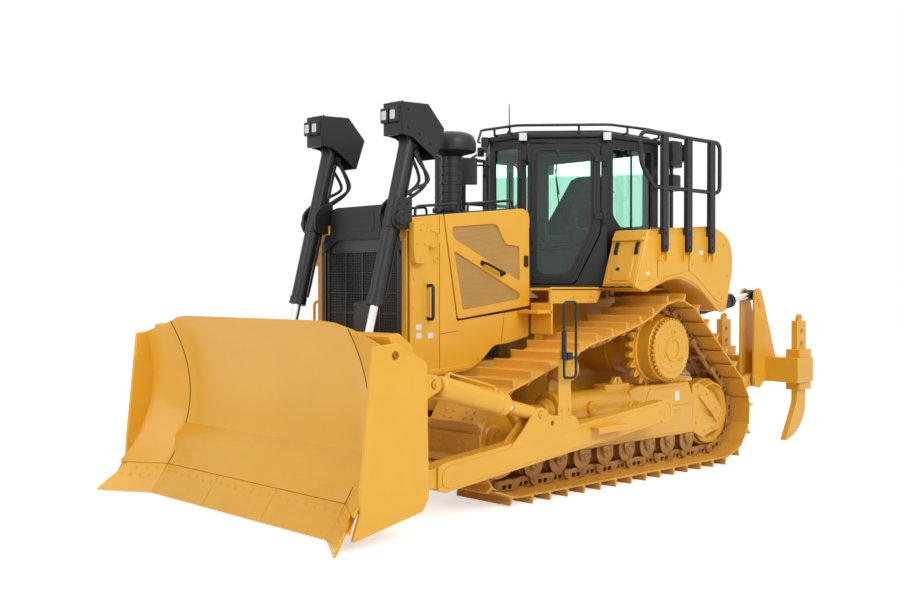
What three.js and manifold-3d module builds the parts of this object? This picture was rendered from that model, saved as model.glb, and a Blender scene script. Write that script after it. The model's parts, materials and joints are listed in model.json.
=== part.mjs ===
// Crawler bulldozer with a semi-U blade, a glazed cab and a three-shank ripper.
// Millimetres, +Z up, +X forward, +Y to the machine's left. It stands on its tracks at z = 0.
// Every side view outline below is a list of [x, z] points. x = 0 is 20 mm in front of the sprocket's axle.

import * as THREE from "three";
import { mergeVertices } from "three/addons/utils/BufferGeometryUtils.js";
import Module from "manifold-3d";

const wasm = await Module();
wasm.setup();

// ---------------------------------------------------------------- driving dimensions

const GAP = 0.3; // between pieces that touch
const CLEAR = 6; // between pieces that pass each other

// undercarriage
const TRACK_Y = 1005; // half of the track gauge
const SHOE_WIDTH = 610;
const SHOE_PITCH = 216;
const SHOE_THICKNESS = 16;
const GROUSER_HEIGHT = 65;
const GROUSER_BASE = 34;
const GROUSER_TIP = 14;
const PIN_TO_RAIL = 30; // track pin to the rail that the rollers run on
const PIN_TO_SHOE = 64; // track pin to the inner face of the shoe
const LINK_INNER = 55; // half of the space between the two rows of links
const LINK_THICKNESS = 45;
const FRONT_IDLER_X = 2200;
const REAR_IDLER_X = -845;
const IDLER_PIN_RADIUS = 357; // track pins round an idler
const SPROCKET = { x: -20, z: 1165 };
const SPROCKET_PIN_RADIUS = 397; // track pins round the sprocket
const SPROCKET_TEETH = 23;
const CARRIER_ROLLER_X = 1280;
const CARRIER_ROLLER_RADIUS = 100;
const CARRIER_PIN_Z = 1190; // track pins over the carrier roller
const ROLLER_COUNT = 8;
const ROLLER_RADIUS = 100;
const ROLLER_FIRST_X = -430;
const ROLLER_LAST_X = 1790;
const FRAME_HALF_WIDTH = 135; // roller frame, each side of the track's middle

// body
const CASE_HALF_WIDTH = 330;
const HOOD_HALF_WIDTH = 600;
const PANEL_THICKNESS = 25;
const GUARD_FRONT_X = 2735;
const GUARD_REAR_X = 2380;
const FRAME_TOP_Z = 1640;
const RAIL_TOP_Z = 1100; // frame rails under the engine
const RAIL_INNER_Y = 330;
const GUARD_LOW_Z = 950;
const DOOR_EDGE = { top: 2350, low: 2190, lowZ: 1470 }; // front edge of the engine door
const ENGINE_DOOR_REAR_X = 1300;
const DECK_Z = 1742; // top of the cab floor and the walkways
const DECK_THICKNESS = 24;
const DECK_HALF_WIDTH = 870;
const FENDER_INNER_Y = TRACK_Y - 105;
const FENDER_OUTER_Y = TRACK_Y + 295;
const FENDER_OUTLINE = [[620, DECK_Z + 5], [430, 2270], [-620, 2340], [-920, 2250], [-990, 1980],
  [-860, 1530], [-720, 1510], [-325, 1770], [7, 1845], [470, 1705]];

// cab
const CAB_WALL = 50;
const CAB_TOP_Z = 3150;
const ROOF_THICKNESS = 80;
const WINDOW_TOP_Z = CAB_TOP_Z - 70;
const REAR_WINDOW_LOW_Z = 2340;
const CAB_FRONT = { x: 950, y: 210 };
const CAB_SIDE = { x: 410, y: 800 };
const CAB_REAR_X = -400;
const GLASS_THICKNESS = 8;
const DOOR_THICKNESS = 45;
const ANTENNA_TOP_Z = 3510;
const SEAT_STAND_Z = 2135;
const DOOR_WALL = Math.hypot(CAB_FRONT.x - CAB_SIDE.x, CAB_SIDE.y - CAB_FRONT.y);
const DOOR_ANGLE = Math.atan2(CAB_FRONT.y - CAB_SIDE.y, CAB_FRONT.x - CAB_SIDE.x);
const DOOR_LOW_Z = DECK_Z + 35;
const DOOR_TOP_Z = CAB_TOP_Z - 45;
const DOOR_HINGE = { s: 30, out: 16, radius: 15.4 };
const DOOR_HINGE_HEIGHTS = [2380, 2920];

// blade and its arms
const TRUNNION = { x: 450, z: 640 }; // arms on the roller frames
const ARM_TO_SHOES = 50; // between an arm and the track beside it
const ARM_WIDTH = 140;
const ARM_INNER_Y = TRACK_Y + SHOE_WIDTH / 2 + ARM_TO_SHOES;
const ARM_OUTER_Y = ARM_INNER_Y + ARM_WIDTH;
const ARM_PIN = { x: 3360, z: 370 }; // blade on the arms
const BLADE_OVERHANG = 130; // the blade beyond the arms
const BLADE_HALF_WIDTH = ARM_OUTER_Y + BLADE_OVERHANG;
const BLADE_WING_WIDTH = 410;
const BLADE_WING_Y = BLADE_HALF_WIDTH - BLADE_WING_WIDTH; // where the wings start
const BLADE_TOP_Z = 1510;
const BLADE_CORNER_WIDTH = 610; // of the chamfer on each top corner
const MOLDBOARD_THICKNESS = 32;
const MOLDBOARD_FOOT = { x: 3862, z: 240 }; // where the cutting edge starts
const LIP_LENGTH = 110; // behind the cutting edge
const WING_TOP = 80; // how far the wing's outer end stands forward, at its top
const WING_LOW = 250; // and at its foot
const END_BIT_Y = BLADE_HALF_WIDTH + 30;
const EDGE_ANGLE = 0.926; // of the cutting edge below the horizontal, in radians
const EDGE_THICKNESS = 30;
const EDGE_LOW_Z = 12;
const TILT_Y = (ARM_INNER_Y + ARM_OUTER_Y) / 2 + 10;
const TILT_BLADE_PIN = { x: 3290, z: 1055 };
const TILT_ARM_PIN = { x: 2130, z: 745 };
const TILT_BARREL_RADIUS = 87;
const TILT_ROD_RADIUS = 40;
const EAR_REACH = 95; // how far a pair of ears reaches past its pin, along the cylinder
const TILT_HEAD_HALF_WIDTH = 50;
const LIFT_Y = 520;
const LIFT_TRUNNION = { x: 2830, z: 2300 };
const LIFT_EYE = { x: 3270, z: 620 };
const LIFT_BARREL_RADIUS = 65;
const LIFT_ROD_RADIUS = 35;
const LIFT_BARREL_ABOVE = 745; // barrel above its trunnion
const LIFT_BARREL_BELOW = 725;
const LIFT_COLLAR = 71; // half width of the barrel across its trunnions

// ripper
const RIPPER_Y = 600; // middle of each pair of uprights
const RIPPER_ROOT_LOW = { x: -1250, z: 540 };
const RIPPER_ROOT_HIGH = { x: -1250, z: 1500 };
const RIPPER_LINK_RUN = { x: -1200, z: 160 }; // from a front pin to its rear pin
const RIPPER_PIN_RADIUS = 45;
const UPRIGHT_GAP = 70; // half of the gap between two uprights
const UPRIGHT_THICKNESS = 30;
const BEAM_HALF_WIDTH = 1100;
const BEAM = { front: -2600, rear: -2950, low: 680, high: 960 };
const SHANK_SPACING = 975;
const SHANK_HALF_THICKNESS = 38;
const SHANK_TOP_Z = 1370;
const RIPPER_LIFT_Y = 360;
const RIPPER_LIFT_ROOT = { x: -1250, z: 1250 };
const RIPPER_LIFT_EYE = { x: -2140, z: 790 };
const RIPPER_BARREL_RADIUS = 70;
const RIPPER_ROD_RADIUS = 35;

const RIPPER_LOW_PIN = { x: RIPPER_ROOT_LOW.x + RIPPER_LINK_RUN.x, z: RIPPER_ROOT_LOW.z + RIPPER_LINK_RUN.z };
const RIPPER_TOP_PIN = { x: RIPPER_ROOT_HIGH.x + RIPPER_LINK_RUN.x, z: RIPPER_ROOT_HIGH.z + RIPPER_LINK_RUN.z };
const PANEL_OUTER_Y = HOOD_HALF_WIDTH + PANEL_THICKNESS;
const GRADE_TO_PIN = GROUSER_HEIGHT + SHOE_THICKNESS + PIN_TO_SHOE;
const IDLER_Z = GRADE_TO_PIN + IDLER_PIN_RADIUS;

// ---------------------------------------------------------------- solids

// A closed geometry as a solid that can be joined and cut.
function solid(geometry) {
  const bare = geometry.clone();
  bare.deleteAttribute("normal");
  bare.deleteAttribute("uv");
  const merged = mergeVertices(bare, 1e-4);
  return new wasm.Manifold(new wasm.Mesh({
    numProp: 3,
    vertProperties: Float32Array.from(merged.attributes.position.array),
    triVerts: Uint32Array.from(merged.index.array),
  }));
}

function join(...solids) {
  return solids.flat().reduce((whole, next) => whole.add(next));
}

function cut(base, ...tools) {
  return tools.flat().reduce((whole, tool) => whole.subtract(tool), base);
}

// The solid's mirror image across the machine's middle plane.
function mirrored(geometry) {
  const copy = geometry.clone();
  copy.scale(1, -1, 1);
  const index = copy.index.array;
  for (let i = 0; i < index.length; i += 3) {
    [index[i], index[i + 1]] = [index[i + 1], index[i]];
  }
  return copy;
}

function toGeometry(whole) {
  const mesh = whole.getMesh();
  const geometry = new THREE.BufferGeometry();
  geometry.setAttribute("position", new THREE.BufferAttribute(mesh.vertProperties, 3));
  geometry.setIndex(new THREE.BufferAttribute(mesh.triVerts, 1));
  return geometry;
}

function outline(points) {
  return new THREE.Shape(points.map(([a, b]) => new THREE.Vector2(a, b)));
}

function extruded(points, depth) {
  return new THREE.ExtrudeGeometry(outline(points), { depth, bevelEnabled: false, curveSegments: 8 });
}

function box(x0, x1, y0, y1, z0, z1) {
  const geometry = new THREE.BoxGeometry(x1 - x0, y1 - y0, z1 - z0);
  geometry.translate((x0 + x1) / 2, (y0 + y1) / 2, (z0 + z1) / 2);
  return solid(geometry);
}

// A plate seen from the side: [x, z] points, between two values of y.
function sidePlate(points, y0, y1) {
  const geometry = extruded(points, y1 - y0);
  geometry.rotateX(Math.PI / 2);
  geometry.translate(0, y1, 0);
  return solid(geometry);
}

// A plate seen from above: [x, y] points, between two heights.
function planPlate(points, z0, z1) {
  const geometry = extruded(points, z1 - z0);
  geometry.translate(0, 0, z0);
  return solid(geometry);
}

// A plate seen from the front: [y, z] points, between two values of x.
function frontPlate(points, x0, x1) {
  const geometry = extruded(points, x1 - x0);
  geometry.rotateX(Math.PI / 2);
  geometry.rotateZ(Math.PI / 2);
  geometry.translate(x0, 0, 0);
  return solid(geometry);
}

// A round bar across the machine, at an [x, z] place.
function crossBar(at, radius, y0, y1, segments = 16) {
  const geometry = new THREE.CylinderGeometry(radius, radius, y1 - y0, segments);
  geometry.translate(at.x, (y0 + y1) / 2, at.z);
  return solid(geometry);
}

function uprightBar(x, y, radius, z0, z1, segments = 16) {
  const geometry = new THREE.CylinderGeometry(radius, radius, z1 - z0, segments);
  geometry.rotateX(Math.PI / 2);
  geometry.translate(x, y, (z0 + z1) / 2);
  return solid(geometry);
}

function lengthwiseBar(y, z, radius, x0, x1, segments = 16) {
  const geometry = new THREE.CylinderGeometry(radius, radius, x1 - x0, segments);
  geometry.rotateZ(-Math.PI / 2);
  geometry.translate((x0 + x1) / 2, y, z);
  return solid(geometry);
}

// A turned piece: [radius, along] points, standing on `from` and pointing at `to` in a side plane.
function turnedAlong(profile, from, to, y, segments = 16) {
  const geometry = new THREE.LatheGeometry(profile.map(([r, a]) => new THREE.Vector2(r, a)), segments);
  const along = new THREE.Vector3(to.x - from.x, 0, to.z - from.z).normalize();
  const turn = new THREE.Quaternion().setFromUnitVectors(new THREE.Vector3(0, 1, 0), along);
  geometry.applyQuaternion(turn);
  geometry.translate(from.x, y, from.z);
  return solid(geometry);
}

function distance(a, b) {
  return Math.hypot(a.x - b.x, a.z - b.z);
}

// A skin through sections of equal count: each is a list of [x, z] points at its own y.
function crossLoft(sections) {
  const flat = sections[0].points.map(([x, z]) => new THREE.Vector2(x, z));
  const backwards = THREE.ShapeUtils.isClockWise(flat);
  const ordered = backwards ? sections.map(({ y, points }) => ({ y, points: [...points].reverse() })) : sections;
  const count = flat.length;
  const positions = ordered.flatMap(({ y, points }) => points.flatMap(([x, z]) => [x, y, z]));
  const index = [];
  for (let s = 0; s + 1 < sections.length; s += 1) {
    for (let i = 0; i < count; i += 1) {
      const a = s * count + i;
      const b = s * count + (i + 1) % count;
      index.push(a, a + count, b, b, a + count, b + count);
    }
  }
  const section = backwards ? flat.reverse() : flat;
  const last = (sections.length - 1) * count;
  for (const corners of THREE.ShapeUtils.triangulateShape(section, [])) {
    const [a, b, c] = THREE.ShapeUtils.isClockWise(corners.map((i) => section[i])) ? corners.reverse() : corners;
    index.push(a, b, c, last + a, last + c, last + b);
  }
  const geometry = new THREE.BufferGeometry();
  geometry.setAttribute("position", new THREE.BufferAttribute(new Float32Array(positions), 3));
  geometry.setIndex(index);
  return solid(geometry);
}

// ---------------------------------------------------------------- scene graph

const machine = new THREE.Group();
const YELLOW = { color: 0xe4ae4f, roughness: 0.42, metalness: 0 };
const BLACK = { color: 0x1f1f20, roughness: 0.55, metalness: 0 };
const CHROME = { color: 0xd6d8da, roughness: 0.12, metalness: 1 };
const WORN = { color: 0x8e6234, roughness: 0.6, metalness: 0.3 };
const STEEL = { color: 0x6d6a64, roughness: 0.5, metalness: 0.7 };
const GLASS = { color: 0x9fdcc4, roughness: 0.05, metalness: 0 };
const SEAT = { color: 0x2b2c2e, roughness: 0.85, metalness: 0 };

function addNode(name, shape, finish) {
  const mesh = new THREE.Mesh(shape, new THREE.MeshStandardMaterial(finish));
  mesh.name = name;
  machine.add(mesh);
}

function add(name, whole, finish) {
  addNode(name, toGeometry(whole), finish);
}

// The left piece and its mirror image on the right.
function addPair(name, whole, finish) {
  const left = toGeometry(whole);
  addNode(`${name}_left`, left, finish);
  addNode(`${name}_right`, mirrored(left), finish);
}

// ---------------------------------------------------------------- track

// Where the lines from two points, along two directions, meet.
function meeting(p, angleP, q, angleQ) {
  const [c, s] = [Math.cos(angleP), Math.sin(angleP)];
  const [e, f] = [Math.cos(angleQ), Math.sin(angleQ)];
  const t = ((q.x - p.x) * f - (q.y - p.y) * e) / (c * f - s * e);
  return new THREE.Vector2(p.x + c * t, p.y + s * t);
}

function onCircle(x, z, radius, degrees) {
  const angle = THREE.MathUtils.degToRad(degrees);
  return new THREE.Vector2(x + radius * Math.cos(angle), z + radius * Math.sin(angle));
}

function sagging(p, degreesP, q, degreesQ) {
  const control = meeting(p, THREE.MathUtils.degToRad(degreesP), q, THREE.MathUtils.degToRad(degreesQ));
  return new THREE.QuadraticBezierCurve(p, control, q);
}

function arc(x, z, radius, from, to) {
  const [a, b] = [from, to].map(THREE.MathUtils.degToRad);
  return new THREE.EllipseCurve(x, z, radius, radius, a, b, false);
}

// The line that the track pins follow, round the idlers, the carrier roller and the sprocket.
function pinPath() {
  const leaveFront = 74;
  const reachSprocket = 57;
  const slope = Math.atan2(SPROCKET.z - IDLER_Z, SPROCKET.x - REAR_IDLER_X);
  const spread = Math.hypot(SPROCKET.z - IDLER_Z, SPROCKET.x - REAR_IDLER_X);
  const taper = Math.asin((SPROCKET_PIN_RADIUS - IDLER_PIN_RADIUS) / spread);
  const leaveSprocket = THREE.MathUtils.radToDeg(slope + Math.PI / 2 + taper);
  const carrier = new THREE.Vector2(CARRIER_ROLLER_X, CARRIER_PIN_Z);
  const front = onCircle(FRONT_IDLER_X, IDLER_Z, IDLER_PIN_RADIUS, leaveFront);
  const rear = onCircle(SPROCKET.x, SPROCKET.z, SPROCKET_PIN_RADIUS, reachSprocket);
  const down = onCircle(SPROCKET.x, SPROCKET.z, SPROCKET_PIN_RADIUS, leaveSprocket);
  const onRear = onCircle(REAR_IDLER_X, IDLER_Z, IDLER_PIN_RADIUS, leaveSprocket);
  const path = new THREE.CurvePath();
  path.add(new THREE.LineCurve(new THREE.Vector2(REAR_IDLER_X, GRADE_TO_PIN),
    new THREE.Vector2(FRONT_IDLER_X, GRADE_TO_PIN)));
  path.add(arc(FRONT_IDLER_X, IDLER_Z, IDLER_PIN_RADIUS, -90, leaveFront));
  path.add(sagging(front, leaveFront + 90, carrier, 154));
  path.add(sagging(carrier, 171, rear, reachSprocket + 90));
  path.add(arc(SPROCKET.x, SPROCKET.z, SPROCKET_PIN_RADIUS, reachSprocket, leaveSprocket));
  path.add(new THREE.LineCurve(down, onRear));
  path.add(arc(REAR_IDLER_X, IDLER_Z, IDLER_PIN_RADIUS, leaveSprocket, 270));
  return path;
}

// Track pins at equal steps along their path, as many as whole shoes fit.
function trackPins() {
  const path = pinPath();
  const steps = 4000;
  const dense = [];
  for (const curve of path.curves) {
    const share = Math.max(2, Math.round(steps * curve.getLength() / path.getLength()));
    for (let i = 0; i < share; i += 1) {
      dense.push(curve.getPointAt(i / share));
    }
  }
  const runs = [0];
  for (let i = 1; i <= dense.length; i += 1) {
    runs.push(runs[i - 1] + dense[i - 1].distanceTo(dense[i % dense.length]));
  }
  const count = Math.round(runs.at(-1) / SHOE_PITCH);
  const pins = [];
  let i = 0;
  for (let k = 0; k < count; k += 1) {
    const want = runs.at(-1) * k / count;
    while (runs[i + 1] < want) {
      i += 1;
    }
    const share = (want - runs[i]) / (runs[i + 1] - runs[i]);
    pins.push(dense[i].clone().lerp(dense[(i + 1) % dense.length], share));
  }
  return pins;
}

// The ring of pins moved outwards (inwards when negative), with each corner mitred.
function offsetRing(pins, outwards) {
  return pins.map((pin, i) => {
    const before = pin.clone().sub(pins.at(i - 1)).normalize();
    const after = pins[(i + 1) % pins.length].clone().sub(pin).normalize();
    const along = before.clone().add(after).normalize();
    const stretch = 1 / Math.max(0.5, along.dot(before));
    return [pin.x + along.y * outwards * stretch, pin.y - along.x * outwards * stretch];
  });
}

// The outer line of the shoes: each has a flat plate and one grouser at its front edge.
function shoeOutline(pins) {
  const corners = offsetRing(pins, PIN_TO_SHOE + SHOE_THICKNESS);
  return corners.flatMap(([x, z], i) => {
    const [nextX, nextZ] = corners[(i + 1) % corners.length];
    const length = Math.hypot(nextX - x, nextZ - z);
    const [ux, uz] = [(nextX - x) / length, (nextZ - z) / length];
    const place = (along, out) => [x + ux * along + uz * out, z + uz * along - ux * out];
    const slant = (GROUSER_BASE - GROUSER_TIP) / 2;
    const start = 12;
    return [
      place(start, 0),
      place(start + slant, GROUSER_HEIGHT),
      place(start + slant + GROUSER_TIP, GROUSER_HEIGHT),
      place(start + GROUSER_BASE, 0),
    ];
  });
}

function ring(outer, inner, y0, y1) {
  const shape = outline(outer);
  shape.holes.push(new THREE.Path(inner.map(([a, b]) => new THREE.Vector2(a, b))));
  const geometry = new THREE.ExtrudeGeometry(shape, { depth: y1 - y0, bevelEnabled: false });
  geometry.rotateX(Math.PI / 2);
  geometry.translate(0, y1, 0);
  return solid(geometry);
}

function track(pins) {
  const shoes = ring(shoeOutline(pins), offsetRing(pins, PIN_TO_SHOE),
    TRACK_Y - SHOE_WIDTH / 2, TRACK_Y + SHOE_WIDTH / 2);
  const rows = [-LINK_INNER - LINK_THICKNESS, LINK_INNER].map((start) => ring(
    offsetRing(pins, PIN_TO_SHOE + 1), offsetRing(pins, -PIN_TO_RAIL),
    TRACK_Y + start, TRACK_Y + start + LINK_THICKNESS));
  return join(shoes, rows);
}

// ---------------------------------------------------------------- roller frame and drive

function trackWheel(at, tread, segments) {
  const flange = TRACK_Y - LINK_INNER + 5;
  return join(
    crossBar(at, tread, TRACK_Y - 95, TRACK_Y + 95, segments),
    crossBar(at, tread + 22, flange, 2 * TRACK_Y - flange, segments),
    crossBar(at, 50, TRACK_Y - FRAME_HALF_WIDTH + 5, TRACK_Y + FRAME_HALF_WIDTH - 5, 12));
}

function rollerFrame(pins) {
  const [inner, outer] = [TRACK_Y - FRAME_HALF_WIDTH, TRACK_Y + FRAME_HALF_WIDTH];
  const half = pins[0].distanceTo(pins[1]) / 2;
  const tread = Math.sqrt(IDLER_PIN_RADIUS ** 2 - half ** 2) - PIN_TO_RAIL - GAP - 1;
  const rollerZ = GRADE_TO_PIN + PIN_TO_RAIL + ROLLER_RADIUS + GAP;
  const pieces = [];
  pieces.push(box(-520, 1880, inner, outer, rollerZ + 55, 600));
  for (const y of [inner, outer - 25]) {
    pieces.push(sidePlate([[-930, 430], [-700, rollerZ - 30], [-500, rollerZ + 20], [-500, 620],
      [-560, 760], [-880, 590]], y, y + 25));
    pieces.push(sidePlate([[1800, rollerZ + 40], [2230, 430], [2270, 560], [1860, 620]], y, y + 25));
  }
  const step = (ROLLER_LAST_X - ROLLER_FIRST_X) / (ROLLER_COUNT - 1);
  for (let i = 0; i < ROLLER_COUNT; i += 1) {
    const x = ROLLER_FIRST_X + i * step;
    pieces.push(crossBar({ x, z: rollerZ }, ROLLER_RADIUS, TRACK_Y - 100, TRACK_Y + 100, 12));
  }
  pieces.push(lengthwiseBar(TRACK_Y, 690, 140, 350, 1530, 18));
  pieces.push(lengthwiseBar(TRACK_Y, 690, 95, 1500, 1620, 12));
  pieces.push(lengthwiseBar(TRACK_Y, 560, 62, 1560, 1900, 10));
  const shoulder = [[-560, 590], [480, 590], [480, 800], [380, 830], [-440, 830]];
  pieces.push(sidePlate(shoulder, TRACK_Y + 45, outer));
  pieces.push(sidePlate(shoulder, inner + 10, TRACK_Y - 45));
  pieces.push(sidePlate([[380, 800], [760, 800], [740, 870], [420, 870]], TRACK_Y - 70, TRACK_Y + 70));
  pieces.push(crossBar(TRUNNION, 75, outer - 5, ARM_INNER_Y - GAP, 16));
  pieces.push(crossBar({ x: 1070, z: 690 }, 55, TRACK_Y, outer + 45, 10));
  pieces.push(crossBar({ x: CARRIER_ROLLER_X, z: carrierZ() }, CARRIER_ROLLER_RADIUS, TRACK_Y - 100,
    TRACK_Y + 100, 16));
  pieces.push(box(CARRIER_ROLLER_X - 60, CARRIER_ROLLER_X + 60, inner + 5, TRACK_Y - 90, 590, carrierZ() + 30));
  pieces.push(trackWheel({ x: FRONT_IDLER_X, z: IDLER_Z }, tread, 18));
  pieces.push(trackWheel({ x: REAR_IDLER_X, z: IDLER_Z }, tread, 18));
  return join(pieces);
}

// The carrier roller hangs its top just under the rails that pass over it.
function carrierZ() {
  return CARRIER_PIN_Z - PIN_TO_RAIL - CARRIER_ROLLER_RADIUS - 22;
}

function toothedOutline(tip, root, count, start) {
  const points = [];
  for (let i = 0; i < count; i += 1) {
    const angle = (turn) => start + (i + turn) * 2 * Math.PI / count;
    for (const [turn, radius] of [[-0.14, tip], [0.14, tip], [0.3, root], [0.7, root]]) {
      points.push([SPROCKET.x + radius * Math.cos(angle(turn)), SPROCKET.z + radius * Math.sin(angle(turn))]);
    }
  }
  return points;
}

function finalDrive() {
  const rim = SPROCKET_PIN_RADIUS - 52;
  const teeth = toothedOutline(SPROCKET_PIN_RADIUS + 8, rim, SPROCKET_TEETH, Math.PI / SPROCKET_TEETH);
  return join(
    sidePlate(teeth, TRACK_Y - 28, TRACK_Y + 28),
    crossBar(SPROCKET, 300, TRACK_Y - 175, TRACK_Y + 210, 20),
    crossBar(SPROCKET, 275, TRACK_Y + 205, TRACK_Y + 235, 20),
    crossBar(SPROCKET, 110, TRACK_Y + 230, TRACK_Y + 248, 16));
}

// ---------------------------------------------------------------- main frame

// A pair of ears across a pin, each side of a width that it holds, on an outline in side view.
function ears(points, y, halfWidth, thickness) {
  return [
    sidePlate(points, y + halfWidth + GAP, y + halfWidth + GAP + thickness),
    sidePlate(points, y - halfWidth - GAP - thickness, y - halfWidth - GAP),
  ];
}

function mirroredSolid(whole) {
  return solid(mirrored(toGeometry(whole)));
}

function bothSides(whole) {
  return join(whole, mirroredSolid(whole));
}

function rearBracket() {
  const low = RIPPER_ROOT_LOW;
  const high = RIPPER_ROOT_HIGH;
  const lift = RIPPER_LIFT_ROOT;
  const frontX = -1130;
  const lowEar = [[frontX, low.z - 90], [low.x - 60, low.z - 60], [low.x - 75, low.z],
    [low.x - 60, low.z + 60], [frontX, low.z + 90]];
  const highEar = [[frontX, high.z - 110], [low.x - 60, high.z - 60], [low.x - 75, high.z],
    [low.x - 60, high.z + 50], [frontX, high.z + 60]];
  const liftEar = [[frontX, lift.z - 110], [lift.x - 60, lift.z - 50], [lift.x - 70, lift.z],
    [lift.x - 55, lift.z + 50], [frontX, lift.z + 70]];
  return join(
    box(frontX - 40, frontX + 60, -690, 690, 440, 700),
    box(frontX - 40, frontX + 60, -690, 690, 1330, 1570),
    box(frontX - 40, frontX + 60, -450, 450, 690, 1340),
    bothSides(join(ears(lowEar, RIPPER_Y, 45, 30))),
    bothSides(join(ears(highEar, RIPPER_Y, 45, 30))),
    bothSides(join(ears(liftEar, RIPPER_LIFT_Y, 45, 30))));
}

function mainFrame() {
  const frameInner = TRACK_Y - FRAME_HALF_WIDTH;
  const rail = sidePlate([[600, 640], [2300, 700], [2740, 760], [2740, GUARD_LOW_Z - GAP],
    [GUARD_REAR_X - 10, GUARD_LOW_Z - GAP], [GUARD_REAR_X - 10, RAIL_TOP_Z], [600, RAIL_TOP_Z]],
  RAIL_INNER_Y, RAIL_INNER_Y + 90);
  const deckLow = DECK_Z - DECK_THICKNESS;
  const cabMounts = [-330, 560].map((x) => box(x, x + 140, 190, 320, FRAME_TOP_Z - 10, deckLow - GAP));
  return join(
    sidePlate([[-1120, 560], [-900, 430], [900, 430], [900, 1300], [720, FRAME_TOP_Z], [-1000, FRAME_TOP_Z],
      [-1120, 1500]], -CASE_HALF_WIDTH, CASE_HALF_WIDTH),
    bothSides(join(cabMounts)),
    sidePlate([[850, 430], [2350, 500], [2740, 730], [2740, 800], [2300, 570], [850, 470]], -420, 420),
    bothSides(rail),
    box(2480, 2738, -560, 560, 775, GUARD_LOW_Z - GAP),
    bothSides(crossBar(SPROCKET, 250, CASE_HALF_WIDTH - 10, TRACK_Y - 175 - GAP, 20)),
    bothSides(crossBar({ x: 300, z: 560 }, 90, CASE_HALF_WIDTH - 10, TRACK_Y - FRAME_HALF_WIDTH - GAP)),
    sidePlate([[1560, 500], [1640, 500], [1640, 640], [1560, 640]], -frameInner + GAP, frameInner - GAP),
    box(1480, 1720, -420, 420, 480, 660),
    rearBracket());
}

// ---------------------------------------------------------------- engine bay

function engineBlock() {
  return box(1360, 2300, -RAIL_INNER_Y - 20, RAIL_INNER_Y + 20, RAIL_TOP_Z + GAP, 2050);
}

function radiatorGuard() {
  const recess = box(GUARD_FRONT_X - 45, GUARD_FRONT_X + 10, -490, 490, 1130, 2170);
  const yoke = [[GUARD_FRONT_X - 5, 2200], [LIFT_TRUNNION.x + 50, 2235], [LIFT_TRUNNION.x + 62, LIFT_TRUNNION.z],
    [LIFT_TRUNNION.x + 40, 2350], [GUARD_FRONT_X - 5, 2290]];
  const seat = box(GUARD_FRONT_X - 12, GUARD_FRONT_X + 20, 400, LIFT_Y + LIFT_COLLAR + 30, 2200, 2285);
  return join(
    cut(box(GUARD_REAR_X, GUARD_FRONT_X, -585, 585, GUARD_LOW_Z, 2285), recess),
    bothSides(join(seat, ears(yoke, LIFT_Y, LIFT_COLLAR, 30))));
}

function grille() {
  return box(GUARD_FRONT_X - 44, GUARD_FRONT_X - 12, -490 + GAP, 490 - GAP, 1130 + GAP, 2170 - GAP);
}

function hoodZ(x) {
  const [rearX, rearZ, frontX, frontZ] = [1380, 2450, 2720, 2318];
  return rearZ + (x - rearX) * (frontZ - rearZ) / (frontX - rearX);
}

function hood() {
  const roof = sidePlate([[1330, hoodZ(1330) - 30], [GUARD_FRONT_X - 5, hoodZ(GUARD_FRONT_X) - 30],
    [GUARD_FRONT_X - 5, hoodZ(GUARD_FRONT_X)], [1330, hoodZ(1330)]], -HOOD_HALF_WIDTH + GAP, HOOD_HALF_WIDTH - GAP);
  const wall = sidePlate([[1330, 1740], [1352, 1740], [1352, 2430], [1330, 2430]], -570, 570);
  return join(roof, wall);
}

function sidePanel() {
  const gap = CLEAR / 2 + 2;
  return sidePlate([
    [2720, 2310], [DOOR_EDGE.top + gap, hoodZ(DOOR_EDGE.top) - 2], [DOOR_EDGE.low + gap, DOOR_EDGE.lowZ - gap],
    [ENGINE_DOOR_REAR_X, 1555], [ENGINE_DOOR_REAR_X, 1310], [1600, 1250], [1740, 1250],
    [1900, 1120], [2050, 1040], [2720, 1000],
  ], HOOD_HALF_WIDTH, PANEL_OUTER_Y - 5);
}

function engineDoor() {
  const top = (x) => hoodZ(x) - 2;
  const plate = sidePlate([
    [DOOR_EDGE.top, top(DOOR_EDGE.top)], [1380, top(1380)], [ENGINE_DOOR_REAR_X + 2, 2415],
    [ENGINE_DOOR_REAR_X - 8, 1580], [DOOR_EDGE.low, DOOR_EDGE.lowZ + 8],
  ], HOOD_HALF_WIDTH, PANEL_OUTER_Y);
  const skin = HOOD_HALF_WIDTH + 8;
  const upper = sidePlate([[2260, 2250], [1720, 2300], [1600, 2120], [1430, 2110], [1420, 1800], [2240, 2160]],
    skin, PANEL_OUTER_Y + 1);
  const lower = sidePlate([[2230, 2050], [1420, 1690], [1420, 1640], [2130, 1555]], skin, PANEL_OUTER_Y + 1);
  return cut(plate, upper, lower);
}

// A turned piece standing on the hood: its foot touches the sloping hood along its rear edge.
function stackOnHood(profile, x, y, foot, segments) {
  const base = { x, z: hoodZ(x - foot) + GAP };
  return turnedAlong(profile, base, { x, z: base.z + 1 }, y, segments);
}

function exhaustStack() {
  const foot = 95;
  const profile = [[0, 0], [foot, 0], [foot, 40], [72, 60], [72, 560], [60, 575], [60, 400], [0, 400]];
  return stackOnHood(profile, 1500, -300, foot, 16);
}

function airCleaner() {
  const foot = 110;
  const profile = [[0, 0], [foot, 0], [foot, 30], [95, 30], [95, 490], [220, 520], [220, 600],
    [205, 660], [140, 690], [0, 690]];
  return stackOnHood(profile, 1960, 300, foot, 20);
}

// ---------------------------------------------------------------- cab

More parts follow.
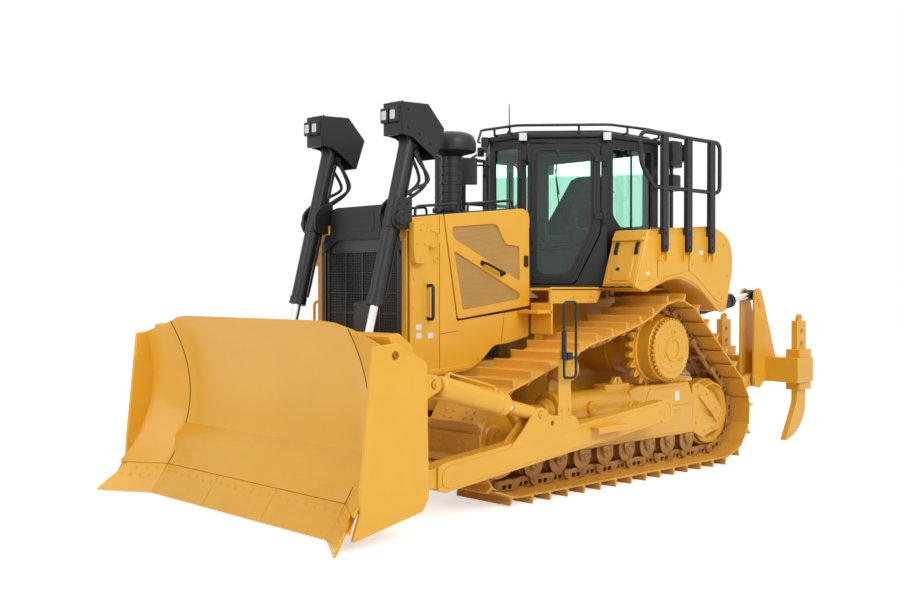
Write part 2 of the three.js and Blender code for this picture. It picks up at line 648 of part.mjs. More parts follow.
// The cab's plan, moved inwards by a distance: narrow at the front, with a slanted door wall.
function cabPlan(inwards) {
  const slant = Math.atan2(CAB_SIDE.y - CAB_FRONT.y, CAB_FRONT.x - CAB_SIDE.x);
  const frontShift = inwards * Math.tan((Math.PI / 2 - slant) / 2);
  const sideShift = inwards * Math.tan(slant / 2);
  const left = [
    [CAB_FRONT.x - inwards, CAB_FRONT.y - frontShift],
    [CAB_SIDE.x - sideShift, CAB_SIDE.y - inwards],
    [CAB_REAR_X + inwards, CAB_SIDE.y - inwards],
  ];
  const right = left.map(([x, y]) => [x, -y]).reverse();
  return [...left, ...right];
}

// A plate in the slanted door wall: [s, z] points, s from the rear corner forwards, and its depth
// behind the wall's outer face.
function doorWallPlate(points, near, far) {
  const geometry = extruded(points, far - near);
  geometry.rotateX(Math.PI / 2);
  geometry.translate(0, -near, 0);
  geometry.rotateZ(DOOR_ANGLE);
  geometry.translate(CAB_SIDE.x, CAB_SIDE.y, 0);
  return solid(geometry);
}

// The door's outline: its lower rear corner is cut away over the fender.
function doorOutline(inwards) {
  const [rear, front] = [60 + inwards, DOOR_WALL - 50 - inwards];
  const [low, top] = [DOOR_LOW_Z + inwards, DOOR_TOP_Z - inwards];
  const diagonal = inwards * 0.6;
  return [[rear, top], [rear, 2260 + diagonal], [300 + diagonal, low], [front, low], [front, top]];
}

function cabShell() {
  const shell = cut(
    planPlate(cabPlan(0), DECK_Z + GAP, CAB_TOP_Z),
    planPlate(cabPlan(CAB_WALL), DECK_Z, CAB_TOP_Z + 1));
  const opening = doorWallPlate(doorOutline(-CLEAR), -60, CAB_WALL + 90);
  const side = sidePlate(sideWindow(0), CAB_SIDE.y - CAB_WALL - 60, CAB_SIDE.y + 10);
  const airBox = box(CAB_REAR_X - 160, CAB_REAR_X + 5, -520, 520, 1900, 2260);
  const hinges = DOOR_HINGE_HEIGHTS.flatMap((z) => [
    doorKnuckle(z - 40, z - GAP),
    doorWallPlate([[6, z - 40], [40, z - 40], [40, z - GAP], [6, z - GAP]], -DOOR_HINGE.out, 5)]);
  return join(cut(
    shell,
    box(CAB_FRONT.x - 120, CAB_FRONT.x + 20, -165, 165, 1960, WINDOW_TOP_Z),
    box(CAB_REAR_X - 20, CAB_REAR_X + 90, -640, 640, REAR_WINDOW_LOW_Z, WINDOW_TOP_Z),
    opening, mirroredSolid(opening), side, mirroredSolid(side)), airBox, bothSides(join(hinges)));
}

function sideWindow(inwards) {
  const i = inwards;
  return [[330 - i, WINDOW_TOP_Z - i], [-310 + i, WINDOW_TOP_Z - i], [-310 + i, 2300 + i], [200 - i, 2300 + i], [330 - i, 2420 + i]];
}

// The hinge stands outside the door wall: a round knuckle and the leaf that holds it.

function doorWallPoint(s, out) {
  const [c, n] = [Math.cos(DOOR_ANGLE), Math.sin(DOOR_ANGLE)];
  return [CAB_SIDE.x + c * s - n * out, CAB_SIDE.y + n * s + c * out];
}

function doorKnuckle(z0, z1) {
  const [x, y] = doorWallPoint(DOOR_HINGE.s, DOOR_HINGE.out);
  return uprightBar(x, y, DOOR_HINGE.radius, z0, z1, 12);
}

function cabDoor() {
  const { s, out } = DOOR_HINGE;
  const leaves = DOOR_HINGE_HEIGHTS.flatMap((z) => [
    doorKnuckle(z, z + 70),
    doorWallPlate([[s, z], [s + 90, z], [s + 90, z + 70], [s, z + 70]], -out - 8, -out + 8),
    doorWallPlate([[s + 45, z], [s + 90, z], [s + 90, z + 70], [s + 45, z + 70]], -out, 5)]);
  return join(cut(
    doorWallPlate(doorOutline(0), 0, DOOR_THICKNESS),
    doorWallPlate(doorOutline(85), -10, DOOR_THICKNESS + 10)), leaves);
}

function doorGlass() {
  return doorWallPlate(doorOutline(85 + GAP), 12, 12 + GLASS_THICKNESS);
}

function sideGlass() {
  return sidePlate(sideWindow(GAP), CAB_SIDE.y - 22 - GLASS_THICKNESS, CAB_SIDE.y - 22);
}

function windshield() {
  return box(CAB_FRONT.x - 22 - GLASS_THICKNESS, CAB_FRONT.x - 22, -165 + GAP, 165 - GAP, 1960 + GAP,
    WINDOW_TOP_Z - GAP);
}

function rearGlass() {
  return box(CAB_REAR_X + 22, CAB_REAR_X + 22 + GLASS_THICKNESS, -640 + GAP, 640 - GAP,
    REAR_WINDOW_LOW_Z + GAP, WINDOW_TOP_Z - GAP);
}

function cabRoof() {
  const low = CAB_TOP_Z + GAP;
  const high = CAB_TOP_Z + ROOF_THICKNESS;
  return join(
    planPlate(cabPlan(-30), low, high - 30),
    planPlate(cabPlan(40), high - 35, high),
    uprightBar(900, 0, 8, high - 10, ANTENNA_TOP_Z, 8));
}

function cabFloor() {
  const deck = planPlate([[1290, -DECK_HALF_WIDTH], [1290, DECK_HALF_WIDTH], [CAB_REAR_X - 60, DECK_HALF_WIDTH],
    [CAB_REAR_X - 60, -DECK_HALF_WIDTH]], DECK_Z - DECK_THICKNESS, DECK_Z);
  const skirt = sidePlate([[1290, DECK_Z - 10], [1290, 1600], [640, 1600], [560, DECK_Z - 10]],
    DECK_HALF_WIDTH - 30, DECK_HALF_WIDTH);
  const step = join(
    box(1270, 1460, PANEL_OUTER_Y + 6, DECK_HALF_WIDTH, 1515, 1545),
    box(1262, 1290, PANEL_OUTER_Y + 6, DECK_HALF_WIDTH, 1330, 1610));
  const dash = join(
    sidePlate([[560, DECK_Z - 5], [780, DECK_Z - 5], [820, 2380], [700, 2480], [600, 2400]], -150, 150),
    box(590, 640, -230, 230, 2180, 2420));
  const seatStand = join(
    box(-140, 260, -220, 220, DECK_Z - 5, 2060),
    bothSides(box(-120, 380, 270, 380, 2130, 2330)),
    box(-60, 120, -380, 380, 2000, SEAT_STAND_Z));
  return join(deck, bothSides(skirt), bothSides(step), dash, seatStand);
}

function seat() {
  const low = SEAT_STAND_Z + GAP;
  return sidePlate([[-190, low], [300, low], [330, low + 50], [320, low + 100], [-90, low + 110], [-190, 2900],
    [-290, 2900], [-280, low + 100]], -240, 240);
}

// ---------------------------------------------------------------- rear body

function fender() {
  return sidePlate(FENDER_OUTLINE, FENDER_INNER_Y, FENDER_OUTER_Y);
}

function fuelTank() {
  const low = FRAME_TOP_Z + GAP;
  return sidePlate([[-565, low], [-565, 2270], [-900, 2270], [-1000, 1980], [-1000, low]],
    -FENDER_INNER_Y + GAP, FENDER_INNER_Y - GAP);
}

// A bar frame seen from the side: its outer corners are cut at an angle, and it is open inside.
function railFrame(x0, x1, z0, z1, corner, width) {
  const loop = (i, c) => [[x0 + i + c, z0 + i], [x1 - i - c, z0 + i], [x1 - i, z0 + i + c], [x1 - i, z1 - i - c],
    [x1 - i - c, z1 - i], [x0 + i + c, z1 - i], [x0 + i, z1 - i - c], [x0 + i, z0 + i + c]];
  return { outer: loop(0, corner), inner: loop(width, corner * 0.8) };
}

function guardRail() {
  const y = FENDER_OUTER_Y + GAP;
  const posts = [240, -140, -525].map((x) => box(x - 35, x + 35, y, y + 24, 2070, 3160));
  const { outer, inner } = railFrame(-690, 530, 2650, 3165, 90, 34);
  return join(posts, ring(outer, inner, y, y + 24));
}

// ---------------------------------------------------------------- blade

// The moldboard's hollow front line, moved forwards by `top` at its upper end and `low` at its lower.
function moldboardLine(top, low, back) {
  const curve = new THREE.QuadraticBezierCurve(
    new THREE.Vector2(3870 + top - back, BLADE_TOP_Z),
    new THREE.Vector2(3425 + (top + low) / 2 - back, 845),
    new THREE.Vector2(MOLDBOARD_FOOT.x + low - back, MOLDBOARD_FOOT.z));
  return curve.getPoints(8).map((p) => [p.x, p.y]);
}

// A point beside the moldboard's foot: so far down the cutting edge, and so far behind its face.
function belowFoot(down, behind) {
  const [ux, uz] = [Math.cos(EDGE_ANGLE), -Math.sin(EDGE_ANGLE)];
  return [MOLDBOARD_FOOT.x + ux * down + uz * behind, MOLDBOARD_FOOT.z + uz * down - ux * behind];
}

function moldboardSection(y, top, low) {
  const front = moldboardLine(top, low, 0);
  const back = moldboardLine(top, low, MOLDBOARD_THICKNESS).reverse();
  const lip = [belowFoot(0, EDGE_THICKNESS), belowFoot(LIP_LENGTH, EDGE_THICKNESS),
    belowFoot(LIP_LENGTH, EDGE_THICKNESS + MOLDBOARD_THICKNESS)].map(([x, z]) => [x + low, z]);
  return { y, points: [...front, ...lip, ...back] };
}

// The cutting edge lies on the moldboard's lip, flush with the moldboard's face.
function edgeSection(y, forward) {
  const down = (EDGE_LOW_Z - belowFoot(0, 0)[1]) / -Math.sin(EDGE_ANGLE);
  const back = EDGE_THICKNESS - GAP;
  const downBack = (EDGE_LOW_Z - belowFoot(0, back)[1]) / -Math.sin(EDGE_ANGLE);
  const points = [belowFoot(GAP, 0), belowFoot(down, 0), belowFoot(downBack, back), belowFoot(GAP, back)];
  return { y, points: points.map(([x, z]) => [x + forward, z]) };
}

// A rib's front edge, from its foot up: it ends inside the moldboard, which stands further forward
// out on the wings.
function ribFront(y) {
  const share = Math.max(0, (y - BLADE_WING_Y) / (BLADE_HALF_WIDTH - 20 - BLADE_WING_Y));
  return moldboardLine(WING_TOP * share, WING_LOW * share, MOLDBOARD_THICKNESS / 2).slice(1, 8).reverse();
}

function bladeRib(y) {
  return sidePlate([[3480, 400], ...ribFront(y), [3575, 1300]], y, y + 30);
}

function blade() {
  const skin = crossLoft([
    moldboardSection(-BLADE_HALF_WIDTH + 20, WING_TOP, WING_LOW), moldboardSection(-BLADE_WING_Y, 0, 0),
    moldboardSection(BLADE_WING_Y, 0, 0), moldboardSection(BLADE_HALF_WIDTH - 20, WING_TOP, WING_LOW)]);
  const cornerY = BLADE_HALF_WIDTH - BLADE_CORNER_WIDTH;
  const corner = frontPlate([[cornerY, BLADE_TOP_Z + 1], [BLADE_HALF_WIDTH + 10, 1345],
    [BLADE_HALF_WIDTH + 10, BLADE_TOP_Z + 60], [cornerY, BLADE_TOP_Z + 60]], 3000, 4500);
  const sideOutline = [[3730, 1370], [3950, 1350], [4050, 420], [4058, 250], [4130, 60], [3500, 190],
    [3440, 280], [3460, 1230]];
  const sideHole = crossBar({ x: 3750, z: 1285 }, 30, BLADE_HALF_WIDTH - 60, BLADE_HALF_WIDTH + 10, 16);
  const side = cut(sidePlate(sideOutline, BLADE_HALF_WIDTH - 35, BLADE_HALF_WIDTH), sideHole);
  const beamEnd = BLADE_HALF_WIDTH - 30;
  const topBeam = sidePlate([[3560, 1180], [3700, 1180], [3790, 1420], [3700, 1440], [3560, 1340]],
    -beamEnd, beamEnd);
  const lowBeam = sidePlate([[3470, 300], [3560, 210], [3840, 210], [3760, 480], [3660, 620], [3470, 480]],
    -beamEnd, beamEnd);
  const ribs = [-15, 245, 885].map(bladeRib);
  const liftRib = [[3205, 600], [3225, 565], [3270, 550], [3480, 400], ...ribFront(LIFT_Y), [3575, 1300],
    [3480, 900], [3340, 690], [3270, 690], [3225, 675]];
  const tiltRib = [[3225, 1030], [3245, 1000], [3290, 985], [3480, 900], [3480, 400], ...ribFront(TILT_Y - 80),
    [3575, 1300], [3480, 1140], [3290, 1125], [3240, 1105]];
  const armEar = [[ARM_PIN.x - 75, 400], [ARM_PIN.x - 80, 340], [ARM_PIN.x - 40, 300], [3480, 290], [3480, 480],
    [ARM_PIN.x - 20, 450]];
  const left = join(
    ribs.slice(1),
    ears(liftRib, LIFT_Y, 45, 30),
    ears(tiltRib, TILT_Y, 50, 30),
    ears(armEar, (ARM_INNER_Y + ARM_OUTER_Y) / 2, 42, 27),
    side);
  return cut(join(skin, topBeam, lowBeam, ribs[0], bothSides(left)), bothSides(corner));
}

function wingForward(y) {
  return WING_LOW * (y - BLADE_WING_Y) / (BLADE_HALF_WIDTH - 20 - BLADE_WING_Y);
}

function cuttingEdge() {
  const forward = wingForward(END_BIT_Y);
  return crossLoft([edgeSection(-END_BIT_Y, forward), edgeSection(-BLADE_WING_Y, 0),
    edgeSection(BLADE_WING_Y, 0), edgeSection(END_BIT_Y, forward)]);
}

function pushArm() {
  const middle = (ARM_INNER_Y + ARM_OUTER_Y) / 2;
  const bar = sidePlate([[TRUNNION.x, 740], [TRUNNION.x - 70, 720], [TRUNNION.x - 100, TRUNNION.z],
    [TRUNNION.x - 70, 570], [TRUNNION.x, 545], [3160, 255], [3230, 280], [3230, 450], [3160, 480]],
  ARM_INNER_Y, ARM_OUTER_Y);
  const eye = join(
    crossBar(ARM_PIN, 68, middle - 42, middle + 42),
    sidePlate([[3150, 290], [ARM_PIN.x, 305], [ARM_PIN.x, 435], [3150, 450]], middle - 42, middle + 42));
  const bracket = [[1640, 590], [1700, 700], [2020, 730], [2080, 790], [2130, 805], [2190, 790], [2330, 640],
    [2500, 500]];
  const post = sidePlate([[1742, 640], [1918, 640], [1895, 1250], [1765, 1250]], ARM_OUTER_Y - 25, ARM_OUTER_Y - 5);
  return join(bar, eye, ears(bracket, TILT_Y, 40, 20), post,
    box(1680, 1960, TILT_Y - 45, TILT_Y + 45, 560, 640));
}

// ---------------------------------------------------------------- cylinders

// A barrel standing at its eye, with its bore open at the gland end.
function barrel({ from, to, y, radius, rod, eye, eyeHalfWidth, length, bore }) {
  const neck = eyeHalfWidth - 4;
  const shoulder = EAR_REACH + CLEAR;
  const profile = [[0, eye * 0.6], [neck, eye * 0.6], [neck, shoulder], [radius, shoulder + 12],
    [radius, length - 60], [radius + 10, length - 60],
    [radius + 10, length], [rod + 0.6, length], [rod + 0.6, bore], [0, bore]];
  return join(
    turnedAlong(profile, from, to, y),
    crossBar(from, eye, y - eyeHalfWidth, y + eyeHalfWidth));
}

// A rod that ends in its eye, at the far pin.
function rodWithEye({ from, to, y, rod, eye, eyeHalfWidth, start }) {
  const reach = distance(from, to);
  const profile = [[0, start], [rod, start], [rod, reach - eye * 0.6], [0, reach - eye * 0.6]];
  return join(
    turnedAlong(profile, from, to, y),
    crossBar(to, eye, y - eyeHalfWidth, y + eyeHalfWidth));
}

const TILT = {
  from: TILT_BLADE_PIN, to: TILT_ARM_PIN, y: TILT_Y, radius: TILT_BARREL_RADIUS, rod: TILT_ROD_RADIUS,
  eye: 55, eyeHalfWidth: 40, length: 820, bore: 420, start: 560,
};

const RIPPER_TILT = {
  from: RIPPER_ROOT_HIGH, to: RIPPER_TOP_PIN, y: RIPPER_Y, radius: RIPPER_BARREL_RADIUS, rod: RIPPER_ROD_RADIUS,
  eye: 60, eyeHalfWidth: 45, length: 780, bore: 140, start: 330,
};

const RIPPER_LIFT = {
  from: RIPPER_LIFT_ROOT, to: RIPPER_LIFT_EYE, y: RIPPER_LIFT_Y, radius: RIPPER_BARREL_RADIUS - 8,
  rod: RIPPER_ROD_RADIUS - 5, eye: 55, eyeHalfWidth: 45, length: 620, bore: 110, start: 392,
};

function liftBarrel() {
  const length = LIFT_BARREL_ABOVE + LIFT_BARREL_BELOW;
  const reach = distance(LIFT_TRUNNION, LIFT_EYE);
  const down = { x: (LIFT_EYE.x - LIFT_TRUNNION.x) / reach, z: (LIFT_EYE.z - LIFT_TRUNNION.z) / reach };
  const top = { x: LIFT_TRUNNION.x - down.x * LIFT_BARREL_ABOVE, z: LIFT_TRUNNION.z - down.z * LIFT_BARREL_ABOVE };
  const radius = LIFT_BARREL_RADIUS;
  const bore = LIFT_ROD_RADIUS + 0.6;
  const profile = [[0, 0], [radius, 0], [radius, length - 70], [radius + 8, length - 70], [radius + 8, length],
    [bore, length], [bore, 120], [0, 120]];
  const stub = (y0, y1) => crossBar(LIFT_TRUNNION, 42, y0, y1);
  return join(
    turnedAlong(profile, top, LIFT_EYE, LIFT_Y),
    stub(LIFT_Y + bore + 10, LIFT_Y + LIFT_COLLAR),
    stub(LIFT_Y - LIFT_COLLAR, LIFT_Y - bore - 10));
}

function liftRod() {
  return rodWithEye({ from: LIFT_TRUNNION, to: LIFT_EYE, y: LIFT_Y, rod: LIFT_ROD_RADIUS, eye: 60, eyeHalfWidth: 45,
    start: 330 });
}

// ---------------------------------------------------------------- ripper

function ripperLink() {
  const half = 45;
  const [a, b] = [RIPPER_ROOT_LOW, RIPPER_LOW_PIN];
  const arm = join(
    crossBar(a, 68, RIPPER_Y - half, RIPPER_Y + half),
    crossBar(b, 75, RIPPER_Y - half, RIPPER_Y + half),
    sidePlate([[a.x, a.z - 60], [a.x, a.z + 60], [-1800, 740], [b.x, b.z + 60], [b.x, b.z - 65], [-1800, 520]],
      RIPPER_Y - half, RIPPER_Y + half));
  const bore = crossBar(b, RIPPER_PIN_RADIUS + 2, 500, 700);
  const eye = RIPPER_LIFT_EYE;
  const lug = [[eye.x - 110, 640], [eye.x - 60, eye.z - 30], [eye.x - 45, eye.z + 45], [eye.x + 45, eye.z + 45],
    [eye.x + 70, eye.z - 20], [eye.x + 150, 620]];
  return join(
    bothSides(cut(arm, bore)),
    sidePlate([[-1960, 570], [-1960, 690], [-2260, 720], [-2260, 600]], -RIPPER_Y, RIPPER_Y),
    bothSides(join(ears(lug, RIPPER_LIFT_Y, 45, 25))));
}

function ripperPin() {
  const end = RIPPER_Y + UPRIGHT_GAP - GAP;
  const collar = (y0, y1) => crossBar(RIPPER_LOW_PIN, 68, y0, y1);
  const collars = join(
    collar(RIPPER_Y + 45 + GAP, end),
    collar(RIPPER_Y - UPRIGHT_GAP + GAP, RIPPER_Y - 45 - GAP));
  return join(crossBar(RIPPER_LOW_PIN, RIPPER_PIN_RADIUS, -end, end), bothSides(collars));
}

function pocket(y) {
  return box(-2985, -2715, y - 85, y + 85, 590, 1050);
}

function ripperBeam() {
  const upright = [[-2375, 1640], [-2400, 1715], [-2450, 1745], [-2505, 1725], [-2540, 1660], [-2830, 950],
    [-2830, 690], [-2600, 690], [-2530, 640], [-2450, 610], [-2385, 640], [-2365, 700]];
  const plates = cut(
    join(ears(upright, RIPPER_Y, UPRIGHT_GAP - GAP, UPRIGHT_THICKNESS)),
    crossBar(RIPPER_LOW_PIN, RIPPER_PIN_RADIUS + 2, RIPPER_Y - UPRIGHT_GAP - 40, RIPPER_Y - UPRIGHT_GAP + 10));
  const slot = (y) => box(BEAM.rear - 0.5, BEAM.rear + 200.5, y - SHANK_HALF_THICKNESS - GAP,
    y + SHANK_HALF_THICKNESS + GAP, 500, 1200);
  const places = [-SHANK_SPACING, 0, SHANK_SPACING];
  return cut(join(
    box(BEAM.rear, BEAM.front, -BEAM_HALF_WIDTH, BEAM_HALF_WIDTH, BEAM.low, BEAM.high),
    places.map(pocket),
    bothSides(plates)), places.map(slot));
}

function ripperShank(y) {
  const rear = BEAM.rear;
  const points = [[rear, SHANK_TOP_Z], [rear, 420], [-2905, 300], [-2790, 150], [-2500, 40], [-2600, 200],
    [-2680, 330], [rear + 200, 460], [rear + 200, SHANK_TOP_Z]];
  return join(
    sidePlate(points, y - SHANK_HALF_THICKNESS, y + SHANK_HALF_THICKNESS),
    box(rear + 55, rear + 145, y - 20, y + 20, SHANK_TOP_Z - 5, SHANK_TOP_Z + 75));
}

// ---------------------------------------------------------------- the machine

const pins = trackPins();

add("main_frame", mainFrame(), YELLOW);
add("engine_block", engineBlock(), STEEL);
add("radiator_guard", radiatorGuard(), YELLOW);
add("grille", grille(), BLACK);
add("hood", hood(), BLACK);
addPair("side_panel", sidePanel(), YELLOW);
addPair("engine_door", engineDoor(), YELLOW);
add("exhaust_stack", exhaustStack(), BLACK);
add("air_cleaner", airCleaner(), BLACK);

add("cab_floor", cabFloor(), YELLOW);
add("cab_shell", cabShell(), BLACK);
add("cab_roof", cabRoof(), BLACK);
add("windshield", windshield(), GLASS);
add("rear_glass", rearGlass(), GLASS);
addPair("side_glass", sideGlass(), GLASS);
addPair("cab_door", cabDoor(), BLACK);
addPair("door_glass", doorGlass(), GLASS);
add("seat", seat(), SEAT);

add("fuel_tank", fuelTank(), YELLOW);
addPair("fender", fender(), YELLOW);
addPair("guard_rail", guardRail(), BLACK);

addPair("roller_frame", rollerFrame(pins), YELLOW);
addPair("final_drive", finalDrive(), YELLOW);
addPair("track", track(pins), WORN);

add("blade", blade(), YELLOW);
add("cutting_edge", cuttingEdge(), YELLOW);
addPair("push_arm", pushArm(), YELLOW);
addPair("tilt_barrel", barrel({ ...TILT, eyeHalfWidth: TILT_HEAD_HALF_WIDTH }), YELLOW);
addPair("tilt_rod", rodWithEye(TILT), CHROME);
addPair("lift_barrel", liftBarrel(), BLACK);
addPair("lift_rod", liftRod(), CHROME);

add("ripper_link", ripperLink(), YELLOW);
add("ripper_pin", ripperPin(), STEEL);
add("ripper_beam", ripperBeam(), YELLOW);
add("ripper_shank_left", ripperShank(SHANK_SPACING), YELLOW);
add("ripper_shank_middle", ripperShank(0), YELLOW);
add("ripper_shank_right", ripperShank(-SHANK_SPACING), YELLOW);
addPair("ripper_tilt_barrel", barrel(RIPPER_TILT), BLACK);
addPair("ripper_tilt_rod", rodWithEye({ ...RIPPER_TILT, eyeHalfWidth: UPRIGHT_GAP - GAP }), CHROME);
addPair("ripper_lift_barrel", barrel(RIPPER_LIFT), BLACK);
addPair("ripper_lift_rod", rodWithEye(RIPPER_LIFT), CHROME);

// The origin lies on the ground, under the middle of the whole machine's box.
const extent = new THREE.Box3().setFromObject(machine, true);
machine.position.x = -(extent.min.x + extent.max.x) / 2;

export default machine;
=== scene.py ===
"""A crawler bulldozer's finish and fine shapes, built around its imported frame.

New pieces are worked out in metres in the machine's own frame: x is measured forwards from a line 20 mm in
front of the sprocket's axle, y to the machine's left, and z up from the ground. `piece` moves them to the
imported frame, which differs along x by SHIFT. A shape is a pair of points and faces.
"""

import json
import math

import bpy
import numpy as np
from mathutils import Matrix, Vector
from mathutils.geometry import tessellate_polygon

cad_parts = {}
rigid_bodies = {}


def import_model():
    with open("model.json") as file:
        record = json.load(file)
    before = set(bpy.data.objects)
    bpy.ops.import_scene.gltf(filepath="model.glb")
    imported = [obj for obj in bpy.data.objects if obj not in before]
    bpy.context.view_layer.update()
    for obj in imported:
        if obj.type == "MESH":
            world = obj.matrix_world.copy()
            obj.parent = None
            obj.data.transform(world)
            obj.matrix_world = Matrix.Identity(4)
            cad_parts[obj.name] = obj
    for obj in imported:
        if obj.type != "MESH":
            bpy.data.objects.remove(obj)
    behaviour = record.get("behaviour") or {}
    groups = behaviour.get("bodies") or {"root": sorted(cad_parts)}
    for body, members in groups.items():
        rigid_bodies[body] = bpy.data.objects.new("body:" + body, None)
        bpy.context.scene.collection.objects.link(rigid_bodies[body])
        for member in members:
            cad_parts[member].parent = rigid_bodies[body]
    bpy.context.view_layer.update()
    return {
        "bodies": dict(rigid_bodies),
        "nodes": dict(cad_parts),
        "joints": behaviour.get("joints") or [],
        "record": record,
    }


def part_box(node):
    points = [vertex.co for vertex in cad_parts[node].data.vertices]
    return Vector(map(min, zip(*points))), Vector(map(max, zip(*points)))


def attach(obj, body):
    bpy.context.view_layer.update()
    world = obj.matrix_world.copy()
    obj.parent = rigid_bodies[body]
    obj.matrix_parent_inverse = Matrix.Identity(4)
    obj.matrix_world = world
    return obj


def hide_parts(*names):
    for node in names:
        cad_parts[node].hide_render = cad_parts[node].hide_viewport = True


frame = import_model()
JOINTS = {joint["name"]: joint for joint in frame["joints"]}

# ---------------------------------------------------------------- places taken from the frame

TRUNNION = np.array([0.45, 0.64])  # push arms on the roller frames, x and z
SHIFT = JOINTS["blade_lift"]["pos_m"][0] - TRUNNION[0]  # from the machine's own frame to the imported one


def node_box(node):
    """The low and high corner of a construction node, in the machine's own frame."""
    low, high = (np.array(corner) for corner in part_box(node))
    return low - [SHIFT, 0, 0], high - [SHIFT, 0, 0]


TRACK_LOW, TRACK_HIGH = node_box("track_left")
TRACK_Y = (TRACK_LOW[1] + TRACK_HIGH[1]) / 2
SHOE_HALF_WIDTH = (TRACK_HIGH[1] - TRACK_LOW[1]) / 2
SHOE_PITCH = 0.216
PIN_TO_GROUND = 0.145
IDLER_PIN_RADIUS = 0.357
IDLER_Z = PIN_TO_GROUND + IDLER_PIN_RADIUS
FRONT_IDLER = np.array([2.2, IDLER_Z])
REAR_IDLER = np.array([-0.845, IDLER_Z])
SPROCKET = np.array([-0.02, 1.165])
SPROCKET_PIN_RADIUS = 0.397
SPROCKET_TEETH = 23
CARRIER = np.array([1.28, 1.19])  # track pins over the carrier roller
FRAME_HALF_WIDTH = 0.135
ROLLER_RADIUS = 0.1
ROLLER_Z = PIN_TO_GROUND + 0.03 + ROLLER_RADIUS
ROLLER_XS = np.linspace(-0.43, 1.79, 8)
HOOD_Y = 0.6
PANEL_Y = 0.625
LINK_PIN = (-1.25, 0.54)  # the ripper link on the frame, x and z
RIPPER_PIN = (-2.45, 0.7)  # the ripper beam on the link
UPRIGHT_EYE = (-2.45, 1.66)  # tilt cylinders on the beam's uprights
LINK_LUG = (-2.14, 0.79)  # lift cylinders on the link
SIDES = (("left", 1), ("right", -1))
FLOOR_GLOW = 0.6  # the floor's own light, for eyes and reflections only
WORLD_LIGHT = 0.45
LAMPS = [  # name, place, width and depth, watts, colour
    ("key_lamp", (3.0, 13.0, 9.0), (9.0, 6.0), 1010.0, (1.0, 0.985, 0.96)),
    ("top_lamp", (-1.0, 1.0, 11.0), (12.0, 9.0), 400.0, (1.0, 1.0, 1.0)),
    ("front_lamp", (13.0, 0.0, 6.0), (8.0, 6.0), 400.0, (1.0, 0.99, 0.975)),
    ("rear_lamp", (-11.0, -7.0, 7.0), (8.0, 6.0), 300.0, (0.98, 0.99, 1.0)),
]

# ---------------------------------------------------------------- shapes: (points, faces)


def joined(*shapes):
    """Several shapes as one: their points in a row, and their faces renumbered."""
    points, faces, start = [], [], 0
    for part_points, part_faces in shapes:
        points.append(part_points)
        faces += [[start + i for i in face] for face in part_faces]
        start += len(part_points)
    return np.concatenate(points), faces


def outward(shape):
    """The same closed shape, with its faces turned if its signed volume is negative."""
    points, faces = shape
    volume = 0.0
    for face in faces:
        corners = points[face]
        volume += np.sum(corners[0] * np.cross(corners[1:-1], corners[2:]))
    return (points, [face[::-1] for face in faces]) if volume < 0 else shape


def mirrored(shape):
    """The shape on the machine's other side: y changes sign, and faces are turned."""
    points, faces = shape
    return points * [1, -1, 1], [face[::-1] for face in faces]


def both(shape):
    """The shape with its reflection across the machine's middle plane."""
    return joined(shape, mirrored(shape))


def moved(shape, by):
    """The same shape with every point moved by one vector."""
    return shape[0] + by, shape[1]


def copies(shape, origins, bases):
    """Copies of a shape: point p goes to origin + p0*base0 + p1*base1 + p2*base2, for each copy."""
    points, faces = shape
    origins, bases = np.asarray(origins, float), np.asarray(bases, float)
    placed = origins[:, None, :] + np.einsum("nk,ckj->cnj", points, bases)
    count = len(points)
    every = [[c * count + i for i in face] for c in range(len(origins)) for face in faces]
    return placed.reshape(-1, 3), every


def skin(rings, caps=True, around=True):
    """Quads between rings of equal count (ring, point, xyz), with a flat face at each end."""
    rings = np.asarray(rings, float)
    count, size, _ = rings.shape
    row = np.arange(count - 1)[:, None] * size
    col = np.arange(size if around else size - 1)[None, :]
    after = (col + 1) % size
    quads = np.stack([row + col, row + after, row + size + after, row + size + col], -1)
    faces = quads.reshape(-1, 4).tolist()
    if caps:
        faces += [list(range(size))[::-1], list(range((count - 1) * size, count * size))]
    shape = rings.reshape(-1, 3), faces
    return outward(shape) if caps else shape


def perpendiculars(direction):
    """Two unit vectors square to a direction and to each other."""
    direction = np.asarray(direction, float) / np.linalg.norm(direction)
    helper = np.array([0, 0, 1.0]) if abs(direction[2]) < 0.9 else np.array([1.0, 0, 0])
    first = np.cross(helper, direction)
    first /= np.linalg.norm(first)
    return first, np.cross(direction, first)


def turned(profile, base, along, sides=32):
    """A turned piece: each (radius, distance) of the profile is a circle round the line from base."""
    along = np.asarray(along, float) / np.linalg.norm(along)
    first, second = perpendiculars(along)
    angle = np.linspace(0, 2 * np.pi, sides, endpoint=False)
    radius, distance = np.array(profile, float).T
    circle = np.cos(angle)[:, None] * first + np.sin(angle)[:, None] * second
    rings = np.asarray(base, float) + distance[:, None, None] * along + radius[:, None, None] * circle
    return skin(rings)


def rounded(points, radius, steps=4, closed=True):
    """The points with each corner replaced by a parabola that starts and ends a radius away from it."""
    points = np.asarray(points, float)
    radii = np.broadcast_to(radius, len(points))
    t = np.linspace(0, 1, steps + 1)[:, None]
    line = []
    for i, corner in enumerate(points):
        if not closed and i in (0, len(points) - 1):
            line.append(corner[None])
            continue
        before, after = points[i - 1] - corner, points[(i + 1) % len(points)] - corner
        reach = [min(radii[i], 0.49 * np.linalg.norm(side)) for side in (before, after)]
        start = corner + before / np.linalg.norm(before) * reach[0]
        end = corner + after / np.linalg.norm(after) * reach[1]
        line.append((1 - t) ** 2 * start + 2 * t * (1 - t) * corner + t * t * end)
    return np.concatenate(line)


